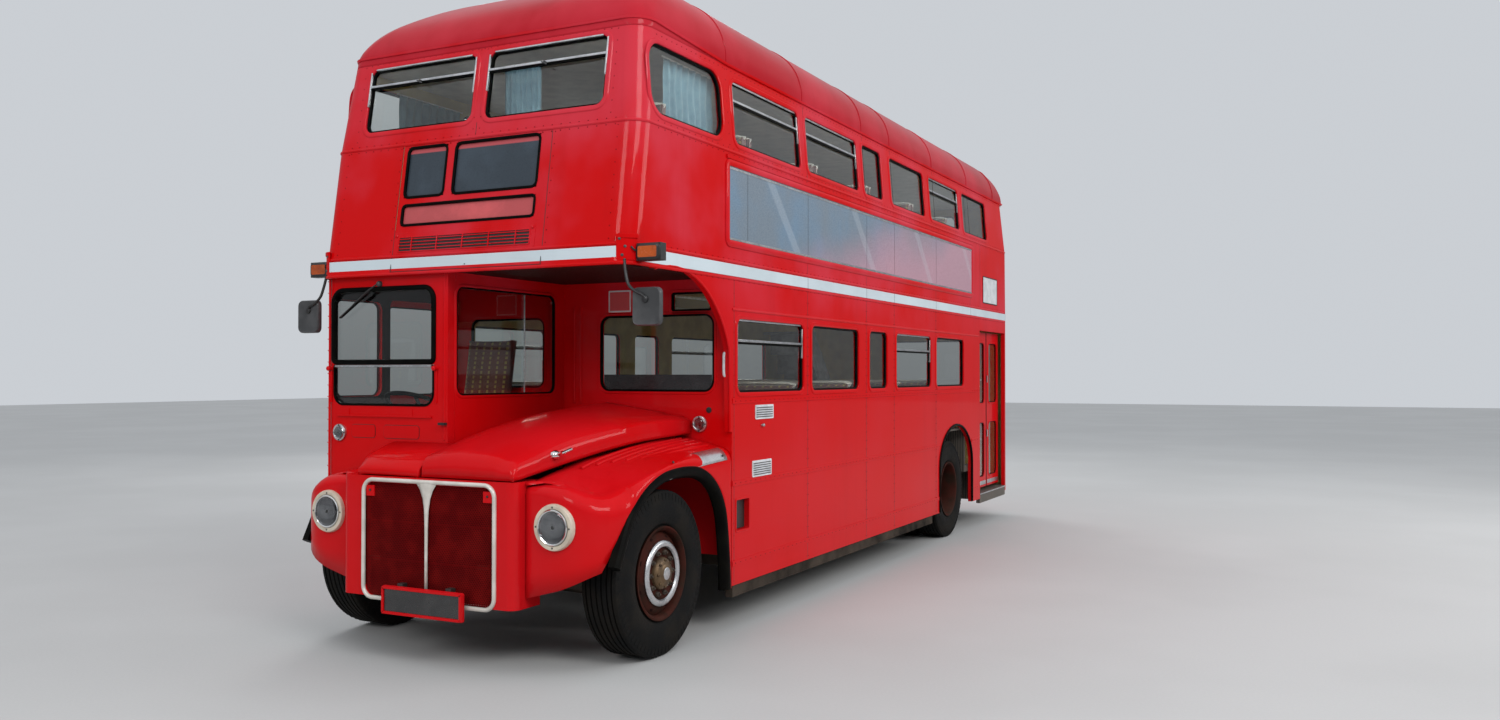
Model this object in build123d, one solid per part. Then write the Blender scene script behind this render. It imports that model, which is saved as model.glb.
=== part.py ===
from build123d import *
import os

os.makedirs("parts", exist_ok=True)

# Half-cab double-deck bus, in millimetres.
# The front faces -Y, the nearside (the driver's left) is +X, the ground is Z = 0.
# Lengths along the bus are given as distances behind the front axle and turned into Y by aft().

# Overall sizes
LENGTH = 9100.0
WHEELBASE = 5842.0
HALF_WIDTH = 1219.0
FRONT_OVERHANG = 870.0
FRONT_AXLE_Y = FRONT_OVERHANG - LENGTH / 2.0
REAR_END = LENGTH - FRONT_OVERHANG
LAMP_DEPTH = 20.0
BODY_REAR = REAR_END - LAMP_DEPTH

# Body shell
WALL = 45.0
INNER = HALF_WIDTH - WALL
SKIRT_Z = 302.0
BAND_BOTTOM_Z = 2366.0
BAND_TOP_Z = 2458.0
SILL_Z = 3205.0
CANT_RAIL_Z = 3790.0
CANT_RAIL_X = 1172.0
# Front face of the upper deck at three heights
BAND_FRONT = -478.0
SILL_FRONT = -355.0
CANT_RAIL_FRONT = -262.0
FRONT_CORNER_RADIUS = 120.0
BULKHEAD = 796.0
BULKHEAD_THICKNESS = 40.0
JAMB = 6830.0
REAR_POST = 7980.0
REAR_SECTION = 7850.0
REAR_CORNER_RADIUS = 220.0

# Decks
LOWER_FLOOR_Z = 700.0
LOWER_FLOOR_THICKNESS = 60.0
UPPER_FLOOR_Z = 2440.0
UPPER_FLOOR_THICKNESS = 80.0
PLATFORM_Z = 360.0
PLATFORM_THICKNESS = 60.0
PLATFORM_START = 6780.0
CAB_FLOOR_Z = 1080.0
CAB_FLOOR_THICKNESS = 35.0

# Side windows: each pair is the front edge and the rear edge, behind the front axle
LOWER_WINDOWS = ((870, 1960), (2120, 3100), (3360, 3800), (4050, 5070), (5250, 6210))
LOWER_WINDOW_Z = (1590.0, 2090.0)
UPPER_WINDOWS = ((850, 1930), (2060, 3130), (3260, 3720), (3950, 4920), (5100, 6100), (6250, 7200))
UPPER_WINDOW_Z = (3270.0, 3700.0)
WINDOW_RADIUS = 55.0
QUARTER_WINDOW = (-215, 690)
QUARTER_WINDOW_Z = (3270.0, 3710.0)
QUARTER_WINDOW_RADIUS = 130.0
FRONT_WINDOW_X = (52.0, 950.0)
FRONT_WINDOW_Z = (3315.0, 3755.0)
UPPER_REAR_WINDOW_X = (-560.0, 560.0)
UPPER_REAR_WINDOW_Z = (3230.0, 3710.0)
UPPER_REAR_WINDOW_RADIUS = 70.0
LOWER_REAR_WINDOW_X = (-380.0, 720.0)
LOWER_REAR_WINDOW_Z = (1420.0, 2140.0)
LOWER_REAR_WINDOW_RADIUS = 80.0
# Bulkhead windows: X range, Z range, corner radius
BULKHEAD_WINDOWS = (
    ((170, 1080), (1600, 2120), 70),
    ((755, 1060), (2150, 2270), 15),
    ((-1000, -330), (1620, 2120), 60),
)
GLASS = 6.0

# Cab
CAB_FRONT = -430.0
CAB_NEARSIDE_X = -150.0
CAB_WALL = 40.0
CAB_BOTTOM_Z = 1000.0
CAB_CORNER_RADIUS = 100.0
CAB_JOINT = -365.0
WINDSCREEN_X = (-1130.0, -260.0)
WINDSCREEN_Z = (1510.0, 2270.0)
WINDSCREEN_SPLIT_Z = 1790.0
CAB_SIDE_WINDOW = (-350, 680)
CAB_SIDE_WINDOW_Z = (1580.0, 2270.0)
CAB_FIXED_WINDOW = (-350, 60)
CAB_FIXED_WINDOW_Z = (1560.0, 2220.0)
CAB_DOORWAY = (140, 700)
CAB_DOORWAY_Z = (1085.0, 2240.0)
CAB_DOOR_THICKNESS = 28.0
CAB_DOOR_GAP = 12.0
RUNNER_X = 1270.0
RUNNER_START = 60.0
RUNNER_END = 1400.0
LOWER_RUNNER_Z = (1044.0, 1064.0)
UPPER_RUNNER_Z = (2290.0, 2310.0)

# Front end
COWL_FRONT = -800.0
COWL_HALF_WIDTH = 665.0
COWL_Z = (370.0, 1098.0)
COWL_WALL = 20.0
COWL_BACK = -560.0
GRILLE_X = (-465.0, 515.0)
GRILLE_Z = (375.0, 1060.0)
WING_FRONT = -700.0
WING_INNER_X = 670.0
WING_CORNER_RADIUS = 300.0
WING_SKIN = 15.0
BONNET_OFFSIDE_X = -30.0
BONNET_SKIN = 14.0
HEADLAMP_X = 873.0
HEADLAMP_Z = 848.0
HEADLAMP_RADIUS = 136.0

# Display case over the cab
CASE_X = (-583.0, 598.0)
CASE_Z = (2640.0, 3200.0)

# Lamps at the upper front corners and the brackets that carry them
INDICATOR_X = (1215.0, 1385.0)
INDICATOR_AFT = (-405.0, -330.0)
INDICATOR_Z = (2366.0, 2472.0)
INDICATOR_BRACKET = (1125.0, 1215.0)
INDICATOR_BRACKET_Z = (2366.0, 2528.0)

# Running gear
TYRE_RADIUS = 505.0
TYRE_WIDTH = 270.0
RIM_RADIUS = 272.0
FRONT_WHEEL_X = 1035.0
REAR_OUTER_WHEEL_X = 1040.0
REAR_INNER_WHEEL_X = 730.0
KINGPIN_X = 800.0
BEAM_Z = 410.0
STEERING_ARM = 180.0
TRACK_ROD_Z = 330.0

# Underframe
MEMBER_X = (380.0, 450.0)
TOWING_X = 415.0
TOWING_HOLE_RADIUS = 20.0
TOWING_EYE_THICKNESS = 26.0

# Entrance and stairs
ENTRANCE_TOP_Z = 2215.0
FLOOR_JOINT = 1.0
WHEEL_BOX = (5270.0, 6420.0)
WHEEL_BOX_X = 540.0
WHEEL_BOX_TOP_Z = 1130.0
WHEEL_BOX_WALL = 20.0
STAIR_X = (-1150.0, -560.0)
STAIRWELL = (6050.0, 7600.0)

# Rear folding door
DOOR_Z = (400.0, 2205.0)
DOOR_OUTER_X = 1142.0
DOOR_THICKNESS = 30.0
DOOR_HINGE_X = 1150.0
DOOR_HINGE = JAMB + 48.0
DOOR_FOLD = 7425.0
DOOR_GAP = 5.0


def aft(distance):
    return FRONT_AXLE_Y + distance


def block(x_range, y_range, z_range):
    # A plain block between two X, two Y (row frame) and two Z values
    sizes = [abs(r[1] - r[0]) for r in (x_range, y_range, z_range)]
    centre = [(r[0] + r[1]) / 2.0 for r in (x_range, y_range, z_range)]
    return Pos(*centre) * Box(*sizes)


def beam(x_range, aft_range, z_range):
    # The same block with its length given behind the front axle
    return block(x_range, (aft(aft_range[0]), aft(aft_range[1])), z_range)


def side_plane(x):
    return Plane(origin=(x, 0, 0), x_dir=(0, 1, 0), z_dir=(1, 0, 0))


def front_plane(y):
    return Plane(origin=(0, y, 0), x_dir=(1, 0, 0), z_dir=(0, -1, 0))


def outline_face(points):
    return make_face(Polyline(*points, close=True))


def side_slab(points, x_range):
    # An outline of (distance behind the axle, Z) points, thick between two X values
    local = [(aft(y), z) for y, z in points]
    return extrude(side_plane(x_range[0]) * outline_face(local), x_range[1] - x_range[0])


def front_slab(points, y_range):
    # An outline of (X, Z) points, thick between two row Y values
    return extrude(front_plane(y_range[1]) * outline_face(points), y_range[1] - y_range[0])


def side_hole(aft_range, z_range, radius, x_range):
    # A rounded window cutter through a side
    width = aft_range[1] - aft_range[0]
    height = z_range[1] - z_range[0]
    centre = (aft(sum(aft_range) / 2.0), sum(z_range) / 2.0)
    shape = Pos(*centre) * RectangleRounded(width, height, radius)
    return extrude(side_plane(x_range[0]) * shape, x_range[1] - x_range[0])


def front_hole(x_range, z_range, radius, y_range):
    # A rounded window cutter through a front or rear wall
    width = x_range[1] - x_range[0]
    height = z_range[1] - z_range[0]
    shape = Pos(sum(x_range) / 2.0, sum(z_range) / 2.0) * RectangleRounded(width, height, radius)
    return extrude(front_plane(y_range[1]) * shape, y_range[1] - y_range[0])


def rod(start, end, radius):
    # A round bar between two points given as (X, distance behind the axle, Z)
    a = Vector(start[0], aft(start[1]), start[2])
    b = Vector(end[0], aft(end[1]), end[2])
    plane = Plane(origin=a, z_dir=b - a)
    return extrude(plane * Circle(radius), (b - a).length)


def mirrored(shape):
    return mirror(shape, about=Plane.YZ)


def compound(*shapes):
    return Compound(children=[s for shape in shapes for s in shape.solids()])


def save(shape, name):
    export_step(shape, f"parts/{name}.step")


# Side walls


def wheel_arch_cut(x_range):
    # Opening over the rear wheels: straight legs and a round top
    points = ((5354, 250), (5354, 760), (6540, 760), (6540, 250))
    centre = Plane(origin=(x_range[0], aft(5947), 760), x_dir=(0, 1, 0), z_dir=(1, 0, 0))
    top = extrude(centre * Ellipse(593, 417), x_range[1] - x_range[0])
    return side_slab(points, x_range) + top


def canopy_bracket(x_range):
    # Curved panel that sweeps from the canopy's front corner down to the bulkhead
    y0, y1 = aft(-180), aft(BULKHEAD)
    sweep = ThreePointArc((y0, 2345), (aft(480), 2235), (aft(762), 1880))
    down = Line(sweep @ 1, (aft(775), 1330))
    back = Polyline(down @ 1, (y1, 1330), (y1, BAND_TOP_Z), (y0, BAND_TOP_Z), (y0, 2345))
    return extrude(side_plane(x_range[0]) * make_face(sweep + down + back), x_range[1] - x_range[0])


def lower_wall_body(x_range):
    points = ((BULKHEAD, SKIRT_Z), (BULKHEAD, BAND_TOP_Z), (REAR_SECTION, BAND_TOP_Z),
              (REAR_SECTION, ENTRANCE_TOP_Z), (JAMB, ENTRANCE_TOP_Z), (JAMB, SKIRT_Z))
    wall = side_slab(points, x_range)
    for window in LOWER_WINDOWS:
        wall -= side_hole(window, LOWER_WINDOW_Z, WINDOW_RADIUS, x_range)
    return wall - wheel_arch_cut(x_range)


def nearside_lower_wall():
    x_range = (INNER, HALF_WIDTH)
    wall = lower_wall_body(x_range) + canopy_bracket(x_range)
    step_hole = side_hole((858, 1048), (662, 868), 12, (INNER + 5, HALF_WIDTH + 1))
    strip = beam((INNER, HALF_WIDTH), (JAMB, JAMB + 38), (SKIRT_Z, ENTRANCE_TOP_Z))
    jamb_return = beam((DOOR_HINGE_X, INNER), (JAMB - 24, JAMB), (PLATFORM_Z, ENTRANCE_TOP_Z))
    return wall - step_hole + strip + jamb_return


def offside_lower_wall():
    x_range = (-HALF_WIDTH, -INNER)
    wall = lower_wall_body(x_range)
    rear_panel = beam(x_range, (JAMB, REAR_SECTION), (SKIRT_Z, ENTRANCE_TOP_Z))
    # Runners that carry the sliding cab door on the outside
    for z_range in (LOWER_RUNNER_Z, UPPER_RUNNER_Z):
        wall += beam((-RUNNER_X, -HALF_WIDTH), (BULKHEAD, RUNNER_END), z_range)
    return wall + rear_panel


def upper_wall(front, rear):
    # Upright below the sill, leaning in above it
    outer = ((HALF_WIDTH, BAND_TOP_Z), (HALF_WIDTH, SILL_Z), (CANT_RAIL_X, CANT_RAIL_Z))
    inner = ((CANT_RAIL_X - WALL, CANT_RAIL_Z), (INNER, SILL_Z), (INNER, BAND_TOP_Z))
    wall = front_slab(outer + inner, (aft(front), aft(rear)))
    for window in UPPER_WINDOWS:
        wall -= side_hole(window, UPPER_WINDOW_Z, WINDOW_RADIUS, (1050, 1300))
    return wall


# Upper deck front and rear, which turn round the corners

# Sections of the upper front: height, half width, front face, corner radius
UPPER_BULKHEADS = (
    (BAND_BOTTOM_Z, HALF_WIDTH, BAND_FRONT, FRONT_CORNER_RADIUS),
    (SILL_Z, HALF_WIDTH, SILL_FRONT, FRONT_CORNER_RADIUS),
    (CANT_RAIL_Z, CANT_RAIL_X, CANT_RAIL_FRONT, FRONT_CORNER_RADIUS),
)
# Sections of the upper rear: height, half width, rear face, corner radius
UPPER_REAR_SECTIONS = (
    (BAND_TOP_Z, HALF_WIDTH, BODY_REAR, REAR_CORNER_RADIUS),
    (SILL_Z, HALF_WIDTH, BODY_REAR - 20, REAR_CORNER_RADIUS),
    (CANT_RAIL_Z, CANT_RAIL_X, BODY_REAR - 90, REAR_CORNER_RADIUS),
)


def corner_section(half_width, end, radius, inset, z, closed_at):
    # A plan outline with two round corners at the end face and a straight edge at closed_at
    w = half_width - inset
    sign = 1 if end > closed_at else -1
    e = aft(end) - sign * inset
    r = max(radius - inset, 10.0)
    c = aft(closed_at)
    k = r * (1 - 0.70710678)
    path = Polyline((-w, c), (-w, e - sign * r))
    path += ThreePointArc((-w, e - sign * r), (-w + k, e - sign * k), (-w + r, e))
    path += Line((-w + r, e), (w - r, e))
    path += ThreePointArc((w - r, e), (w - k, e - sign * k), (w, e - sign * r))
    path += Polyline((w, e - sign * r), (w, c), (-w, c))
    return Plane(origin=(0, 0, z)) * make_face(path)


def corner_solid(sections, closed_at, inset):
    return loft([corner_section(w, e, r, inset, z, closed_at) for z, w, e, r in sections], ruled=True)


def corner_shell(sections, closed_at, thickness):
    return corner_solid(sections, closed_at, 0) - corner_solid(sections, closed_at, thickness)


def upper_front_wall():
    wall = corner_shell(UPPER_BULKHEADS, BULKHEAD, WALL)
    y_range = (aft(-600), aft(-200))
    for side in (-1, 1):
        x_range = sorted((side * FRONT_WINDOW_X[0], side * FRONT_WINDOW_X[1]))
        wall -= front_hole(x_range, FRONT_WINDOW_Z, 60, y_range)
        x_cut = sorted((side * 1050, side * 1300))
        wall -= side_hole(QUARTER_WINDOW, QUARTER_WINDOW_Z, QUARTER_WINDOW_RADIUS, x_cut)
    # Room for the destination boxes and the side walls' canopy brackets
    wall -= beam(CASE_X, (-600, -280), CASE_Z)
    return wall - beam((INNER - 1, HALF_WIDTH + 1), (-180, BULKHEAD), (BAND_BOTTOM_Z - 1, BAND_TOP_Z))


def front_layer(x_range, z_range, depths):
    # A slab that follows the raked front panel, between two depths behind it
    rake = (SILL_FRONT - BAND_FRONT) / (SILL_Z - BAND_BOTTOM_Z)
    low, high = (SILL_FRONT - rake * (SILL_Z - z) for z in z_range)
    return side_slab(((low + depths[0], z_range[0]), (low + depths[1], z_range[0]), (high + depths[1], z_range[1]),
                      (high + depths[0], z_range[1])), x_range)


def destination_box():
    # Casing behind the front panel with two display boxes over a lower panel
    casing = front_layer(CASE_X, CASE_Z, (2, 180))
    small = front_layer((-545, -215), (2847, 3182), (0, 15))
    large = front_layer((-148, 514), (2847, 3182), (0, 15))
    lower = front_layer((-545, 514), (2665, 2802), (0, 12))
    return casing - small - large - lower


def upper_rear_wall():
    wall = corner_shell(UPPER_REAR_SECTIONS, REAR_SECTION, WALL)
    window = front_hole(UPPER_REAR_WINDOW_X, UPPER_REAR_WINDOW_Z, UPPER_REAR_WINDOW_RADIUS,
                        (aft(REAR_SECTION + 60), aft(REAR_END + 50)))
    return wall - window


def lower_rear_wall():
    sections = [(z, HALF_WIDTH, BODY_REAR, REAR_CORNER_RADIUS) for z in (SKIRT_Z, BAND_TOP_Z)]
    wall = corner_shell(sections, REAR_SECTION, WALL)
    wall -= front_hole(LOWER_REAR_WINDOW_X, LOWER_REAR_WINDOW_Z, LOWER_REAR_WINDOW_RADIUS,
                       (aft(REAR_SECTION + 60), aft(REAR_END + 50)))
    # The nearside post stands behind the doorway
    doorway = (REAR_SECTION - 1, REAR_POST)
    return wall - beam((INNER - 1, HALF_WIDTH + 1), doorway, (SKIRT_Z - 1, ENTRANCE_TOP_Z))


# Roof sections: height, half width, front face, rear face, corner radius
ROOF_SECTIONS = (
    (CANT_RAIL_Z, CANT_RAIL_X, CANT_RAIL_FRONT, 8120, FRONT_CORNER_RADIUS),
    (3900, 1168, -245, 8105, 160),
    (4040, 1120, -158, 8030, 260),
    (4160, 1020, 0, 7890, 350),
    (4260, 850, 200, 7680, 380),
    (4330, 620, 470, 7400, 360),
    (4380, 250, 1000, 6900, 200),
)


# Top of the roof's cove panels, and the joints between the end panels and the side ones
COVE_TOP_Z = 3960.0
COVE_JOINT_X = 850.0


def roof_loft(inset, drop):
    faces = []
    for z, half_width, front, rear, radius in ROOF_SECTIONS:
        width = 2 * (half_width - inset)
        length = rear - front - 2 * inset
        centre = Pos(0, aft((front + rear) / 2.0), z - drop)
        faces.append(centre * RectangleRounded(width, length, radius - inset * 0.5))
    return loft(faces, ruled=True)


def roof():
    # Cove panels across the ends and along the sides, then the crown over them, with narrow joints between
    shell = roof_loft(0, 0) - roof_loft(WALL, 45)
    length = (-600, 8500)
    cove_z = (CANT_RAIL_Z, COVE_TOP_Z)
    ends = shell & beam((-COVE_JOINT_X, COVE_JOINT_X), length, cove_z)
    side = shell & beam((COVE_JOINT_X + FLOOR_JOINT, 1300), length, cove_z)
    crown = shell & beam((-1300, 1300), length, (COVE_TOP_Z + FLOOR_JOINT, 4500))
    return compound(ends, side, mirrored(side), crown)


# Decks, bulkhead and stairs


def rear_deck(start, z, thickness):
    # A deck that fills the rounded rear end inside the walls
    plan = corner_section(HALF_WIDTH, BODY_REAR, REAR_CORNER_RADIUS, WALL, z, start)
    return extrude(plan, thickness, dir=(0, 0, 1))


def lower_floor():
    # Sections of floor with narrow joints between them, boxes over the rear wheels, and the entrance platform
    z_range = (LOWER_FLOOR_Z - LOWER_FLOOR_THICKNESS, LOWER_FLOOR_Z)
    start = BULKHEAD + BULKHEAD_THICKNESS
    box_start, box_end = WHEEL_BOX
    sections = [
        beam((-INNER, INNER), (start, box_start - FLOOR_JOINT), z_range),
        beam((FLOOR_JOINT - WHEEL_BOX_X, WHEEL_BOX_X - FLOOR_JOINT), WHEEL_BOX, z_range),
        beam((-INNER, INNER), (box_end + FLOOR_JOINT, PLATFORM_START), z_range),
    ]
    for side in (-1, 1):
        inner = WHEEL_BOX_X + WHEEL_BOX_WALL
        outside = beam(sorted((side * WHEEL_BOX_X, side * INNER)), WHEEL_BOX, (z_range[0], WHEEL_BOX_TOP_Z))
        hollow = (box_start + WHEEL_BOX_WALL, box_end - WHEEL_BOX_WALL)
        inside = beam(sorted((side * inner, side * 1300)), hollow, (0, WHEEL_BOX_TOP_Z - WHEEL_BOX_WALL))
        sections.append(outside - inside)
    platform_z = PLATFORM_Z - PLATFORM_THICKNESS
    sections.append(rear_deck(PLATFORM_START + FLOOR_JOINT, platform_z, PLATFORM_THICKNESS))
    riser = (PLATFORM_START + FLOOR_JOINT, PLATFORM_START + 25)
    sections.append(beam((-INNER, INNER), riser, (PLATFORM_Z + FLOOR_JOINT, LOWER_FLOOR_Z)))
    step = (JAMB + 39, REAR_POST - 1)
    sections.append(beam((INNER + FLOOR_JOINT, HALF_WIDTH), step, (250, PLATFORM_Z)))
    return compound(*sections)


def upper_floor():
    z_range = (UPPER_FLOOR_Z - UPPER_FLOOR_THICKNESS, UPPER_FLOOR_Z)
    guard_z = (UPPER_FLOOR_Z + FLOOR_JOINT, UPPER_FLOOR_Z + 850)
    well_start, well_end = STAIRWELL
    behind = well_end + FLOOR_JOINT
    # Sections round the stairwell, then the two guard panels
    return compound(
        beam((-1080, 1080), (-416, -150 - FLOOR_JOINT), z_range),
        beam((-INNER, INNER), (-150, well_start - FLOOR_JOINT), z_range),
        beam((STAIR_X[1], INNER), STAIRWELL, z_range),
        beam((-INNER, STAIR_X[0]), STAIRWELL, z_range),
        rear_deck(behind, z_range[0], UPPER_FLOOR_THICKNESS),
        beam((STAIR_X[1], STAIR_X[1] + 25), STAIRWELL, guard_z),
        beam((STAIR_X[0], STAIR_X[1] + 25), (behind, behind + 25), guard_z),
    )


def front_bulkhead():
    y_range = (aft(BULKHEAD), aft(BULKHEAD + BULKHEAD_THICKNESS))
    z_range = (LOWER_FLOOR_Z - LOWER_FLOOR_THICKNESS, UPPER_FLOOR_Z - UPPER_FLOOR_THICKNESS)
    wall = block((-INNER, INNER), y_range, z_range)
    for x_window, z_window, radius in BULKHEAD_WINDOWS:
        wall -= front_hole(x_window, z_window, radius, (y_range[0] - 1, y_range[1] + 1))
    # The lower part carries on down to the frame beside the engine
    for side in (-1, 1):
        wall += block(sorted((side * 460, side * INNER)), y_range, (SKIRT_Z + 200, LOWER_FLOOR_Z))
    return wall


def staircase():
    # Straight flight along the offside wall, climbing towards the front
    rises = 9
    rise = (UPPER_FLOOR_Z - PLATFORM_Z) / rises
    going = 190.0
    start = 7640.0
    flight = []
    for step in range(1, rises):
        edge = start - (step - 1) * going
        top = PLATFORM_Z + step * rise
        flight.append(beam((-1150, -575), (edge - going - 20, edge), (top - 30, top)))
        flight.append(beam((-1150, -575), (edge - 20, edge), (top - rise, top - 30)))
    head = start - 8 * going
    under_floor = UPPER_FLOOR_Z - 90
    outline = ((start, PLATFORM_Z), (start, PLATFORM_Z + rise), (head, under_floor), (head - 90, under_floor),
               (head - 90, 2020), (start - 250, PLATFORM_Z))
    body = side_slab(outline, (-585, -560))
    for piece in flight:
        body += piece
    return body


# Glass: each pane lies in the middle of its wall


def lower_glass():
    panes = []
    middle = INNER + 20
    for window in LOWER_WINDOWS:
        pane = side_hole(window, LOWER_WINDOW_Z, WINDOW_RADIUS, (middle, middle + GLASS))
        panes += [pane, mirrored(pane)]
    y0 = aft(BULKHEAD + 17)
    for x_range, z_range, radius in BULKHEAD_WINDOWS:
        panes.append(front_hole(x_range, z_range, radius, (y0, y0 + GLASS)))
    y0 = aft(BODY_REAR - 25)
    rear = front_hole(LOWER_REAR_WINDOW_X, LOWER_REAR_WINDOW_Z, LOWER_REAR_WINDOW_RADIUS, (y0, y0 + GLASS))
    panes.append(rear)
    return panes


def upper_glass():
    panes = []
    lean = (HALF_WIDTH - CANT_RAIL_X) / (CANT_RAIL_Z - SILL_Z)
    for window in UPPER_WINDOWS + (QUARTER_WINDOW,):
        quarter = window is QUARTER_WINDOW
        z_range = QUARTER_WINDOW_Z if quarter else UPPER_WINDOW_Z
        radius = QUARTER_WINDOW_RADIUS if quarter else WINDOW_RADIUS
        outer = [(HALF_WIDTH - 20, SILL_Z), (HALF_WIDTH - 20 - lean * 585, CANT_RAIL_Z)]
        inner = [(outer[1][0] - GLASS, CANT_RAIL_Z), (outer[0][0] - GLASS, SILL_Z)]
        sheet = front_slab(outer + inner, (aft(window[0]), aft(window[1])))
        pane = sheet & side_hole(window, z_range, radius, (1050, 1300))
        panes += [pane, mirrored(pane)]
    # The front panes follow the raked front
    base = SILL_FRONT + 20
    top = CANT_RAIL_FRONT + 20
    sheet = side_slab(((base, SILL_Z), (base + GLASS, SILL_Z), (top + GLASS, CANT_RAIL_Z), (top, CANT_RAIL_Z)),
                      (-1000, 1000))
    for side in (-1, 1):
        x_range = sorted((side * FRONT_WINDOW_X[0], side * FRONT_WINDOW_X[1]))
        panes.append(sheet & front_hole(x_range, FRONT_WINDOW_Z, 60, (aft(-500), aft(0))))
    outline = ((BODY_REAR - 46, SILL_Z), (BODY_REAR - 40, SILL_Z), (BODY_REAR - 110, CANT_RAIL_Z),
               (BODY_REAR - 116, CANT_RAIL_Z))
    rear_sheet = side_slab(outline, (-600, 600))
    rear_hole = front_hole(UPPER_REAR_WINDOW_X, UPPER_REAR_WINDOW_Z, UPPER_REAR_WINDOW_RADIUS,
                           (aft(REAR_SECTION), aft(REAR_END)))
    panes.append(rear_sheet & rear_hole)
    return panes


def cab_glass():
    y0 = aft(CAB_FRONT + 15)
    bar = block((-1200, 0), (aft(-500), aft(0)), (WINDSCREEN_SPLIT_Z - 15, WINDSCREEN_SPLIT_Z + 15))
    screen = front_hole(WINDSCREEN_X, WINDSCREEN_Z, 85, (y0, y0 + GLASS)) - bar
    x0 = CAB_NEARSIDE_X - 25
    side = side_hole(CAB_SIDE_WINDOW, CAB_SIDE_WINDOW_Z, 60, (x0, x0 + GLASS))
    x1 = -HALF_WIDTH + 15
    fixed = side_hole(CAB_FIXED_WINDOW, CAB_FIXED_WINDOW_Z, 60, (x1, x1 + GLASS))
    return [screen, side, fixed]


# Cab


def cab_shell():
    top = BAND_BOTTOM_Z - 6
    face = block((-HALF_WIDTH, CAB_NEARSIDE_X), (aft(CAB_FRONT), aft(BULKHEAD)), (CAB_BOTTOM_Z, top))
    corner = [e for e in face.edges().filter_by(Axis.Z) if e.center().X < -1200 and e.center().Y < aft(-400)]
    face = fillet(corner, CAB_CORNER_RADIUS)
    inside_x = (-HALF_WIDTH + CAB_WALL, CAB_NEARSIDE_X - CAB_WALL)
    room = beam(inside_x, (CAB_FRONT + CAB_WALL, BULKHEAD + 1), (CAB_BOTTOM_Z - 1, top + 1))
    shell = face - room
    bar = block((-1200, 0), (aft(-500), aft(0)), (WINDSCREEN_SPLIT_Z - 15, WINDSCREEN_SPLIT_Z + 15))
    shell -= front_hole(WINDSCREEN_X, WINDSCREEN_Z, 85, (aft(-480), aft(CAB_FRONT + CAB_WALL + 1))) - bar
    shell -= side_hole(CAB_SIDE_WINDOW, CAB_SIDE_WINDOW_Z, 60, (-200, -140))
    shell -= side_hole(CAB_FIXED_WINDOW, CAB_FIXED_WINDOW_Z, 60, (-1260, -1170))
    shell -= side_hole(CAB_DOORWAY, CAB_DOORWAY_Z, 40, (-1260, -1170))
    # Clear of the engine and of the arch over the wheel
    shell -= beam((-600, 0), (-500, BULKHEAD), (900, 1045))
    shell -= arch_cut((-1260, -1170)) & beam((-1300, -1100), (-600, BULKHEAD), (900, 1040))
    # A narrow joint parts the front panel and its corner from the two sides
    shell -= beam((-1260, -100), (CAB_JOINT - FLOOR_JOINT, CAB_JOINT), (CAB_BOTTOM_Z - 1, top + 1))
    # Shelf along the bonnet and the runners of the sliding door
    shell += beam((CAB_NEARSIDE_X, -45), (CAB_JOINT, BULKHEAD), (1180, 1290)) & shelf_keep()
    for z_range in (LOWER_RUNNER_Z, UPPER_RUNNER_Z):
        shell += beam((-RUNNER_X, -HALF_WIDTH), (RUNNER_START, BULKHEAD), z_range)
    return shell


def shelf_keep():
    return side_slab(((-430, 1180), (-430, 1230), (BULKHEAD, 1400), (BULKHEAD, 1180)), (-160, -40))


def cab_floor():
    z_range = (CAB_FLOOR_Z - CAB_FLOOR_THICKNESS, CAB_FLOOR_Z)
    inside_x = (-HALF_WIDTH + CAB_WALL, CAB_NEARSIDE_X - CAB_WALL)
    floor = beam(inside_x, (CAB_FRONT + CAB_WALL, BULKHEAD), z_range)
    dash = side_slab(((-390, 1080), (-390, 1470), (-250, 1470), (-300, 1080)), (-1170, -200))
    return floor + dash


def cab_door():
    x1 = -HALF_WIDTH - CAB_DOOR_GAP
    x_range = (x1 - CAB_DOOR_THICKNESS, x1)
    door = beam(x_range, (100, 740), (1072, 2280))
    door -= side_hole((165, 675), (1560, 2200), 60, x_range)
    pane = side_hole((165, 675), (1560, 2200), 60, (x1 - 18, x1 - 12))
    handle = beam((x1 - CAB_DOOR_THICKNESS - 20, x1 - CAB_DOOR_THICKNESS), (130, 150), (1380, 1480))
    return door + pane + handle


def driver_seat():
    base = beam((-860, -620), (330, 560), (CAB_FLOOR_Z, 1330))
    cushion = beam((-960, -520), (200, 640), (1330, 1440))
    back = side_slab(((600, 1440), (680, 1440), (760, 1980), (690, 1980)), (-950, -530))
    return base + cushion + back


def steering_column():
    foot = beam((-790, -690), (-250, -150), (CAB_FLOOR_Z, 1190))
    return rod((-740, -180, 1180), (-740, -40, 1468), 26) + foot


def steering_wheel():
    # Rim, three spokes and a hub across the leaning column
    plane = Plane(origin=(-740, aft(-30), 1488), z_dir=(0, 0.4372, 0.8994))
    wheel = plane * Torus(235, 14)
    wheel += plane * Cylinder(40, 30)
    for turn in (90, 210, 330):
        wheel += plane * (Rot(0, 0, turn) * (Pos(120, 0, 0) * Box(240, 22, 12)))
    return wheel


# Front end

# Arch over the front wheels: points behind the axle and heights, joined by arcs through the middle ones
ARCH_FOOT = (-565, 607)
ARCH_POINTS = ((-470, 880), (-241, 1064), (60, 1135), (360, 1120), (610, 975), (720, 750))
ARCH_HEEL = (769, 280)


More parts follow.
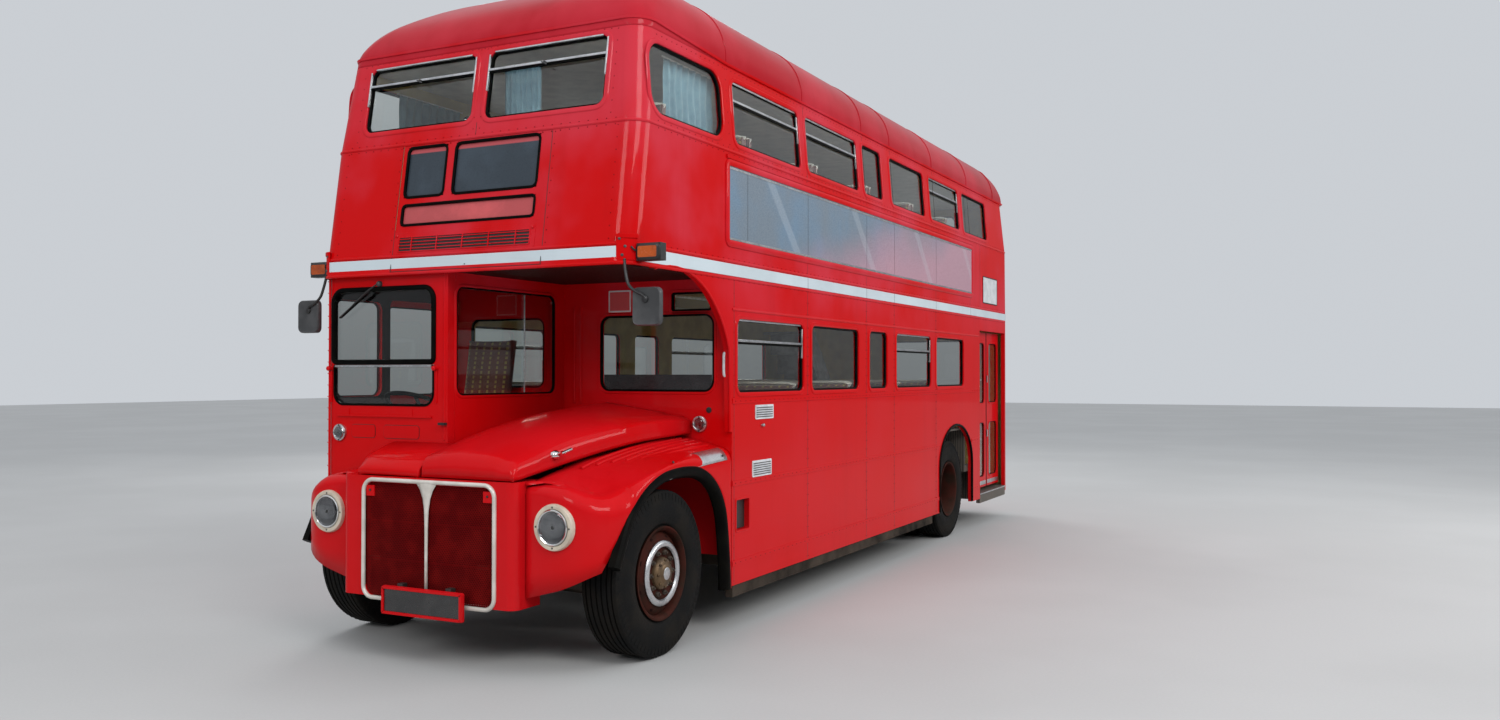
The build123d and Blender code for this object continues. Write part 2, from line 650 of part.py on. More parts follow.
def arch_cut(x_range):
    def at(p):
        return (aft(p[0]), p[1])
    a, b, c, d, e, f = [at(p) for p in ARCH_POINTS]
    path = Polyline((aft(-565), 200), at(ARCH_FOOT))
    path += ThreePointArc(at(ARCH_FOOT), a, b)
    path += ThreePointArc(b, c, d)
    path += ThreePointArc(d, e, f)
    path += Polyline(f, at(ARCH_HEEL), (aft(769), 200), (aft(-565), 200))
    return extrude(side_plane(x_range[0]) * make_face(path), x_range[1] - x_range[0])


def wing_block(inset):
    # Solid shape of a nearside wing: plan outline cut by the falling top line
    x0, x1 = WING_INNER_X, HALF_WIDTH - inset
    y0, y1 = aft(WING_FRONT) + inset, aft(BULKHEAD - 6)
    r = WING_CORNER_RADIUS - inset
    k = r * (1 - 0.70710678)
    path = Polyline((x0, y1), (x0, y0), (x1 - r, y0))
    path += ThreePointArc((x1 - r, y0), (x1 - k, y0 + k), (x1, y0 + r))
    path += Polyline((x1, y0 + r), (x1, y1), (x0, y1))
    plan = extrude(Plane(origin=(0, 0, 200)) * make_face(path), 1300)
    top = side_slab(((-800, 200), (-800, 990 - inset), (-640, 1072 - inset), (-100, 1190 - inset),
                     (400, 1245 - inset), (900, 1262 - inset), (900, 200)), (600, 1300))
    return plan & top


def front_wings():
    # The offside wing stops under the cab
    near = wing_skin()
    off = mirrored(near) - beam((-1300, -600), (CAB_FRONT - 8, 900), (CAB_BOTTOM_Z, 1500))
    return compound(near, off)


def wing_skin():
    skin = wing_block(0) - wing_block(WING_SKIN)
    skin -= arch_cut((1000, 1300))
    lower = front_slab(((600, 200), (600, 410), (900, 490), (1000, 530), (1300, 680), (1300, 200)),
                       (aft(-800), aft(-300)))
    skin -= lower
    # Open towards the chassis and at the bulkhead
    skin -= block((0, 1300), (aft(ARCH_HEEL[0] - 1), aft(900)), (0, 700))
    return skin


def radiator_cowl():
    shape = beam((-COWL_HALF_WIDTH, COWL_HALF_WIDTH), (COWL_FRONT, COWL_BACK), COWL_Z)
    front_edges = [e for e in shape.edges().filter_by(Axis.Z) if e.center().Y < aft(COWL_FRONT + 10)]
    shape = fillet(front_edges, 60)
    half = COWL_HALF_WIDTH - COWL_WALL
    room = beam((-half, half), (COWL_FRONT + COWL_WALL, COWL_BACK + 1), (COWL_Z[0] - 1, COWL_Z[1] - COWL_WALL))
    mouth = front_hole(GRILLE_X, GRILLE_Z, 60, (aft(COWL_FRONT) - 1, aft(COWL_FRONT) + 60))
    return shape - room - mouth


def grille():
    # Chromed surround, centre bar and the mesh behind them
    y0 = aft(COWL_FRONT)
    outer = front_hole((-490, 540), (350, 1085), 75, (y0 - 18, y0))
    inner = front_hole((-467, 517), (373, 1062), 58, (y0 - 19, y0 + 1))
    bar = block((12, 32), (y0 - 18, y0), (365, 1070))
    mesh = front_hole(GRILLE_X, GRILLE_Z, 60, (y0 + 4, y0 + 14))
    ties = block((12, 32), (y0 - 1, y0 + 6), (500, 520)) + block((12, 32), (y0 - 1, y0 + 6), (900, 920))
    rim = front_hole(GRILLE_X, GRILLE_Z, 60, (y0 - 2, y0 + 14)) - front_hole(
        (-455, 505), (385, 1050), 48, (y0 - 3, y0 + 15))
    return (outer - inner) + bar + mesh + ties + rim


def offside_fairing():
    # Raised fixed fairing in front of the cab, beside the bonnet
    points = ((-795, 1102), (-780, 1150), (-720, 1205), (-640, 1235), (-436, 1285), (-436, 1102))
    return side_slab(points, (-630, -50))


# Bonnet sections from the front back: place, offside top, crown, shoulder X and Z, edge X and top, seam
BONNET_SECTIONS = (
    (-790, 1160, 1172, 560, 1166, 650, 1150, 1106),
    (-720, 1230, 1262, 565, 1232, 655, 1195, 1118),
    (-330, 1335, 1385, 600, 1372, 730, 1300, 1195),
    (0, 1390, 1445, 630, 1430, 800, 1360, 1250),
    (300, 1420, 1480, 660, 1448, 850, 1400, 1290),
    (780, 1470, 1512, 740, 1440, 915, 1415, 1318),
)
# The bonnet turns about a line along its offside edge
BONNET_HINGE_X = -37
BONNET_HINGE_SLOPE = 0.1554
BONNET_HINGE_Z = 1245 + 700 * BONNET_HINGE_SLOPE


def bonnet_section(row, inset):
    y, off_z, crown_z, shoulder_x, shoulder_z, edge_x, edge_z, seam_z = row
    x0 = BONNET_OFFSIDE_X + inset
    low = seam_z - (1 if inset else 0)
    points = ((x0, low), (x0, off_z - inset), (200, crown_z - inset), (shoulder_x, shoulder_z - inset),
              (edge_x - inset, edge_z - inset), (edge_x - inset, low))
    return front_plane(aft(y)) * outline_face(points)


def bonnet():
    outer = loft([bonnet_section(row, 0) for row in BONNET_SECTIONS], ruled=True)
    inner_rows = [list(row) for row in BONNET_SECTIONS]
    inner_rows[0][0] += BONNET_SKIN
    inner_rows[-1][0] += 5
    inner = loft([bonnet_section(row, BONNET_SKIN) for row in inner_rows], ruled=True)
    pin = [(BONNET_HINGE_X, place, BONNET_HINGE_Z + place * BONNET_HINGE_SLOPE) for place in (-300, 700)]
    return outer - inner + rod(*pin, 9)


def bonnet_catch():
    # Handle on the bonnet's nearside edge, riding with it
    return rod((685, -470, 1232), (790, -470, 1262), 12) + rod((788, -530, 1254), (788, -410, 1278), 10)


def lamps():
    pieces = []
    y0 = aft(WING_FRONT)
    for side in (-1, 1):
        plane = front_plane(y0)
        pieces.append(extrude(plane * (Pos(side * HEADLAMP_X, HEADLAMP_Z) * Circle(HEADLAMP_RADIUS)), 30))
    side_lamp = extrude(front_plane(aft(CAB_FRONT)) * (Pos(-1065, 1330) * Circle(58)), 22)
    pieces.append(side_lamp)
    pieces.append(extrude(front_plane(aft(BULKHEAD)) * (Pos(975, 1377) * Circle(58)), 22))
    # Rear lamps in two stacks
    for side in (-1, 1):
        for z in (900, 1010, 1120):
            shape = extrude(front_plane(aft(REAR_END)) * (Pos(side * 930, z) * Circle(45)), LAMP_DEPTH)
            pieces.append(shape)
    return compound(*pieces)


def mirror_head():
    head = block((1236, 1424), (aft(-470), aft(-430)), (1990, 2210))
    head = fillet(head.edges().filter_by(Axis.Y), 35)
    bend = (1322, -165, 2400)
    return head + rod((1322, -440, 2200), bend, 9) + rod(bend, (HALF_WIDTH, -165, 2400), 9)


def mirrors():
    head = mirror_head()
    return compound(head, mirrored(head))


def indicators():
    lamp = beam(INDICATOR_X, INDICATOR_AFT, INDICATOR_Z)
    lamp = fillet(lamp.edges().filter_by(Axis.Y), 15)
    bracket = beam(INDICATOR_BRACKET, (-505, INDICATOR_AFT[1]), INDICATOR_BRACKET_Z)
    near = lamp + bracket - corner_solid(UPPER_BULKHEADS, BULKHEAD, 0)
    return compound(near, mirrored(near))


def number_plates():
    front = beam((-275, 340), (-FRONT_OVERHANG, COWL_FRONT - 18), (285, 455))
    rear = beam((-560, -40), (BODY_REAR, BODY_REAR + 12), (560, 680))
    return compound(front, rear)


def advert_frames():
    # Raised frames for the long side panels
    def frame(x_range):
        outer = side_hole((690, 6600), (2560, 3200), 40, x_range)
        inner = side_hole((745, 6530), (2610, 3105), 12, (x_range[0] - 1, x_range[1] + 1))
        sheet = side_hole((744, 6531), (2609, 3106), 12, (x_range[0], x_range[0] + 4))
        return outer - inner + sheet
    near = frame((HALF_WIDTH, HALF_WIDTH + 14))
    return compound(near, mirrored(near))


def sill_rails():
    rail = beam((HALF_WIDTH - 60, HALF_WIDTH - 8), (820, 5140), (222, SKIRT_Z))
    return compound(rail, mirrored(rail))


# Seats and tables

# Facing pairs of double seats with a table between: where each pair starts and ends behind the axle
LOWER_PAIRS = ((905, 1940), (2030, 3065), (3155, 4190), (4280, 5230))
UPPER_PAIRS = tuple((60 + 1180 * n, 1150 + 1180 * n) for n in range(5))


def double_seat(place, facing, floor_z, wall_x):
    # A bench on one foot, with its back standing at the given place
    inner_x = 300
    back = beam((inner_x, wall_x), (place - 40, place + 40), (floor_z + 380, floor_z + 960))
    reach = sorted((place - facing * 40, place - facing * 420))
    cushion = beam((inner_x, wall_x), reach, (floor_z + 330, floor_z + 440))
    foot_y = sorted((place - facing * 60, place - facing * 360))
    foot = beam((inner_x + 120, inner_x + 160), foot_y, (floor_z, floor_z + 330))
    leg = beam((wall_x - 100, wall_x - 60), foot_y, (floor_z, floor_z + 330))
    rear_foot = beam((inner_x, wall_x), sorted((place, place - facing * 45)), (floor_z + 330, floor_z + 390))
    return back + cushion + foot + leg + rear_foot


def seats(pairs, floor_z, wall_x):
    pieces = []
    for front, rear in pairs:
        for place, facing in ((front, -1), (rear, 1)):
            seat = double_seat(place, facing, floor_z, wall_x)
            pieces += [seat, mirrored(seat)]
    return pieces


def lower_seats():
    bench = beam((640, 1160), (5400, 6330), (1130, 1210)) + beam((1090, 1160), (5400, 6330), (1210, 1560))
    return compound(*seats(LOWER_PAIRS, LOWER_FLOOR_Z, 1160), bench, mirrored(bench))


def upper_seats():
    return compound(*seats(UPPER_PAIRS, UPPER_FLOOR_Z, 1130))


def table(place, floor_z, wall_x):
    top = beam((330, wall_x), (place - 240, place + 240), (floor_z + 680, floor_z + 705))
    leg = beam((470, 520), (place - 25, place + 25), (floor_z, floor_z + 680))
    return top + leg


def tables():
    pieces = []
    for pairs, floor_z, wall_x in ((LOWER_PAIRS, LOWER_FLOOR_Z, INNER), (UPPER_PAIRS, UPPER_FLOOR_Z, 1160)):
        for front, rear in pairs:
            board = table((front + rear) / 2.0, floor_z, wall_x)
            pieces += [board, mirrored(board)]
    return compound(*pieces)


def curtains():
    # Plain hanging panels by the front upper windows
    side = beam((1060, 1110), (120, 760), (3280, 3690))
    middle = beam((30, 330), (-130, -90), (3330, 3700))
    return compound(side, mirrored(side), middle)


# Underside


def underframe():
    profile = ((-700, 550), (-700, 640), (6640, 640), (6760, 300), (7900, 300), (7900, 240), (6700, 240),
               (6520, 600), (5200, 600), (5100, 550))
    near = side_slab(profile, MEMBER_X)
    return compound(near, mirrored(near))


def cross_members():
    # Bars between the side members, and outriggers that carry the body
    inside, outside = MEMBER_X
    bars = []
    for place, z0, z1 in ((-660, 560, 630), (1250, 600, 640), (2950, 600, 640), (4300, 600, 640),
                          (7300, 240, 300)):
        bars.append(beam((-inside, inside), (place, place + 80), (z0, z1)))
    for place in (2150, 3600, 4900):
        bars.append(beam((-inside, inside), (place, place + 60), (600, 640)))
    for place in (1150, 2150, 3600, 4900):
        arm = beam((outside, INNER), (place, place + 60), (600, 640))
        bars += [arm, mirrored(arm)]
    return compound(*bars)


def towing_eyes():
    # Flat lugs on the ends of the side members, each with an upright hole for a pin
    lugs = []
    for y_range, z, centre in (((-776, -700), 598, -738), ((7900, 7990), 270, 7950)):
        half = TOWING_EYE_THICKNESS / 2.0
        lug = beam((TOWING_X - 40, TOWING_X + 40), y_range, (z - half, z + half))
        lug -= Pos(TOWING_X, aft(centre), z) * Cylinder(TOWING_HOLE_RADIUS, TOWING_EYE_THICKNESS + 2)
        lugs += [lug, mirrored(lug)]
    return compound(*lugs)


def leaf_springs():
    packs = []
    for place, pack_z, eye_z in ((0, (461, 505), 550), (WHEELBASE, (392, 435), 600)):
        for side in (-1, 1):
            x_range = sorted(side * x for x in MEMBER_X)
            pack = beam(x_range, (place - 620, place + 620), pack_z)
            for end in (-1, 1):
                eye = sorted((place + end * 560, place + end * 620))
                pack += beam(x_range, eye, (pack_z[1], eye_z))
            packs.append(pack)
    return compound(*packs)


def front_axle():
    bar = beam((-740, 740), (-40, 40), (BEAM_Z - 50, BEAM_Z + 50))
    for side in (-1, 1):
        bar += Pos(side * KINGPIN_X, aft(0), BEAM_Z) * Cylinder(62, 100)
        bar -= Pos(side * KINGPIN_X, aft(0), BEAM_Z) * Cylinder(32, 102)
        bar += beam(sorted(side * x for x in MEMBER_X), (-60, 60), (BEAM_Z + 50, BEAM_Z + 51))
    return bar


def rear_axle():
    casing = rod((-560, WHEELBASE, TYRE_RADIUS), (560, WHEELBASE, TYRE_RADIUS), 70)
    for side in (-1, 1):
        casing += rod((side * 560, WHEELBASE, TYRE_RADIUS), (side * 880, WHEELBASE, TYRE_RADIUS), 45)
    diff = rod((-110, WHEELBASE, TYRE_RADIUS), (110, WHEELBASE, TYRE_RADIUS), 125)
    return casing + diff + rod((0, WHEELBASE - 220, TYRE_RADIUS), (0, WHEELBASE, TYRE_RADIUS), 60)


def engine():
    return beam((-340, 340), (-560, 720), (530, 1040))


def gearbox_and_shaft():
    box = beam((-200, 200), (2000, 2700), (330, 600))
    front_shaft = rod((0, 726, 560), (0, 2000, 480), 42)
    rear_shaft = rod((0, 2700, 470), (0, WHEELBASE - 226, TYRE_RADIUS), 48)
    return box + front_shaft + rear_shaft


def fuel_tank():
    tank = beam((-1120, -520), (2300, 3500), (330, 640))
    return fillet(tank.edges().filter_by(Axis.Y), 40)


def battery_box():
    return beam((560, 1120), (1300, 1950), (340, 640))


def exhaust():
    silencer = rod((-700, 4000, 500), (-700, 4900, 500), 100)
    front_pipe = rod((-700, 3700, 500), (-700, 4000, 500), 32)
    tail = rod((-700, 4900, 500), (-700, 5180, 480), 32)
    straps = beam((-712, -688), (4100, 4130), (590, 640)) + beam((-712, -688), (4750, 4780), (590, 640))
    return silencer + front_pipe + tail + straps


# Wheels, knuckles and steering


def tyre(x):
    # Section as radius against width, with round shoulders, turned about the wheel's own axis
    half = TYRE_WIDTH / 2.0
    low, middle, high = RIM_RADIUS + 60, RIM_RADIUS + 130, RIM_RADIUS + 195
    path = Polyline((low, half * 0.97), (RIM_RADIUS, half * 0.72), (RIM_RADIUS, -half * 0.72), (low, -half * 0.97))
    for side in (-1, 1):
        path += ThreePointArc((low, side * half * 0.97), (middle, side * half), (high, side * half * 0.94))
        path += ThreePointArc((high, side * half * 0.94), (TYRE_RADIUS - 12, side * half * 0.86),
                              (TYRE_RADIUS, side * half * 0.72))
    path += Line((TYRE_RADIUS, -half * 0.72), (TYRE_RADIUS, half * 0.72))
    section = Plane.XY * make_face(path)
    ring = revolve(section, Axis.Y, 360)
    return Pos(x, 0, 0) * (Rot(0, 0, -90) * ring)


def turned(points):
    # A solid turned about the X axis from (X, radius) points
    face = make_face(Polyline(*points, close=True))
    return revolve(Plane.XY * face, Axis.X, 360)


def front_rim():
    # Rim, dished disc, hub and brake drum in one, centred on the wheel, outer face towards +X
    half = TYRE_WIDTH / 2.0
    barrel = turned(((-110, RIM_RADIUS), (110, RIM_RADIUS), (118, RIM_RADIUS + 14), (122, RIM_RADIUS + 14),
                     (122, RIM_RADIUS - 4), (112, RIM_RADIUS - 16), (-112, RIM_RADIUS - 16),
                     (-122, RIM_RADIUS - 4), (-122, RIM_RADIUS + 14), (-118, RIM_RADIUS + 14)))
    disc = turned(((70, 258), (88, 235), (100, 165), (104, 46), (92, 46), (88, 160), (76, 228), (40, 258)))
    cap = half + 22
    hub = turned(((-20, 46), (-20, 150), (92, 150), (92, 120), (cap, 95), (cap, 0), (60, 0), (60, 46)))
    drum = turned(((-95, 175), (-95, 215), (80, 215), (80, 150), (60, 150), (60, 195), (-75, 195), (-75, 175)))
    return barrel + disc + hub + drum


def rear_rims():
    # Twin rims back to back with one hub, centred between the tyres
    offset = (REAR_OUTER_WHEEL_X - REAR_INNER_WHEEL_X) / 2.0
    body = None
    for place in (-offset, offset):
        barrel = turned(((place - 110, RIM_RADIUS), (place + 110, RIM_RADIUS), (place + 118, RIM_RADIUS + 14),
                         (place + 122, RIM_RADIUS + 14), (place + 122, RIM_RADIUS - 4),
                         (place + 112, RIM_RADIUS - 16), (place - 112, RIM_RADIUS - 16),
                         (place - 122, RIM_RADIUS - 4), (place - 122, RIM_RADIUS + 14),
                         (place - 118, RIM_RADIUS + 14)))
        body = barrel if body is None else body + barrel
    disc = turned(((-8, 47), (-8, 215), (40, 258), (60, 258), (20, 205), (20, 47)))
    inner_disc = turned(((8, 47), (8, 215), (-40, 258), (-60, 258), (-20, 205), (-20, 47)))
    hub = turned(((-60, 47), (-60, 150), (60, 150), (160, 110), (160, 0), (130, 0), (130, 47)))
    drum = turned(((-170, 175), (-170, 225), (-30, 225), (-30, 175)))
    web = turned(((-30, 47), (-30, 225), (-8, 215), (-8, 47)))
    return body + disc + inner_disc + hub + drum + web


def at_wheel(shape, x, distance):
    return Pos(x, aft(distance), TYRE_RADIUS) * shape


def knuckle():
    # Kingpin, ears, stub axle and steering arm of the nearside wheel
    x = KINGPIN_X
    pin = Pos(x, aft(0), (BEAM_Z - 110 + BEAM_Z + 160) / 2.0) * Cylinder(30, 270)
    upper = Pos(x, aft(0), BEAM_Z + 105) * Cylinder(60, 90)
    lower = Pos(x, aft(0), BEAM_Z - 80) * Cylinder(55, 50)
    web = beam((x + 68, x + 92), (-55, 55), (BEAM_Z - 105, BEAM_Z + 150))
    bridge = beam((x, x + 80), (-45, 45), (BEAM_Z + 62, BEAM_Z + 148))
    foot = beam((x, x + 80), (-45, 45), (BEAM_Z - 104, BEAM_Z - 56))
    stub = rod((x + 80, 0, TYRE_RADIUS), (FRONT_WHEEL_X + 55, 0, TYRE_RADIUS), 43)
    arm = beam((x - 30, x + 20), (30, STEERING_ARM + 30), (BEAM_Z - 75, BEAM_Z - 55))
    arm -= Pos(x, aft(STEERING_ARM), BEAM_Z - 65) * Cylinder(11, 30)
    return pin + upper + lower + web + bridge + foot + stub + arm


def track_rod():
    reach = KINGPIN_X - 12
    bar = rod((-reach, STEERING_ARM, TRACK_ROD_Z - 20), (reach, STEERING_ARM, TRACK_ROD_Z - 20), 16)
    for side in (-1, 1):
        eye = Pos(side * KINGPIN_X, aft(STEERING_ARM), TRACK_ROD_Z - 20) * Cylinder(24, 28)
        pin = Pos(side * KINGPIN_X, aft(STEERING_ARM), TRACK_ROD_Z + 14) * Cylinder(10, 60)
        bar += eye + pin
    return bar


# Rear folding door


def door_leaf(start, end):
    x_range = (DOOR_OUTER_X - DOOR_THICKNESS, DOOR_OUTER_X)
    leaf = beam(x_range, (start, end), DOOR_Z)
    middle = (DOOR_OUTER_X - 18, DOOR_OUTER_X - 12)
    for z_range in ((520, 1150), (1380, 2080)):
        hole = (start + 90, end - 90)
        leaf -= side_hole(hole, z_range, 60, x_range)
        leaf += side_hole(hole, z_range, 60, middle)
    return leaf


def front_door_leaf():
    leaf = door_leaf(DOOR_HINGE - DOOR_GAP, DOOR_FOLD - DOOR_GAP)
    for z in (660, 2020):
        leaf += Pos(DOOR_HINGE_X, aft(DOOR_HINGE), z) * Cylinder(10, 80)
    return leaf


def rear_door_leaf():
    leaf = door_leaf(DOOR_FOLD + DOOR_GAP, REAR_POST - 10)
    # Hinges between the leaves, on short tabs
    for z in (660, 2020):
        leaf += Pos(DOOR_HINGE_X, aft(DOOR_FOLD), z) * Cylinder(7, 80)
        leaf += beam((DOOR_OUTER_X - 1, DOOR_HINGE_X), (DOOR_FOLD + 5, DOOR_FOLD + 16), (z - 40, z + 40))
    return leaf


def build():
    near_upper = upper_wall(BULKHEAD, REAR_SECTION)
    near_knuckle = knuckle()
    twin_centre = (REAR_OUTER_WHEEL_X + REAR_INNER_WHEEL_X) / 2.0
    twin_tyres = compound(tyre(REAR_OUTER_WHEEL_X - twin_centre), tyre(REAR_INNER_WHEEL_X - twin_centre))
    near_rear_tyres = at_wheel(twin_tyres, twin_centre, WHEELBASE)
    near_rear_rims = at_wheel(rear_rims(), twin_centre, WHEELBASE)
    near_front_tyre = at_wheel(tyre(0), FRONT_WHEEL_X, 0)
    near_front_rim = at_wheel(front_rim(), FRONT_WHEEL_X, 0)
    nodes = {
        "nearside_lower_wall": nearside_lower_wall(),
        "offside_lower_wall": offside_lower_wall(),
        "upper_side_walls": compound(near_upper, mirrored(near_upper)),
        "upper_front_wall": upper_front_wall(),
        "upper_rear_wall": upper_rear_wall(),
        "lower_rear_wall": lower_rear_wall(),
        "roof": roof(),
        "lower_floor": lower_floor(),
        "upper_floor": upper_floor(),
        "bulkhead": front_bulkhead(),
        "staircase": staircase(),
        "window_glass": compound(*lower_glass(), *upper_glass(), *cab_glass()),
        "cab_shell": cab_shell(),
        "cab_floor": cab_floor(),
        "cab_door": cab_door(),
        "driver_seat": driver_seat(),
        "steering_column": steering_column(),
        "steering_wheel": steering_wheel(),
        "destination_box": destination_box(),
        "front_wings": front_wings(),
        "radiator_cowl": radiator_cowl(),
        "grille": grille(),
        "cab_fairing": offside_fairing(),
        "bonnet": bonnet() + bonnet_catch(),
        "lamps": lamps(),
        "mirrors": mirrors(),
        "indicators": indicators(),
        "number_plates": number_plates(),
        "advert_frames": advert_frames(),
        "sill_rails": sill_rails(),
        "lower_seats": lower_seats(),
        "upper_seats": upper_seats(),
        "tables": tables(),
        "curtains": curtains(),
        "underframe": underframe(),
        "cross_members": cross_members(),
        "towing_eyes": towing_eyes(),
        "leaf_springs": leaf_springs(),
        "front_axle": front_axle(),
        "rear_axle": rear_axle(),
        "engine": engine(),
        "gearbox_and_shaft": gearbox_and_shaft(),
        "fuel_tank": fuel_tank(),
        "battery_box": battery_box(),
        "exhaust": exhaust(),
        "nearside_knuckle": near_knuckle,
        "offside_knuckle": mirrored(near_knuckle),
        "track_rod": track_rod(),
        "nearside_front_tyre": near_front_tyre,
        "offside_front_tyre": mirrored(near_front_tyre),
        "nearside_front_rim": near_front_rim,
        "offside_front_rim": mirrored(near_front_rim),
        "nearside_rear_tyres": near_rear_tyres,
        "offside_rear_tyres": mirrored(near_rear_tyres),
        "nearside_rear_rims": near_rear_rims,
        "offside_rear_rims": mirrored(near_rear_rims),
        "front_door_leaf": front_door_leaf(),
        "rear_door_leaf": rear_door_leaf(),
    }
    for name, shape in nodes.items():
        save(shape, name)


build()
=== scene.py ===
import random
from math import atan2, cos, hypot, pi, radians, sin, sqrt

import bmesh
import bpy
from bpy.props import FloatProperty, FloatVectorProperty, PointerProperty
from mathutils import Matrix, Vector


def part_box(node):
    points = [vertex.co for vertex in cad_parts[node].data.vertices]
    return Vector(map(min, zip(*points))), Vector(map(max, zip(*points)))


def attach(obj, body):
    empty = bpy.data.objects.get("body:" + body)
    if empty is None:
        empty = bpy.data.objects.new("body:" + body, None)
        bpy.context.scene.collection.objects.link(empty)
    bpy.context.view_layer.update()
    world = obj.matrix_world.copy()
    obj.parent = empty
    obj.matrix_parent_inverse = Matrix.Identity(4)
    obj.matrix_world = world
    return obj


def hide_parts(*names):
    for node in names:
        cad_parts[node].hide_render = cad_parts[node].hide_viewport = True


bl_info = {
    "name": "Half-cab double-deck bus",
    "version": (1, 0, 0),
    "blender": (4, 5, 0),
    "location": "3D View > Sidebar > Bus",
    "description": "Builds the finishes and fittings of a half-cab double-deck bus around its frame",
    "category": "Object",
}

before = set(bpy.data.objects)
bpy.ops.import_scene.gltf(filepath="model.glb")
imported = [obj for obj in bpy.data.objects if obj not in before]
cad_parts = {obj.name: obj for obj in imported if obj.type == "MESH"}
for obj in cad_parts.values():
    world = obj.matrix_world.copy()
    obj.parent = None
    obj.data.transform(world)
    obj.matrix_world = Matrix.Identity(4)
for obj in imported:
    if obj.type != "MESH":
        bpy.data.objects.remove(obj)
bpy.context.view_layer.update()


def mm(*rows):
    """Rows of lengths given in millimetres, in metres."""
    return [tuple(length / 1000 for length in row) for row in rows]


# Driving sizes, in metres. Places along the bus are distances behind the front axle
AXLE_Y = sum(corner.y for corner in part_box("front_axle")) / 2
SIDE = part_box("nearside_lower_wall")[1].x
BODY_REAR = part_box("lower_rear_wall")[1].y - AXLE_Y
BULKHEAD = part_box("bulkhead")[0].y - AXLE_Y
TYRE_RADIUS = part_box("nearside_front_tyre")[1].z / 2
BAND_Z = (2.366, 2.458)
SILL_Z = 3.205
CANT_Z = 3.79
CANT_X = 1.172
JAMB = 6.83
REAR_POST = 7.98
CAB_FRONT = -0.43
CAB_X = -0.15
FRONT_WHEEL_X = 1.035
REAR_WHEELS_X = (0.73, 1.04)
WHEELBASE = 5.842
UPPER_FLOOR_Z = 2.44
LOWER_FLOOR_Z = 0.7

# Windows: front edge and rear edge behind the axle
LOWER_WINDOWS = mm((870, 1960), (2120, 3100), (3360, 3800), (4050, 5070), (5250, 6210))
LOWER_WINDOW_Z = (1.59, 2.09)
UPPER_WINDOWS = mm((850, 1930), (2060, 3130), (3260, 3720), (3950, 4920), (5100, 6100), (6250, 7200))
UPPER_WINDOW_Z = (3.27, 3.7)
SIDE_WINDOW_RADIUS = 0.055
QUARTER_WINDOW = (-0.215, 0.69)
QUARTER_WINDOW_Z = (3.27, 3.71)
QUARTER_RADIUS = 0.13
FRONT_WINDOW_X = (0.052, 0.95)
FRONT_WINDOW_Z = (3.315, 3.755)
# Panel joints along the sides
BAYS = (2.042, 3.289, 3.996, 5.243, 6.49)
# Heights of the lower sides' raised beads, the offside trim's rear end, and joints of the front panel
BEAD_ROWS = (0.448, 0.982, 1.534)
TRIM_END = 7.985
FRONT_JOINTS = (-0.585, 0.6)

# Outline of the upper deck and roof: height, half width, front, rear, front radius, rear radius
BODY_LINE = mm(
    (2366, 1219, -478, 8210, 120, 220),
    (3205, 1219, -355, 8190, 120, 220),
    (3790, 1172, -262, 8120, 120, 220),
    (3900, 1168, -245, 8105, 160, 230),
    (4040, 1120, -158, 8030, 260, 290),
    (4160, 1020, 0, 7890, 350, 350),
    (4260, 850, 200, 7680, 380, 380),
    (4330, 620, 470, 7400, 360, 360),
    (4374, 250, 1000, 6900, 200, 200),
)


def aft(distance):
    return AXLE_Y + distance


def table_at(table, x):
    """Straight-line reading of a table whose first column is the distance or height."""
    if x <= table[0][0]:
        return list(table[0][1:])
    for low, high in zip(table, table[1:]):
        if x <= high[0]:
            share = (x - low[0]) / (high[0] - low[0])
            return [a + (b - a) * share for a, b in zip(low[1:], high[1:])]
    return list(table[-1][1:])


def smooth_rows(rows, steps):
    """More rows on a smooth curve through the given ones."""
    made = []
    for i in range(len(rows) - 1):
        before, low, high, after = (rows[k]
            for k in (max(i - 1, 0), i, i + 1, min(i + 2, len(rows) - 1)))
        for k in range(steps):
            t = k / steps
            made.append([0.5 * (2 * q + (r - p) * t + (2 * p - 5 * q + 4 * r - s) * t * t
                + (3 * q - p - 3 * r + s) * t ** 3) for p, q, r, s in zip(before, low, high, after)])
    made.append(list(rows[-1]))
    return made


# Finishes


def feed(tree, socket, value):
    if isinstance(value, bpy.types.NodeSocket):
        tree.links.new(value, socket)
    else:
        socket.default_value = value


def add(tree, kind, settings=None, **inputs):
    made = tree.nodes.new("ShaderNode" + kind)
    for name, value in (settings or {}).items():
        setattr(made, name, value)
    for name, value in inputs.items():
        feed(tree, made.inputs[name.replace("_", " ")], value)
    return made


def calc(tree, operation, a, b=0.0, clamp=False):
    made = add(tree, "Math", {"operation": operation, "use_clamp": clamp})
    feed(tree, made.inputs[0], a)
    feed(tree, made.inputs[1], b)
    return made.outputs[0]


def blend(tree, share, a, b):
    made = add(tree, "Mix", {"data_type": "RGBA"})
    feed(tree, made.inputs[0], share)
    feed(tree, made.inputs[6], a)
    feed(tree, made.inputs[7], b)
    return made.outputs[2]


def span(tree, value, low, high, to_low=0.0, to_high=1.0):
    made = add(tree, "MapRange", {"interpolation_type": "SMOOTHSTEP"}, Value=value)
    for name, number in (("From Min", low), ("From Max", high), ("To Min", to_low), ("To Max", to_high)):
        feed(tree, made.inputs[name], number)
    return made.outputs["Result"]


def place(tree, stretch=(1.0, 1.0, 1.0)):
    """The piece's own coordinates, stretched."""
    coordinates = add(tree, "TexCoord").outputs["Object"]
    made = add(tree, "Mapping", Vector=coordinates)
    made.inputs["Scale"].default_value = stretch
    return made.outputs["Vector"]


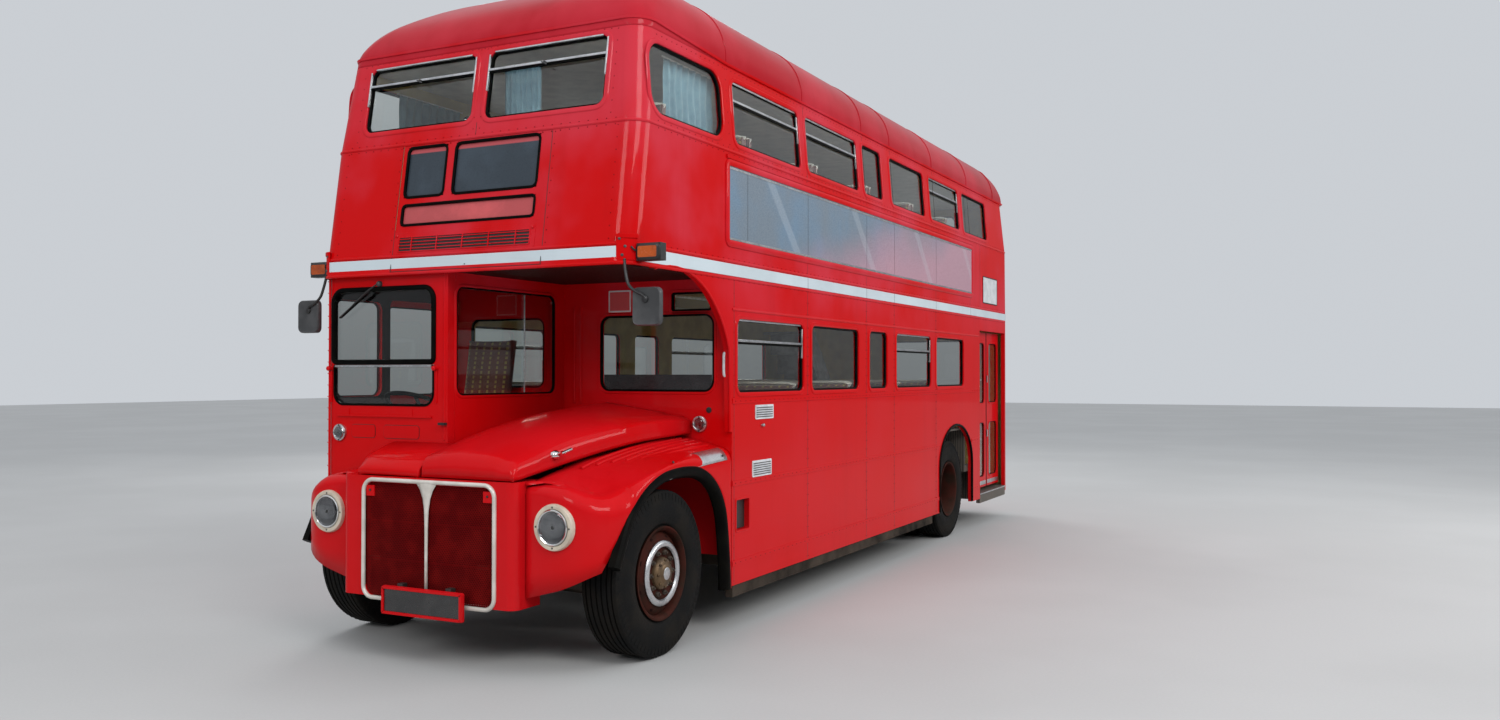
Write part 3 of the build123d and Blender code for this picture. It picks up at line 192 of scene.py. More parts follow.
def noise(tree, vector, scale, detail=3.0, rough=0.55):
    return add(tree, "TexNoise", Vector=vector, Scale=scale, Detail=detail, Roughness=rough).outputs["Fac"]


def waves(tree, settings, scale, **inputs):
    """Parallel waves across the piece."""
    return add(tree, "TexWave", settings, Vector=place(tree), Scale=scale, **inputs).outputs["Fac"]


def parts_of(tree, vector):
    return add(tree, "SeparateXYZ", Vector=vector).outputs


def group(name, ins, outs, fill):
    """A node group with named sockets. fill gets the tree and its inputs and returns the outputs."""
    if name in bpy.data.node_groups:
        return
    tree = bpy.data.node_groups.new(name, "ShaderNodeTree")
    for label, kind, value in ins:
        socket = tree.interface.new_socket(label, in_out="INPUT", socket_type="NodeSocket" + kind)
        socket.default_value = value
    for label, kind in outs:
        tree.interface.new_socket(label, in_out="OUTPUT", socket_type="NodeSocket" + kind)
    given = tree.nodes.new("NodeGroupInput").outputs
    result = tree.nodes.new("NodeGroupOutput").inputs
    for value, socket in zip(fill(tree, given), result):
        feed(tree, socket, value)


def use(tree, name, **inputs):
    made = tree.nodes.new("ShaderNodeGroup")
    made.node_tree = bpy.data.node_groups[name]
    for label, value in inputs.items():
        feed(tree, made.inputs[label.replace("_", " ")], value)
    return made.outputs


def fill_patches(tree, given):
    wide = noise(tree, place(tree), given["Scale"], 4.0)
    mask = calc(tree, "MULTIPLY", span(tree, wide, 0.38, 0.66), given["Amount"], True)
    return blend(tree, mask, given["Colour"], given["Second Colour"]), mask


def fill_streaks(tree, given):
    run = noise(tree, place(tree, (9.0, 9.0, 0.55)), given["Scale"], 5.0, 0.6)
    mask = calc(tree, "MULTIPLY", span(tree, run, 0.5, 0.72), given["Amount"], True)
    return blend(tree, mask, given["Colour"], given["Streak Colour"]), mask


def fill_dust(tree, given):
    height = parts_of(tree, place(tree))["Z"]
    low = span(tree, height, given["Top"], 0.15)
    speckle = span(tree, noise(tree, place(tree), 2.2, 5.0, 0.6), 0.25, 0.85)
    mask = calc(tree, "MULTIPLY", calc(tree, "MULTIPLY", low, speckle), given["Amount"], True)
    return blend(tree, mask, given["Colour"], given["Dust Colour"]), mask


def fill_wear(tree, given):
    sharp = span(tree, add(tree, "NewGeometry").outputs["Pointiness"], 0.53, 0.62)
    chips = span(tree, noise(tree, place(tree), 26.0, 5.0, 0.7), 0.42, 0.62)
    mask = calc(tree, "MULTIPLY", calc(tree, "MULTIPLY", sharp, chips), given["Amount"], True)
    return blend(tree, mask, given["Colour"], given["Worn Colour"]), mask


def fill_grain(tree, given):
    fine = noise(tree, place(tree), given["Scale"], 3.0)
    broad = noise(tree, place(tree), given["Broad Scale"], 2.0)
    uneven = calc(tree, "MULTIPLY", broad, given["Broad"])
    return calc(tree, "ADD", calc(tree, "MULTIPLY", fine, 0.25), uneven), fine


def fill_inside(tree, given):
    """Where a wall faces into the bus."""
    where = parts_of(tree, place(tree))
    normal = parts_of(tree, add(tree, "NewGeometry").outputs["Normal"])
    middle = aft((BULKHEAD + BODY_REAR) / 2)
    across = calc(tree, "MULTIPLY", where["X"], normal["X"])
    length = calc(tree, "MULTIPLY", calc(tree, "SUBTRACT", where["Y"], middle), normal["Y"])
    clear = calc(tree, "LESS_THAN", calc(tree, "ABSOLUTE", where["X"]), 1.15)
    facing = calc(tree, "ADD", across, calc(tree, "MULTIPLY", length, clear))
    return (calc(tree, "LESS_THAN", facing, -0.25),)


def fill_under_wing(tree, given):
    """Where a front wing faces its wheel."""
    where = parts_of(tree, place(tree))
    normal = parts_of(tree, add(tree, "NewGeometry").outputs["Normal"])
    middle = (0.8, AXLE_Y, 0.55)
    inward = calc(tree, "SUBTRACT", 1.0, calc(tree, "DIVIDE", middle[0],
        calc(tree, "ABSOLUTE", where["X"])))
    across = calc(tree, "MULTIPLY", calc(tree, "MULTIPLY", where["X"], normal["X"]), inward)
    length = calc(tree, "MULTIPLY", calc(tree, "SUBTRACT", where["Y"], middle[1]), normal["Y"])
    rise = calc(tree, "MULTIPLY", calc(tree, "SUBTRACT", where["Z"], middle[2]), normal["Z"])
    facing = calc(tree, "ADD", calc(tree, "ADD", across, length), rise)
    return (calc(tree, "LESS_THAN", facing, -0.05),)


def fill_weave(tree, given):
    warp, weft, third = (waves(tree, {"bands_direction": way}, given["Scale"],
        Distortion=0.6) for way in "XZY")
    height = calc(tree, "ADD", calc(tree, "MAXIMUM", warp, weft), calc(tree, "MULTIPLY", third, 0.6))
    return height, span(tree, noise(tree, place(tree), 30.0), 0.4, 0.6)


def make_groups():
    grey = (0.5, 0.5, 0.5, 1.0)
    colour = ("Colour", "Color", grey)
    looks = (("Colour", "Color"), ("Mask", "Float"))
    mask = (("Mask", "Float"),)

    def number(label, value):
        return label, "Float", value

    group("Patchy colour", (colour, ("Second Colour", "Color", grey), number("Scale", 1.5),
        number("Amount", 1.0)), looks, fill_patches)
    group("Vertical streaks", (colour, ("Streak Colour", "Color", grey), number("Scale", 1.0),
        number("Amount", 0.5)), looks, fill_streaks)
    group("Road dust", (colour, ("Dust Colour", "Color", grey), number("Top", 1.2),
        number("Amount", 0.5)), looks, fill_dust)
    group("Edge wear", (colour, ("Worn Colour", "Color", grey), number("Amount", 0.5)), looks, fill_wear)
    group("Fine grain", (number("Scale", 200.0), number("Broad Scale", 2.0), number("Broad", 0.0)),
        (("Height", "Float"), ("Value", "Float")), fill_grain)
    group("Inside faces", (), mask, fill_inside)
    group("Under wing", (), mask, fill_under_wing)
    group("Woven cloth", (number("Scale", 90.0),), (("Height", "Float"), *mask), fill_weave)


# Keeps the materials apart from those that come with the CAD nodes
PREFIX = "bus_"


def opaque(colour):
    return (*colour, 1.0)


def scaled(colour, share):
    return tuple(c * share for c in colour)


def start_material(name, **constants):
    """A new material with its surface shader. Constants are set on the shader's own sockets."""
    made = bpy.data.materials.new(PREFIX + name)
    made.use_nodes = True
    tree = made.node_tree
    shader = tree.nodes["Principled BSDF"]
    for label, value in constants.items():
        shader.inputs[label.replace("_", " ")].default_value = value
    return made, tree, shader


def surface(tree, shader, colour, rough, height=None, depth=0.0):
    """Links the shader's colour and roughness, and bumps its normal by a height."""
    tree.links.new(colour, shader.inputs["Base Color"])
    tree.links.new(rough, shader.inputs["Roughness"])
    if height is not None:
        made = add(tree, "Bump", Height=height, Distance=depth)
        tree.links.new(made.outputs["Normal"], shader.inputs["Normal"])


def grained(tree, shader, colour, scales, broad, rough, depth):
    """Links a colour, with a roughness and a bump from fine and broad grain."""
    fine = use(tree, "Fine grain", Scale=scales[0], Broad_Scale=scales[1], Broad=broad)
    surface(tree, shader, colour, span(tree, fine["Value"], 0.3, 0.7, *rough), fine["Height"], depth)


# Plain finishes: two colours, metal, range of roughness, grain scale and depth, dust, wear, coat
PLAIN = {
    "coach_black": ((0.008, 0.008, 0.009), (0.014, 0.013, 0.012), 0.0, (0.35, 0.6),
        (240, 0.0004), 0.15, 0.0, 0.1),
    "chassis_black": ((0.01, 0.009, 0.008), (0.026, 0.021, 0.017), 0.0, (0.6, 0.85),
        (90, 0.0008), 0.35, 0.0, 0.0),
    "rubber": ((0.002, 0.002, 0.002), (0.004, 0.004, 0.003), 0.0, (0.3, 0.5),
        (300, 0.0003), 0.02, 0.0, 0.0),
    # Rivet heads are a darker copy of the coach red: painted shade round each head.
    "rivet_red": ((0.17, 0.003, 0.004), (0.09, 0.003, 0.003), 0.0, (0.35, 0.5),
        (260, 0.0002), 0.1, 0.0, 0.0),
    "silver": ((0.62, 0.63, 0.64), (0.45, 0.46, 0.47), 1.0, (0.22, 0.42), (320, 0.0002), 0.25, 0.2, 0.0),
    "chrome": ((0.8, 0.8, 0.79), (0.66, 0.65, 0.63), 1.0, (0.05, 0.16), (260, 0.0001), 0.15, 0.1, 0.0),
    "cream_metal": ((0.62, 0.58, 0.52), (0.74, 0.7, 0.64), 0.25, (0.3, 0.5), (210, 0.0002), 0.15, 0.4, 0.2),
    "cream_ring": ((0.66, 0.58, 0.46), (0.52, 0.44, 0.34), 0.0, (0.35, 0.55), (210, 0.0002), 0.2, 0.3, 0.2),
    "grille_red": ((0.15, 0.003, 0.004), (0.22, 0.006, 0.006), 0.0, (0.45, 0.7),
        (260, 0.0003), 0.03, 0.0, 0.0),
    "wheel_red": ((0.045, 0.009, 0.006), (0.022, 0.009, 0.006), 0.0, (0.5, 0.75),
        (160, 0.0005), 0.12, 0.0, 0.0),
    "bronze": ((0.16, 0.1, 0.05), (0.07, 0.045, 0.028), 0.7, (0.35, 0.6), (160, 0.0005), 0.2, 0.0, 0.0),
    "iron": ((0.045, 0.035, 0.028), (0.075, 0.052, 0.036), 0.4, (0.5, 0.8), (120, 0.001), 0.3, 0.0, 0.0),
    # The lamp's reflector is drawn dark grey instead of chrome: painted shade inside the lamp.
    "lamp_bowl": ((0.2, 0.2, 0.21), (0.1, 0.1, 0.11), 1.0, (0.12, 0.25), (90, 0.0004), 0.0, 0.0, 0.0),
    "vent_white": ((0.66, 0.68, 0.7), (0.5, 0.52, 0.54), 0.0, (0.35, 0.55), (240, 0.0003), 0.2, 0.3, 0.1),
    "lining_pale": ((0.6, 0.58, 0.5), (0.5, 0.48, 0.42), 0.0, (0.4, 0.6), (200, 0.0002), 0.0, 0.1, 0.1),
    "dark_trim": ((0.07, 0.012, 0.012), (0.045, 0.01, 0.01), 0.0, (0.4, 0.6), (280, 0.0004), 0.1, 0.2, 0.1),
    "instrument": ((0.035, 0.036, 0.038), (0.06, 0.06, 0.062), 0.0, (0.35, 0.6),
        (260, 0.0003), 0.1, 0.3, 0.1),
    "plate_black": ((0.01, 0.01, 0.011), (0.02, 0.02, 0.021), 0.0, (0.2, 0.35),
        (240, 0.0001), 0.1, 0.1, 0.4),
    "plate_white": ((0.7, 0.72, 0.73), (0.58, 0.6, 0.61), 0.0, (0.25, 0.4), (240, 0.0001), 0.1, 0.1, 0.3),
    "amber": ((0.5, 0.085, 0.006), (0.32, 0.05, 0.005), 0.0, (0.15, 0.3), (60, 0.001), 0.1, 0.1, 0.5),
    "red_lens": ((0.38, 0.01, 0.008), (0.24, 0.006, 0.006), 0.0, (0.12, 0.25), (60, 0.001), 0.1, 0.1, 0.5),
    "lamp_bulb": ((0.8, 0.76, 0.66), (0.7, 0.66, 0.56), 0.3, (0.15, 0.3), (90, 0.0004), 0.0, 0.0, 0.3),
    "radiator_core": ((0.01, 0.003, 0.003), (0.018, 0.006, 0.005), 0.0, (0.6, 0.9),
        (120, 0.001), 0.0, 0.0, 0.0),
    "stair_metal": ((0.22, 0.22, 0.22), (0.12, 0.12, 0.12), 0.7, (0.4, 0.6), (150, 0.0006), 0.2, 0.4, 0.0),
}
DUST = (0.22, 0.17, 0.13)


def dull_with(tree, rough, mask):
    """Roughness that grows where a mask says there is dust."""
    return calc(tree, "ADD", rough, calc(tree, "MULTIPLY", mask, 0.25), True)


def plain_finish(name):
    first, second, metal, rough, grain, dust, wear, coat = PLAIN[name]
    made, tree, shader = start_material(name, Metallic=metal, Coat_Weight=coat, Coat_Roughness=0.12,
        Specular_IOR_Level=0.5 if coat or metal else 0.03)
    mixed = use(tree, "Patchy colour", Colour=opaque(first), Second_Colour=opaque(second), Scale=9.0)
    bright = tuple(min(1.0, c * 1.7 + 0.04) for c in first)
    worn = use(tree, "Edge wear", Colour=mixed["Colour"], Worn_Colour=opaque(bright), Amount=wear)
    dusty = use(tree, "Road dust", Colour=worn["Colour"], Dust_Colour=opaque(DUST), Top=1.3, Amount=dust)
    texture = use(tree, "Fine grain", Scale=float(grain[0]), Broad_Scale=6.0, Broad=0.3)
    roughness = dull_with(tree, span(tree, texture["Value"], 0.3, 0.7, *rough), dusty["Mask"])
    surface(tree, shader, dusty["Colour"], roughness, texture["Height"], grain[1])
    return made


def coach_paint(name, base, faded, fade, inside=None, waviness=12.5, mask="Inside faces"):
    """Glossy body paint with faded patches, runs, road dust and slightly uneven panels."""
    made, tree, shader = start_material(name, Metallic=0.0, Coat_Weight=0.22, Coat_Roughness=0.04, IOR=1.45,
        Specular_IOR_Level=0.02)
    height = parts_of(tree, place(tree))["Z"]
    upper = span(tree, height, 1.9, 2.6, 0.15, 1.0)
    mixed = use(tree, "Patchy colour", Colour=opaque(base), Second_Colour=opaque(faded), Scale=0.9,
        Amount=calc(tree, "MULTIPLY", upper, fade))
    runs = use(tree, "Vertical streaks", Colour=mixed["Colour"], Streak_Colour=opaque(scaled(base, 0.75)),
        Scale=0.5, Amount=0.2)
    dusty = use(tree, "Road dust", Colour=runs["Colour"], Dust_Colour=opaque(DUST), Top=0.85, Amount=0.025)
    colour = dusty["Colour"]
    # Faces picked by the mask take a second colour: the cream lining inside the saloons, the cab's dark
    # inside, and painted shade under the front wings.
    if inside is not None:
        lining_and_shade = use(tree, "Patchy colour", Colour=opaque(inside),
            Second_Colour=opaque(scaled(inside, 0.8)), Scale=5.0)
        colour = blend(tree, use(tree, mask)["Mask"], colour, lining_and_shade["Colour"])
    peel = use(tree, "Fine grain", Scale=150.0, Broad_Scale=1.7, Broad=waviness)
    rough = dull_with(tree, span(tree, mixed["Mask"], 0.0, 1.0, 0.3, 0.42), dusty["Mask"])
    surface(tree, shader, colour, rough, peel["Height"], 0.00012)
    return made


RED = (0.58, 0.002, 0.003)
RED_FADED = (0.6, 0.036, 0.058)
ROOF_RED = (0.4, 0.004, 0.012)
CREAM_INSIDE = (0.52, 0.4, 0.17)
BAND_BLUE = (0.6, 0.68, 0.72)
BAND_WORN = (0.5, 0.57, 0.6)
# The next colour is painted shade: a near-black red for the front wings where they face the wheels.
WING_UNDER_SHADE = (0.01, 0.004, 0.004)
CAB_INSIDE = (0.03, 0.028, 0.03)
TYRE_BLACK, TYRE_BROWN, TYRE_DUST = (0.006, 0.006, 0.006), (0.012, 0.01, 0.008), (0.09, 0.07, 0.055)
WOOD_DARK, WOOD_LIGHT = (0.2, 0.095, 0.038), (0.34, 0.18, 0.08)
COVER_DARK, COVER_LIGHT, GROOVE = (0.085, 0.07, 0.055), (0.14, 0.12, 0.1), (0.02, 0.018, 0.016)
# The third colour on the next line is painted shade: a near-black red for the underside of the canopy.
DECK_COVER, CEILING_CREAM, CANOPY_PAINTED_SHADE = (0.1, 0.085, 0.07), (0.55, 0.42, 0.17), (0.02, 0.004, 0.003)
POSTER_SLATE, POSTER_BLUE = (0.16, 0.21, 0.26), (0.13, 0.24, 0.36)
POSTER_PINK, POSTER_BAND = (0.52, 0.27, 0.34), (0.62, 0.68, 0.74)
STAGE_GREY, STAGE_PALE = (0.47, 0.47, 0.46), (0.5, 0.5, 0.49)


def glass_finish(name, tint):
    """Glass that lets lamps through."""
    made, tree, shader = start_material(name, Metallic=0.0, Transmission_Weight=1.0, IOR=1.45,
        Base_Color=opaque(tint))
    smear = use(tree, "Patchy colour", Colour=opaque((0.0,) * 3), Second_Colour=opaque((0.02,) * 3),
        Scale=3.0)
    tree.links.new(add(tree, "SeparateColor", Color=smear["Colour"]).outputs[0], shader.inputs["Roughness"])
    clear = add(tree, "BsdfTransparent", Color=opaque(scaled(tint, 0.9)))
    path = add(tree, "LightPath")
    mixed = add(tree, "MixShader", Fac=path.outputs["Is Shadow Ray"])
    tree.links.new(shader.outputs[0], mixed.inputs[1])
    tree.links.new(clear.outputs[0], mixed.inputs[2])
    tree.links.new(mixed.outputs[0], tree.nodes["Material Output"].inputs["Surface"])
    return made


def tyre_finish():
    made, tree, shader = start_material("tyre", Specular_IOR_Level=0.1)
    mixed = use(tree, "Patchy colour", Colour=opaque(TYRE_BLACK), Second_Colour=opaque(TYRE_BROWN),
        Scale=5.0)
    fine = use(tree, "Fine grain", Scale=140.0, Broad_Scale=12.0, Broad=0.5)
    dusty = blend(tree, span(tree, fine["Value"], 0.55, 0.8, 0.0, 0.12), mixed["Colour"], opaque(TYRE_DUST))
    surface(tree, shader, dusty, span(tree, fine["Value"], 0.3, 0.7, 0.62, 0.85), fine["Height"], 0.0012)
    return made


def cloth_finish(name, first, second, weave, stripe=None):
    made, tree, shader = start_material(name, Sheen_Weight=0.35, Sheen_Roughness=0.5)
    threads = use(tree, "Woven cloth", Scale=weave)
    colour = use(tree, "Patchy colour", Colour=opaque(first), Second_Colour=opaque(second),
        Scale=14.0)["Colour"]
    if stripe is not None:
        bars = waves(tree, {"bands_direction": "X", "wave_profile": "SAW"}, 4.5)
        lines = waves(tree, {"bands_direction": "Z"}, 9.0)
        check = calc(tree, "MULTIPLY", span(tree, bars, 0.72, 0.78), span(tree, lines, 0.35, 0.45))
        colour = blend(tree, check, colour, opaque(stripe))
    shade = blend(tree, calc(tree, "MULTIPLY", threads["Height"], 0.25), colour, opaque((0.02,) * 3))
    surface(tree, shader, shade, span(tree, threads["Mask"], 0.0, 1.0, 0.75, 0.95),
        threads["Height"], 0.0006)
    return made


def wood_finish():
    made, tree, shader = start_material("table_wood", Coat_Weight=0.4, Coat_Roughness=0.15)
    rings = add(tree, "TexWave", {"bands_direction": "X"}, Vector=place(tree, (1.0, 0.15, 1.0)), Scale=14.0,
        Distortion=7.0, Detail=3.0)
    colour = blend(tree, rings.outputs["Fac"], opaque(WOOD_DARK), opaque(WOOD_LIGHT))
    grained(tree, shader, colour, (220.0, 8.0), 0.2, (0.25, 0.4), 0.0003)
    return made


def slats(tree):
    """1 on the slats of a floor covering and 0 in the grooves along the bus between them."""
    return span(tree, waves(tree, {"bands_direction": "X"}, 12.0), 0.05, 0.3)


def floor_cover_finish():
    """Brown floor covering with fine slats along the bus."""
    made, tree, shader = start_material("floor_cover")
    groove = slats(tree)
    mixed = use(tree, "Patchy colour", Colour=opaque(COVER_DARK), Second_Colour=opaque(COVER_LIGHT),
        Scale=3.0)
    colour = blend(tree, groove, opaque(GROOVE), mixed["Colour"])
    surface(tree, shader, colour, span(tree, mixed["Mask"], 0.0, 1.0, 0.55, 0.8), groove, 0.002)
    return made


def deck_finish():
    """Slatted covering on top of the upper deck, cream ceiling below it and dark paint under the canopy."""
    made, tree, shader = start_material("deck", Specular_IOR_Level=0.2)
    where = parts_of(tree, place(tree))
    normal = parts_of(tree, add(tree, "NewGeometry").outputs["Normal"])
    cover = blend(tree, slats(tree), opaque(GROOVE), opaque(DECK_COVER))
    ahead = calc(tree, "LESS_THAN", where["Y"], aft(BULKHEAD))
    # Ahead of the bulkhead, the underside takes painted shade, drawn near-black to stand for the shade
    # under the canopy.
    ceiling = blend(tree, ahead, opaque(CEILING_CREAM), opaque(CANOPY_PAINTED_SHADE))
    colour = blend(tree, calc(tree, "LESS_THAN", normal["Z"], 0.5), cover, ceiling)
    grained(tree, shader, colour, (160.0, 4.0), 0.3, (0.5, 0.75), 0.0004)
    return made


def advert_finish():
    """Glazed slate-blue poster with a soft pink area and plain slanting bands."""
    made, tree, shader = start_material("advert_panel", Coat_Weight=1.0, Coat_Roughness=0.03, Roughness=0.3)
    where = parts_of(tree, place(tree))
    cloud = noise(tree, place(tree), 0.9, 3.0)
    lean = calc(tree, "ADD", calc(tree, "MULTIPLY", where["Y"], 0.35),
        calc(tree, "MULTIPLY", where["Z"], -1.6))
    soft = calc(tree, "ADD", lean, calc(tree, "MULTIPLY", cloud, 0.9))
    mixed = use(tree, "Patchy colour", Colour=opaque(POSTER_SLATE), Second_Colour=opaque(POSTER_BLUE),
        Scale=1.1)
    pink = blend(tree, span(tree, soft, -4.6, -3.5), mixed["Colour"], opaque(POSTER_PINK))
    slant = calc(tree, "FRACT", calc(tree, "MULTIPLY", calc(tree, "ADD", where["Y"], where["Z"]), 0.62))
    bands = calc(tree, "MULTIPLY", span(tree, slant, 0.44, 0.46), span(tree, slant, 0.54, 0.52))
    colour = blend(tree, calc(tree, "MULTIPLY", bands, 0.18), pink, opaque(POSTER_BAND))
    grained(tree, shader, colour, (160.0, 1.4), 3.0, (0.22, 0.34), 0.0006)
    return made


def sign_finish(name, field, strip, strip_z):
    """A glazed display with a coloured strip along its top."""
    made, tree, shader = start_material(name, Coat_Weight=0.35, Coat_Roughness=0.04, Specular_IOR_Level=0.2)
    height = parts_of(tree, place(tree))["Z"]
    mixed = use(tree, "Patchy colour", Colour=opaque(field), Second_Colour=opaque(scaled(field, 1.35)),
        Scale=4.0)
    colour = blend(tree, span(tree, height, strip_z - 0.004, strip_z + 0.004),
        mixed["Colour"], opaque(strip))
    grained(tree, shader, colour, (180.0, 3.0), 0.6, (0.25, 0.4), 0.0003)
    return made


def stage_finish():
    made, tree, shader = start_material("pale_floor")
    mixed = use(tree, "Patchy colour", Colour=opaque(STAGE_GREY), Second_Colour=opaque(STAGE_PALE),
        Scale=0.3)
    fine = use(tree, "Fine grain", Scale=60.0, Broad_Scale=1.0, Broad=0.1)
    surface(tree, shader, mixed["Colour"], span(tree, fine["Value"], 0.3, 0.7, 0.6, 0.75))
    return made


SPECIAL = {
    "coach_red": lambda: coach_paint("coach_red", bus().red, bus().faded_red, 0.9),
    "wall_red": lambda: coach_paint("wall_red", bus().red, bus().faded_red, 0.9, CREAM_INSIDE),
    "roof_red": lambda: coach_paint("roof_red", ROOF_RED, RED_FADED, 0.5),
    # The wings' faces towards their wheels take painted shade.
    "wing_red": lambda: coach_paint("wing_red", bus().red, bus().faded_red, 0.9,
        WING_UNDER_SHADE, mask="Under wing"),
    "deck": deck_finish,
    "band_blue": lambda: coach_paint("band_blue", bus().band, BAND_WORN, 0.7, None, 10.0),
    "cab_red": lambda: coach_paint("cab_red", bus().red, bus().faded_red, 0.7, CAB_INSIDE),
    "glass": lambda: glass_finish("glass", (0.93, 0.96, 0.94)),
    "lamp_glass": lambda: glass_finish("lamp_glass", (0.97, 0.98, 0.98)),
    "tyre": tyre_finish,
    "seat_cloth": lambda: cloth_finish("seat_cloth", (0.2, 0.045, 0.03), (0.15, 0.035, 0.025), 160.0,
        (0.45, 0.32, 0.07)),
    "curtain_cloth": lambda: cloth_finish("curtain_cloth", (0.22, 0.4, 0.5), (0.17, 0.33, 0.43), 260.0),
    "table_wood": wood_finish,
    "floor_cover": floor_cover_finish,
    "advert_panel": advert_finish,
    "slate_sign": lambda: sign_finish("slate_sign", (0.03, 0.042, 0.055), (0.45, 0.07, 0.08), 3.14),
    "red_sign": lambda: sign_finish("red_sign", (0.46, 0.075, 0.08), (0.5, 0.09, 0.09), 3.5),
    "pale_floor": stage_finish,
}


def finish_named(name):
    if PREFIX + name in bpy.data.materials:
        return bpy.data.materials[PREFIX + name]
    return SPECIAL[name]() if name in SPECIAL else plain_finish(name)


def bus():
    return bpy.context.scene.bus_settings


# Shapes


def inset(ends, gap):
    """A span made shorter by a gap at both ends."""
    return ends[0] + gap, ends[1] - gap


def about(middle, half):
    """A span that reaches half its length to each side of its middle."""
    return middle - half, middle + half


class Face:
    """A flat side of the bus. Points on it are a distance along it, a real height and a depth outwards."""

    def __init__(self, origin, along, rise=(0, 0, 1), flip=False):
        self.origin, self.along, self.rise = Vector(origin), Vector(along), Vector(rise)
        self.out = self.along.cross(self.rise).normalized() * (-1 if flip else 1)

    def at(self, a, z, depth=0.0):
        return self.origin + self.along * a + self.rise * (z - self.origin.z) + self.out * depth


LEAN = (CANT_X - SIDE) / (CANT_Z - SILL_Z)
ALONG, ACROSS = (0, 1, 0), (1, 0, 0)
FRONT_LINE = aft(-0.355)
NEAR = Face((SIDE, AXLE_Y, 0), ALONG)
OFF = Face((-SIDE, AXLE_Y, 0), ALONG, flip=True)
NEAR_UP = Face((SIDE, AXLE_Y, SILL_Z), ALONG, (LEAN, 0, 1))
OFF_UP = Face((-SIDE, AXLE_Y, SILL_Z), ALONG, (-LEAN, 0, 1), True)
FRONT_PANEL = Face((0, FRONT_LINE, SILL_Z), ACROSS, (0, 0.123 / 0.839, 1))
FRONT_UP = Face((0, FRONT_LINE, SILL_Z), ACROSS, (0, 0.093 / 0.585, 1))
CAB_FACE = Face((0, aft(CAB_FRONT), 0), ACROSS)
CAB_SIDE = Face((CAB_X, AXLE_Y, 0), ALONG)
BULKHEAD_FACE = Face((0, aft(BULKHEAD), 0), ACROSS)
REAR = Face((0, aft(BODY_REAR), 0), ACROSS, flip=True)
REAR_UP = Face((0, aft(BODY_REAR - 0.02), SILL_Z), ACROSS, (0, -0.07 / 0.585, 1), True)
SIDES = ((NEAR, NEAR_UP, 1), (OFF, OFF_UP, -1))


def circles(centre, axis, profile, sides):
    """A circle of points about an axis for each (along the axis, radius) point of a profile."""
    axis = Vector(axis).normalized()
    side = axis.orthogonal().normalized()
    up = axis.cross(side)
    turns = [2 * pi * k / sides for k in range(sides)]
    return [[Vector(centre) + axis * a + (side * cos(t) + up * sin(t)) * r
        for t in turns] for a, r in profile]


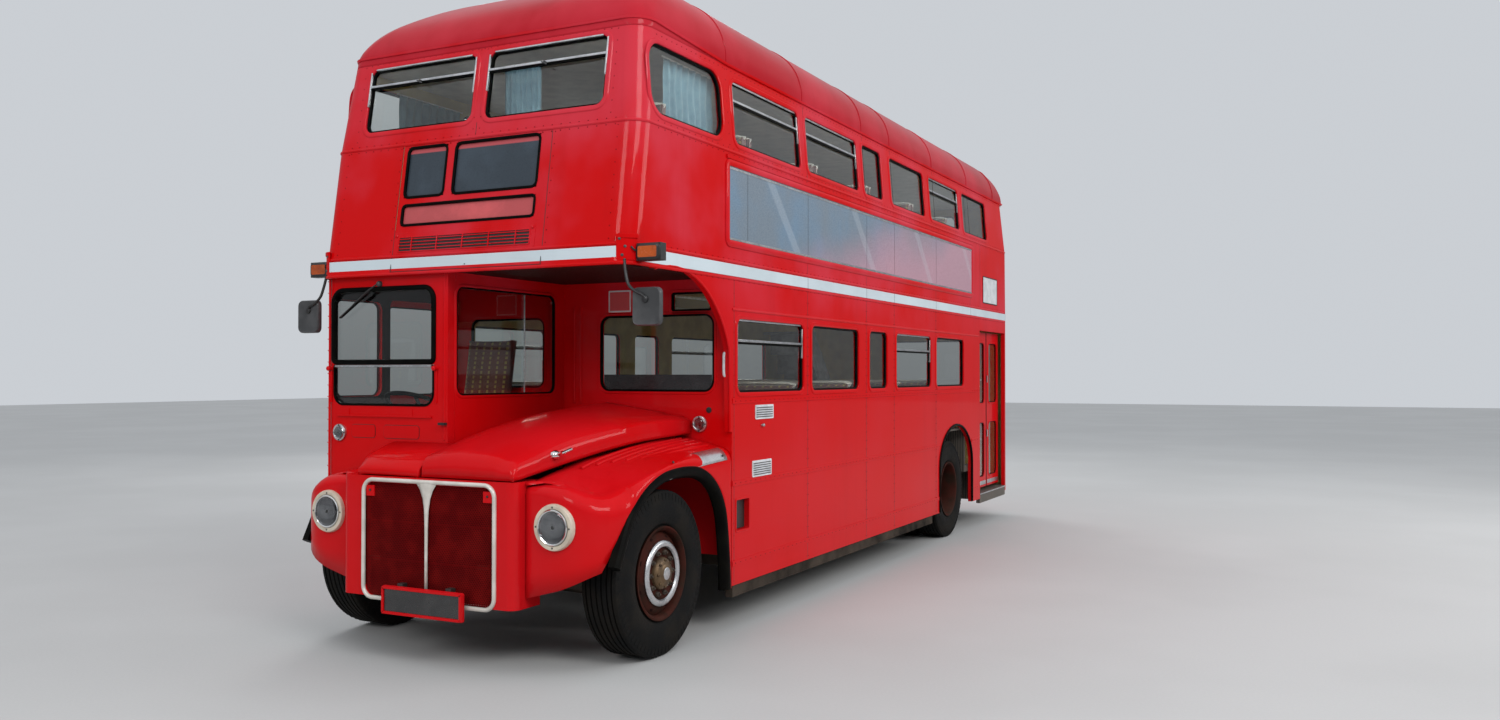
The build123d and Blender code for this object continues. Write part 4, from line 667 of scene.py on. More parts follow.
class Shape:
    """Gathers the points and faces of one piece, each face with the name of its finish."""

    def __init__(self, finish):
        self.finish, self.points, self.faces, self.names = finish, [], [], []

    def add(self, points, faces, finish=None):
        start = len(self.points)
        self.points += [tuple(p) for p in points]
        self.faces += [[start + i for i in face] for face in faces]
        self.names += [finish or self.finish] * len(faces)

    def hexahedron(self, corners, finish=None):
        faces = ((0, 1, 3, 2), (4, 6, 7, 5), (0, 4, 5, 1), (2, 3, 7, 6), (0, 2, 6, 4), (1, 5, 7, 3))
        self.add(corners, faces, finish)

    def box(self, x, y, z, finish=None):
        self.hexahedron([(a, b, c) for a in x for b in y for c in z], finish)

    def beam(self, x, distances, z):
        self.box(x, [aft(d) for d in distances], z)

    def bar(self, face, a, z, depth, finish=None):
        self.hexahedron([face.at(i, j, k) for i in a for j in z for k in depth], finish)

    def loft(self, rings, finish=None, around=False, caps=True):
        """Joins rings of equal length. around joins the last ring to the first."""
        size = len(rings[0])
        faces = []
        for i in range(len(rings) - (0 if around else 1)):
            low, high = i * size, (i + 1) % len(rings) * size
            for k in range(size):
                n = (k + 1) % size
                faces.append((low + k, low + n, high + n, high + k))
        if caps and not around:
            faces.append(tuple(range(size))[::-1])
            faces.append(tuple((len(rings) - 1) * size + k for k in range(size)))
        self.add([p for ring in rings for p in ring], faces, finish)

    def sheet(self, rows):
        """An open surface through rows of points."""
        size = len(rows[0])
        faces = [(i * size + k, i * size + k + 1, (i + 1) * size + k + 1, (i + 1) * size + k)
            for i in range(len(rows) - 1) for k in range(size - 1)]
        self.add([p for row in rows for p in row], faces)

    def sweep(self, stations, section, finish=None, around=False):
        """A section of (outwards, upwards) points carried past stations of (point, outwards, upwards)."""
        rings = [[Vector(p) + Vector(out) * o + Vector(up) * u for o, u in section]
            for p, out, up in stations]
        self.loft(rings, finish, around)

    def tube(self, path, radius, finish=None, sides=8):
        path = [Vector(p) for p in path]
        side = (path[1] - path[0]).normalized().orthogonal().normalized()
        rings = []
        for i, point in enumerate(path):
            ahead = (path[min(i + 1, len(path) - 1)] - path[max(i - 1, 0)]).normalized()
            side = (side - ahead * side.dot(ahead)).normalized()
            up = ahead.cross(side)
            rings.append([point + (side * cos(t) + up * sin(t)) * radius
                for t in (2 * pi * k / sides for k in range(sides))])
        self.loft(rings, finish)

    def rod(self, face, a, line, radius, finish=None):
        """A smooth round rod through (height, depth) points at one place along a face."""
        self.tube(smooth_rows([tuple(face.at(a, z, depth)) for z, depth in line], 3), radius, finish, 10)

    def turned(self, centre, axis, profile, finish=None, sides=32):
        """A closed profile of (along the axis, radius) points turned about the axis."""
        self.loft(list(zip(*circles(centre, axis, profile, sides))), finish, True)

    def disc(self, centre, axis, profile, finish=None, sides=32):
        """An open profile that starts on the axis, turned into a closed cap or dome."""
        self.loft(circles(centre, axis, profile, sides), finish)

    def rivet(self, point, out, radius=0.0045):
        dome = ((-0.001, radius), (radius * 0.35, radius * 0.85), (radius * 0.6, radius * 0.4))
        self.disc(point, out, dome, None, 6)

    def rivets(self, start, end, out, pitch=0.065, radius=0.0045):
        start, end = Vector(start), Vector(end)
        count = max(2, int((end - start).length / pitch) + 1)
        for k in range(count):
            self.rivet(start.lerp(end, k / (count - 1)), out, radius)

    def ring_on(self, face, a, z, radius, section, finish=None, steps=6):
        """A rounded rectangle on a face, with a section of (away from the hole, outwards) points."""
        rings = []
        for x, h, dx, dh in rounded(a, z, radius, steps):
            rings.append([face.at(x + dx * o, h + dh * o, d) for o, d in section])
        self.loft(rings, finish, True)

    def framed(self, face, outer, inner, depth):
        """A flat panel with a window: outer and inner are (a, z, radius)."""
        rings = []
        for (x, h, _, _), (i, j, _, _) in zip(rounded(*outer), rounded(*inner)):
            rings.append([face.at(x, h, depth[0]), face.at(x, h, depth[1]), face.at(i, j, depth[1]),
                face.at(i, j, depth[0])])
        self.loft(rings, None, True)

    def pane_on(self, face, a, z, radius, depth, finish=None, steps=6):
        line = rounded(a, z, radius, steps)
        self.loft([[face.at(x, h, d) for x, h, _, _ in line] for d in depth], finish)

    def piece(self, name, body="coachwork", slot=None, stands_for=(), bevel=0.0, smooth=35, thick=0.0):
        mesh = bpy.data.meshes.new(name)
        mesh.from_pydata(self.points, [], self.faces)
        used = sorted(set(self.names))
        for finish in used:
            mesh.materials.append(finish_named(finish))
        mesh.polygons.foreach_set("material_index", [used.index(n) for n in self.names])
        work = bmesh.new()
        work.from_mesh(mesh)
        bmesh.ops.recalc_face_normals(work, faces=work.faces)
        work.to_mesh(mesh)
        work.free()
        mesh.polygons.foreach_set("use_smooth", [True] * len(mesh.polygons))
        mesh.set_sharp_from_angle(angle=radians(smooth))
        made = bpy.data.objects.new(name, mesh)
        bpy.context.scene.collection.objects.link(made)
        if thick:
            shell = made.modifiers.new("thickness", "SOLIDIFY")
            shell.thickness, shell.offset = thick, -1.0
        if bevel:
            edge = made.modifiers.new("edges", "BEVEL")
            edge.width, edge.segments, edge.limit_method, edge.angle_limit = bevel, 2, "ANGLE", radians(40)
        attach(made, body)
        if stands_for:
            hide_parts(*stands_for)
        return made


def rounded(a, z, radius, steps=6):
    """Points of a rounded rectangle with their directions outwards. radius may be a top and a lower one."""
    top, low = radius if isinstance(radius, tuple) else (radius, radius)
    line = []
    for x, h, turn, r in ((a[1] - top, z[1] - top, 0, top), (a[0] + top, z[1] - top, 90, top),
            (a[0] + low, z[0] + low, 180, low), (a[1] - low, z[0] + low, 270, low)):
        for k in range(steps + 1):
            t = radians(turn + 90 * k / steps)
            line.append((x + r * cos(t), h + r * sin(t), cos(t), sin(t)))
    return line


def body_stations(z_of, distances=(7.99, 6.0, 4.0, 2.0, 0.8)):
    """Stations round the body at a height, from the nearside rear forwards and back along the offside."""
    stations = []
    for sign in (1, -1):
        line = []
        for distance in distances:
            z = z_of(distance)
            line.append((sign * table_at(BODY_LINE, z)[0], distance, sign, 0.0, z))
        z = z_of(-0.2)
        half, front, _, radius, _ = table_at(BODY_LINE, z)
        for k in range(11):
            t = radians(90 * k / 10)
            line.append((sign * (half - radius + radius * cos(t)), front + radius - radius * sin(t),
                sign * cos(t), -sin(t), z))
        for x, distance, out_x, out_y, z in (line if sign > 0 else reversed(line)):
            stations.append(((x, aft(distance), z), (out_x, out_y, 0), (0, 0, 1)))
    return stations


# The roof and the upper deck


def roof_rows():
    """The roof's sections, smoothed: height, half width, front, rear, radius."""
    start = next(i for i, row in enumerate(BODY_LINE) if row[0] == CANT_Z)
    rows = [(z, w, f, r, rf) for z, w, f, r, rf, _ in BODY_LINE[start:]]
    return smooth_rows(rows, 5)


def roof_ring(row, inset=0.0, drop=0.0):
    z, half, front, rear, radius = row
    half, front, rear, radius = half - inset, front + inset, rear - inset, max(radius - inset * 0.5, 0.02)
    ring = []
    for x, y, turn in ((half - radius, rear - radius, 0), (-half + radius, rear - radius, 90),
            (-half + radius, front + radius, 180), (half - radius, front + radius, 270)):
        ring += [(x + radius * cos(radians(turn + 10 * k)), aft(y + radius * sin(radians(turn + 10 * k))),
            z - drop) for k in range(10)]
    return ring


def roof_section(distance, lift):
    """Points across the roof at one place, from the nearside gutter to the offside one."""
    half_line = []
    for z, half, front, rear, radius in roof_rows():
        if front < distance < rear:
            near = max(front + radius - distance, distance - rear + radius, 0.0)
            x = half - radius + sqrt(max(radius ** 2 - near ** 2, 0.0))
            half_line.append((x + lift * 0.7, aft(distance), z + lift * 0.7))
    other = [(-x, y, z) for x, y, z in reversed(half_line)]
    return half_line + other


def build_roof():
    shell = Shape("roof_red")
    rows = roof_rows()
    rows.append([4.379, 0.02, 1.25, 6.65, 0.015])
    shell.loft([roof_ring(row) for row in rows], None, False, False)
    top = roof_ring(rows[-1])
    shell.add(top, [tuple(range(len(top)))])
    shell.piece("roof_skin", stands_for=("roof",), thick=0.012)
    lining_and_shade = Shape("lining_pale")
    inner = [roof_ring(row, 0.045, 0.045) for row in rows if row[0] > CANT_Z + 0.05]
    lining_and_shade.loft([roof_ring(rows[0], 0.045, 0.0)] + inner)
    lining_and_shade.piece("upper_ceiling")
    seams = Shape("roof_red")
    for distance in (0.8, *BAYS, 7.6):
        stations = [(p, (0, 1, 0), Vector((p[0] * 0.9, 0, 0.6)).normalized())
            for p in roof_section(distance, 0.0015)]
        seams.sweep(stations, mm((-13, -4), (-11, 3), (11, 3), (13, -4)))
    seams.piece("roof_joint_strips")


def gutter_height(distance):
    """The gutter is higher round the front than along the sides."""
    return table_at(mm((-300, 3850), (100, 3835), (800, 3800), (8000, 3800)), distance)[0]


def build_gutters():
    shape = Shape("coach_red")
    stations = body_stations(gutter_height, (8.0, 5.0, 2.0, 0.8, 0.4, 0.1))
    shape.sweep(stations, mm((-4, -12), (14, -10), (18, 4), (12, 6), (-4, 10)))
    shape.piece("rain_gutter")


def build_mouldings():
    """Raised beads along the sides, front and rear."""
    shape = Shape("coach_red")
    bead = mm((-2, -11), (5, -8), (8, 0), (5, 8), (-2, 11))
    flat = mm((-2, -20), (4, -18), (4, 18), (-2, 20))
    for z in (BAND_Z[0] - 0.01, BAND_Z[1] + 0.01, SILL_Z):
        shape.sweep(body_stations(lambda d, z=z: z), bead)
    for face, _, sign in SIDES:
        out = (sign, 0, 0)
        rear = JAMB if sign > 0 else TRIM_END
        low, middle, top = BEAD_ROWS
        for z, section, start, end in (
                (low, flat, 0.8, 5.35), (middle, flat, 0.8, 5.36), (top, flat, 0.8, rear),
                (2.15, bead, 0.8, rear), (low, flat, 6.54, rear), (middle, flat, 6.52, rear)):
            ends = [(face.at(d, z), out, (0, 0, 1)) for d in (start, end)]
            shape.sweep(ends, section)
    shape.piece("side_mouldings")


def build_rivets():
    """Rows of rivets along the joints."""
    shape = Shape("rivet_red")
    for face, upper, sign in SIDES:
        out = (sign, 0, 0)
        rear = JAMB if sign > 0 else TRIM_END
        for bay in (0.81, *BAYS[:-1]):
            for z in mm((330, 430), (470, 960), (1000, 1510), (1560, 2140), (2170, 2345)):
                for shift in (-0.014, 0.014):
                    if bay < 0.9 and shift < 0:
                        continue
                    shape.rivets(face.at(bay + shift, z[0]), face.at(bay + shift, z[1]), out, 0.07, 0.0038)
        for z in BEAD_ROWS:
            for start, end in ((0.84, 5.33), (6.56, rear)):
                shape.rivets(face.at(start, z, 0.004), face.at(end, z, 0.004), out, 0.075)
        for z in (2.345, 2.484, 3.185, 3.228):
            target = face if z < SILL_Z else upper
            shape.rivets(target.at(-0.15, z), target.at(7.95, z), out, 0.075, 0.004)
        for bay in (0.77, *BAYS, 7.2 + 0.06):
            shape.rivets(upper.at(bay, 3.25), upper.at(bay, 3.76), out, 0.07, 0.0038)
        shape.rivets(upper.at(-0.1, 3.765), upper.at(7.95, 3.765), out, 0.06, 0.004)
    for x in (-0.605, 0.62, -1.07, 1.07):
        shape.rivets(FRONT_PANEL.at(x, 2.5), FRONT_PANEL.at(x, 3.18), FRONT_PANEL.out, 0.07, 0.0038)
    for z, reach in ((3.225, 1.05), (3.185, 1.05)):
        face = FRONT_UP if z > SILL_Z else FRONT_PANEL
        shape.rivets(face.at(-reach, z), face.at(reach, z), face.out, 0.065, 0.004)
    for x in (-1.01, -0.026, 0.026, 1.01):
        shape.rivets(FRONT_UP.at(x, 3.26), FRONT_UP.at(x, 3.78), FRONT_UP.out, 0.07, 0.0038)
    shape.rivets(FRONT_UP.at(-0.96, 3.785), FRONT_UP.at(0.96, 3.785), FRONT_UP.out, 0.05, 0.004)
    for z in (*BEAD_ROWS, 2.345, 2.484, 3.185):
        shape.rivets(REAR.at(-0.98, z, 0.001), REAR.at(0.98, z, 0.001), REAR.out, 0.075, 0.004)
    shape.piece("rivets", smooth=60)


def build_joint_lines():
    """Thin dark lines where two panels meet."""
    shape = Shape("coach_black")

    def line(face, place_of, z, half=0.0018, depth=(-0.002, 0.0006)):
        shape.bar(face, (place_of - half, place_of + half), z, depth)

    for face, upper, _ in SIDES:
        for bay in (0.826, *BAYS[:-1]):
            for z in mm((310, 427), (470, 960), (1004, 1512), (1556, 2138), (2163, 2344)):
                line(face, bay, z)
        for bay in BAYS:
            line(face, bay, (3.206, 3.19))
            line(upper, bay, (3.215, 3.78))
            line(face, bay, (2.48, 2.556))
        line(face, 6.882, (2.48, 3.19), 0.002)
    for x in FRONT_JOINTS:
        line(FRONT_PANEL, x, (2.48, 3.19))
    line(FRONT_UP, 0.0, (3.22, 3.3))
    shape.piece("panel_joints")


# Depth of the joints on the raised band
RAISED = (0.003, 0.0042)


def build_band():
    """The pale band round the upper deck's foot."""
    shape = Shape("band_blue")
    middle = sum(BAND_Z) / 2
    half = (BAND_Z[1] - BAND_Z[0]) / 2 - 0.004
    section = ((-0.003, -half), (0.0035, -half + 0.002), (0.0035, half - 0.002), (-0.003, half))
    shape.sweep(body_stations(lambda d: middle), section)
    rear_corner = []
    half_width, _, rear, _, radius = table_at(BODY_LINE, middle)
    for sign in (1, -1):
        line = []
        for k in range(9):
            t = radians(90 * k / 8)
            line.append(((sign * (half_width - radius + radius * cos(t)),
                aft(rear - radius + radius * sin(t)), middle), (sign * cos(t), sin(t), 0), (0, 0, 1)))
        rear_corner += line if sign > 0 else list(reversed(line))
    shape.sweep(rear_corner, section)
    shape.piece("waist_band", bevel=0.001)
    lines = Shape("coach_black")
    for x in FRONT_JOINTS:
        lines.bar(FRONT_PANEL, about(x, 0.002), BAND_Z, RAISED)
    lines.bar(FRONT_PANEL, FRONT_JOINTS, (BAND_Z[0] + 0.001, BAND_Z[0] + 0.004), RAISED)
    lines.turned(FRONT_PANEL.at(0.02, 2.395), FRONT_PANEL.out, mm((2, 4), (4.6, 4),
        (4.6, 0), (2, 0)), None, 12)
    for face, _, _ in SIDES:
        for bay in BAYS:
            lines.bar(face, about(bay, 0.0015), BAND_Z, RAISED)
    lines.piece("band_joints")


# Sections of the seal in a window's opening and of the raised pan round it
SEAL = mm((-16, -30), (-16, -10), (-10, -6), (3, -6), (3, -30))
PAN = mm((-1, -16), (-1, 4), (4, 7), (26, 6), (32, 0), (32, -2))


def build_windows():
    """Rubber seals, raised pans and sliding vents of the saloon windows."""
    rubber, pans, metal = Shape("rubber"), Shape("coach_red"), Shape("silver")

    def edge(target, a, z, radius, steps=6):
        rubber.ring_on(target, a, z, radius, SEAL, None, steps)
        pans.ring_on(target, a, z, radius, PAN, None, steps)

    for face, upper, _ in SIDES:
        for window in LOWER_WINDOWS:
            edge(face, window, LOWER_WINDOW_Z, SIDE_WINDOW_RADIUS)
        for window in UPPER_WINDOWS:
            edge(upper, window, UPPER_WINDOW_Z, SIDE_WINDOW_RADIUS)
        edge(upper, QUARTER_WINDOW, QUARTER_WINDOW_Z, QUARTER_RADIUS, 10)
        # Sliding vents: a bar across, and channels down to it at both ends
        vents = [(upper, w, UPPER_WINDOW_Z, 3.562) for i, w in enumerate(UPPER_WINDOWS) if i in (0, 1, 4)]
        vents += [(face, w, LOWER_WINDOW_Z, 1.935) for i, w in enumerate(LOWER_WINDOWS) if i in (0, 3)]
        for target, (a, b), z, bar in vents:
            metal.bar(target, inset((a, b), 0.008), (bar, bar + 0.016), (-0.014, -0.002))
            rubber.bar(target, inset((a, b), 0.008), (bar - 0.016, bar), (-0.016, -0.005))
            for x in (a + 0.004, b - 0.018):
                metal.bar(target, (x, x + 0.014), (bar - 0.1, z[1] - 0.035), (-0.012, -0.001))
            metal.bar(target, inset((a, b), 0.03), (z[1] - 0.014, z[1] - 0.002), (-0.014, -0.004))
    for side in (-1, 1):
        a = sorted((side * FRONT_WINDOW_X[0], side * FRONT_WINDOW_X[1]))
        edge(FRONT_UP, a, FRONT_WINDOW_Z, 0.06)
        metal.bar(FRONT_UP, inset(a, 0.006), (3.627, 3.642), (-0.006, 0.01))
        rubber.bar(FRONT_UP, inset(a, 0.01), (3.615, 3.627), (-0.012, 0.004))
        metal.bar(FRONT_UP, inset(a, 0.04), (3.745, 3.755), (-0.006, 0.01))
        for x in (a[0] - 0.002, a[1] - 0.009):
            metal.bar(FRONT_UP, (x, x + 0.011), (3.5, 3.735), (-0.004, 0.01))
        catch = FRONT_UP.at(side * 0.5, 3.627, 0.0)
        metal.tube((catch, catch + FRONT_UP.out * 0.03), 0.007, "instrument")
        lever = catch + FRONT_UP.out * 0.028
        metal.tube((lever + Vector((-0.02, 0, 0)), lever + Vector((0.02, 0, -0.02))), 0.005, "instrument")
    edge(REAR_UP, (-0.56, 0.56), (3.23, 3.71), 0.07)
    edge(REAR, (-0.38, 0.72), (1.42, 2.14), 0.08)
    rubber.piece("window_rubbers")
    pans.piece("window_pans")
    metal.piece("vent_bars", bevel=0.0015)


def build_destination():
    """Glazed displays, their rubber edges, the louvre vent and the flap's hinges."""
    glazing = Shape("slate_sign")
    edge = Shape("rubber")
    red = Shape("coach_red")
    boxes = (((-0.545, -0.215), (2.847, 3.182), 0.04), ((-0.148, 0.514), (2.847, 3.182), 0.04),
        ((-0.545, 0.514), (2.665, 2.802), 0.03))
    rim = mm((-12, -13), (-12, 1), (-3, 4), (5, 2), (5, -3))
    for i, (a, z, radius) in enumerate(boxes):
        inner = (inset(a, 0.004), inset(z, 0.004))
        finish = "red_sign" if i == 2 else "slate_sign"
        glazing.pane_on(FRONT_PANEL, *inner, radius - 0.004, (-0.0145, -0.011), finish)
        edge.ring_on(FRONT_PANEL, a, z, radius, rim)
    glazing.piece("display_glazing")
    edge.piece("display_rubbers")
    # A flap with a louvre vent under the displays
    flap_a, flap_z, vent_a, vent_z = mm((-580, 540), (2477, 2619), (-530, 502), (2498, 2584))
    red.pane_on(FRONT_PANEL, flap_a, flap_z, 0.01, (-0.002, 0.004))
    red.ring_on(FRONT_PANEL, vent_a, vent_z, 0.008, mm((0, 3), (0, 10), (5, 10), (8, 3)))
    black = Shape("coach_black")
    black.pane_on(FRONT_PANEL, vent_a, vent_z, 0.008, (0.0035, 0.0052))
    slats, dividers = 4, 5
    for k in range(slats):
        z = vent_z[0] + 0.011 + k * 0.0205
        corners = [FRONT_PANEL.at(x, z + rise, depth) for x in vent_a for rise, depth in mm((0, 11),
            (2, 12), (6, 5), (8, 6))]
        red.hexahedron(corners)
    for k in range(dividers):
        x = vent_a[0] + (vent_a[1] - vent_a[0]) * (k + 0.5) / dividers
        red.bar(FRONT_PANEL, about(x, 0.003), vent_z, (0.004, 0.012))
    for x in inset(flap_a, 0.02):
        red.disc(FRONT_PANEL.at(x, 2.6, 0.004), FRONT_PANEL.out, mm((0, 12), (6, 11), (9, 6)), None, 16)
    red.piece("front_louvre_vent", bevel=0.001)
    black.piece("vent_shadow")


def build_adverts():
    """Long glazed panels in raised red frames on both sides, and a small plate behind each."""
    frames = Shape("coach_red")
    panels = Shape("advert_panel")
    trim = Shape("silver")
    inner_a, inner_z = (0.745, 6.53), (2.61, 3.105)
    for face, _, _ in SIDES:
        section = mm((0, -2), (0, 10), (6, 14), (34, 14), (46, 6), (46, -2))
        frames.ring_on(face, inner_a, inner_z, 0.01, section, None, 3)
        frames.bar(face, (inner_a[0] - 0.03, inner_a[1] + 0.03), (3.152, 3.178), (-0.002, 0.01))
        panels.bar(face, inner_a, inner_z, (0.0005, 0.0045))
        for z in (inner_z[1] - 0.02, inner_z[0] + 0.002):
            trim.bar(face, inner_a, (z, z + 0.014), (0.004, 0.0075))
        for bay in BAYS[:-1] + (1.02,):
            trim.bar(face, about(bay, 0.0015), inner_z, (0.004, 0.0052), "coach_black")
        plate_a, plate_z = (7.0, 7.62), (2.535, 2.845)
        panels.bar(face, inset(plate_a, 0.008), inset(plate_z, 0.008), (-0.001, 0.0025), "plate_white")
        trim.ring_on(face, plate_a, plate_z, 0.012, mm((-10, -1), (-10, 5), (0, 5),
            (0, -1)), "coach_black", 3)
    frames.piece("advert_surrounds", stands_for=("advert_frames",), bevel=0.001)
    panels.piece("advert_sheets")
    trim.piece("advert_trim")


# The front end


WING_INNER = mm((-700, 668, 1078), (-480, 690, 1132), (-180, 715, 1198), (160, 745, 1243),
    (480, 780, 1272), (790, 800, 1288))
# Height of the wing's outer shoulder round its plan outline: distance along it from the inner front corner
WING_TOP = mm((0, 1078, 50), (150, 1080, 60), (260, 1072, 80), (400, 1040, 110), (480, 1025, 120),
    (600, 1035, 130), (720, 1065, 130), (900, 1120, 120), (1150, 1170, 110),
    (1450, 1205, 100), (1950, 1232, 100))
WING_FOOT = mm((600, 410), (900, 490), (1000, 530), (1219, 640))
ARCH = mm((-600, 630), (-565, 700), (-470, 880), (-370, 985), (-241, 1064), (-90, 1117), (60, 1135),
    (210, 1137), (360, 1120), (500, 1065), (610, 975), (680, 870), (720, 750), (755, 500), (769, 290))
WING_FRONT, WING_CORNER, WING_INNER_X = -0.7, 0.3, 0.67
# The outline's straight front and its corner, and what a place on the side adds to a distance along it
WING_STRAIGHT, WING_CURVE = SIDE - WING_CORNER - WING_INNER_X, WING_CORNER * pi / 2
WING_BEGIN, WING_REAR = WING_FRONT + WING_CORNER, 0.79
WING_SHIFT = WING_STRAIGHT + WING_CURVE - WING_BEGIN


def wing_outline(s):
    """Plan point and outward direction at a distance s from the inner front corner."""
    if s <= WING_STRAIGHT:
        return WING_INNER_X + s, WING_FRONT, 0.0, -1.0
    if s <= WING_STRAIGHT + WING_CURVE:
        t = (s - WING_STRAIGHT) / WING_CORNER
        return SIDE - WING_CORNER + WING_CORNER * sin(t), WING_FRONT + WING_CORNER * (1
            - cos(t)), sin(t), -cos(t)
    return SIDE, s - WING_SHIFT, 1.0, 0.0


def wing_columns():
    """Columns of points from the wing's foot, over its shoulder, to its inner edge."""
    marks = [WING_STRAIGHT * k / 8 for k in range(8)]
    marks += [WING_STRAIGHT + WING_CURVE * k / 10 for k in range(11)]
    feet = {d + WING_SHIFT: z for d, z in smooth_rows(ARCH, 4) if d > WING_BEGIN - 0.0001}
    marks += [m for m in feet if m > WING_STRAIGHT + WING_CURVE + 0.001]
    end = WING_REAR + WING_SHIFT
    marks.append(end)
    feet[end] = 0.29
    columns = []
    for s in marks:
        x, y, out_x, out_y = wing_outline(s)
        top, radius = table_at(WING_TOP, s)
        arch_z = table_at(ARCH, y)[0] if y > ARCH[0][0] else 0.0
        front_z = table_at(WING_FOOT, x)[0]
        corner_arch = arch_z if x > 1.03 and y > ARCH[0][0] else 0.0
        foot = feet.get(s, max(front_z, corner_arch))
        share = max(0.0, (s / end - 0.1) / 0.9) ** 0.92
        inner_y = WING_FRONT + 0.004 + (WING_REAR - WING_FRONT - 0.004) * share
        inner_x, inner_z = table_at(WING_INNER, inner_y)
        radius = min(radius, max(top - foot - 0.012, 0.02))
        column = [(x, aft(y), foot + (top - radius - foot) * k / 4) for k in range(5)]
        bulge = Vector((out_x, out_y, 0))
        centre = Vector((x, aft(y), top - radius)) - bulge * radius
        for k in range(1, 7):
            t = radians(90 * k / 7)
            column.append(tuple(centre + bulge * radius * cos(t) + Vector((0, 0, radius * sin(t)))))
        crest = centre + Vector((0, 0, radius))
        goal = Vector((inner_x, aft(inner_y), inner_z))
        for k in range(8):
            t = k / 7
            point = crest.lerp(goal, t)
            point.z += 0.012 * sin(pi * t)
            column.append(tuple(point))
        columns.append(column)
    return columns


def build_wings():
    trim = Shape("rubber")
    wing = Shape("wing_red")
    for side in (1, -1):
        columns = wing_columns()
        if side < 0:
            limit = CAB_FRONT - 0.006
            columns = [[(-x, y, min(z, 0.996) if y > aft(limit) else z) for x, y, z in column]
                for column in columns]
        wing.sheet(columns)
        arch = smooth_rows(ARCH, 4)
        stations = []
        for i, (d, z) in enumerate(arch):
            ahead = arch[min(i + 1, len(arch) - 1)]
            behind = arch[max(i - 1, 0)]
            run = hypot(ahead[0] - behind[0], ahead[1] - behind[1])
            normal = ((ahead[1] - behind[1]) / run, -(ahead[0] - behind[0]) / run)
            stations.append(((side * SIDE, aft(d), z), (side, 0, 0), (0, normal[0], normal[1])))
        section = mm((-50, -8), (-4, -8), (10, 4), (12, 26), (4, 48), (-14, 64), (-40, 70), (-55, 62))
        trim.sweep(stations, section)
    wing.piece("front_wing_skins", stands_for=("front_wings",), thick=0.01, smooth=50)
    # The rear arches: straight legs and a round top
    for side in (1, -1):
        line = [(5.354, 0.31), (5.354, 0.54)]
        line += [(5.947 - 0.593 * cos(radians(t)), 0.76 + 0.417 * sin(radians(t)))
            for t in range(0, 181, 10)]
        line += [(6.54, 0.54), (6.54, 0.31)]
        trim.tube([(side * (SIDE + 0.002), aft(d), z) for d, z in line], 0.013)
    trim.piece("arch_rubbers")
    ribs = Shape("coach_red")
    flutes = 6
    for k in range(flutes):
        x, start = 0.8 + 0.05 * k, -0.34 + 0.085 * k
        path = []
        for i in range(14):
            d = start + i * (0.7 - start) / 13
            reach = x + 0.03 * i / 13
            path.append((reach, aft(d), wing_height(reach, d) + 0.001))
        ribs.tube(path, 0.012, None, 10)
    ribs.piece("wing_ribs")
    plate = Shape("silver")
    rows = []
    for i in range(16):
        d = -0.01 + 0.74 * i / 15
        top, radius = table_at(WING_TOP, d + WING_SHIFT)
        radius += 0.003
        rows.append([(SIDE + 0.003 - radius + radius * cos(radians(t)), aft(d),
            top + 0.003 - radius + radius * sin(radians(t))) for t in range(12, 80, 8)])
    plate.sheet(rows)
    for d in (0.04, 0.68):
        plate.disc((SIDE - 0.008, aft(d), 1.178), (1, 0, 0.6), mm((-2, 8), (4, 8),
            (6, 4)), "coach_black", 10)
    plate.piece("wing_kick_plate", thick=0.002, smooth=50)


def wing_height(x, distance):
    """Height of the nearside wing's top under a point."""
    top, radius = table_at(WING_TOP, max(distance + WING_SHIFT, 0.6))
    inner_x, inner_z = table_at(WING_INNER, distance)
    crest_x = SIDE - radius
    t = min(max((crest_x - x) / (crest_x - inner_x), 0.0), 1.0)
    return top + (inner_z - top) * t + 0.012 * sin(pi * t)


# Bonnet sections from the front back: distance, heights of the offside edge, crown, shoulder and edge,
# then the X of the shoulder and edge, and the height of the seam
BONNET = mm(
    (-790, 1160, 1176, 1165, 1150, 560, 648, 1108),
    (-770, 1205, 1232, 1208, 1180, 563, 650, 1109),
    (-735, 1232, 1264, 1236, 1198, 566, 655, 1112),
    (-620, 1262, 1300, 1275, 1225, 572, 672, 1134),
    (-330, 1335, 1390, 1372, 1300, 600, 722, 1190),
    (0, 1392, 1450, 1430, 1362, 630, 790, 1248),
    (300, 1425, 1486, 1452, 1400, 662, 842, 1284),
    (780, 1468, 1518, 1448, 1412, 745, 905, 1312),
)


def bonnet_row(row):
    d, off_z, crown_z, shoulder_z, edge_z, shoulder_x, edge_x, seam_z = row
    across = ((-0.028, seam_z), (-0.028, seam_z + (off_z - seam_z) * 0.5), (-0.028, off_z - 0.006),
        (-0.02, off_z), (0.1, (off_z + crown_z * 2) / 3), (0.24, crown_z),
        (0.4, crown_z * 0.7 + shoulder_z * 0.3), (shoulder_x - 0.06, shoulder_z + 0.008),
        (shoulder_x + 0.012, shoulder_z - 0.012), ((shoulder_x + edge_x) / 2 + 0.02,
        (shoulder_z + edge_z) / 2), (edge_x, edge_z - 0.01), (edge_x + 0.004, edge_z * 0.6 + seam_z * 0.4),
        (edge_x + 0.006, seam_z + 0.02), (edge_x + 0.004, seam_z))
    return [(x, aft(d), z) for x, z in across]


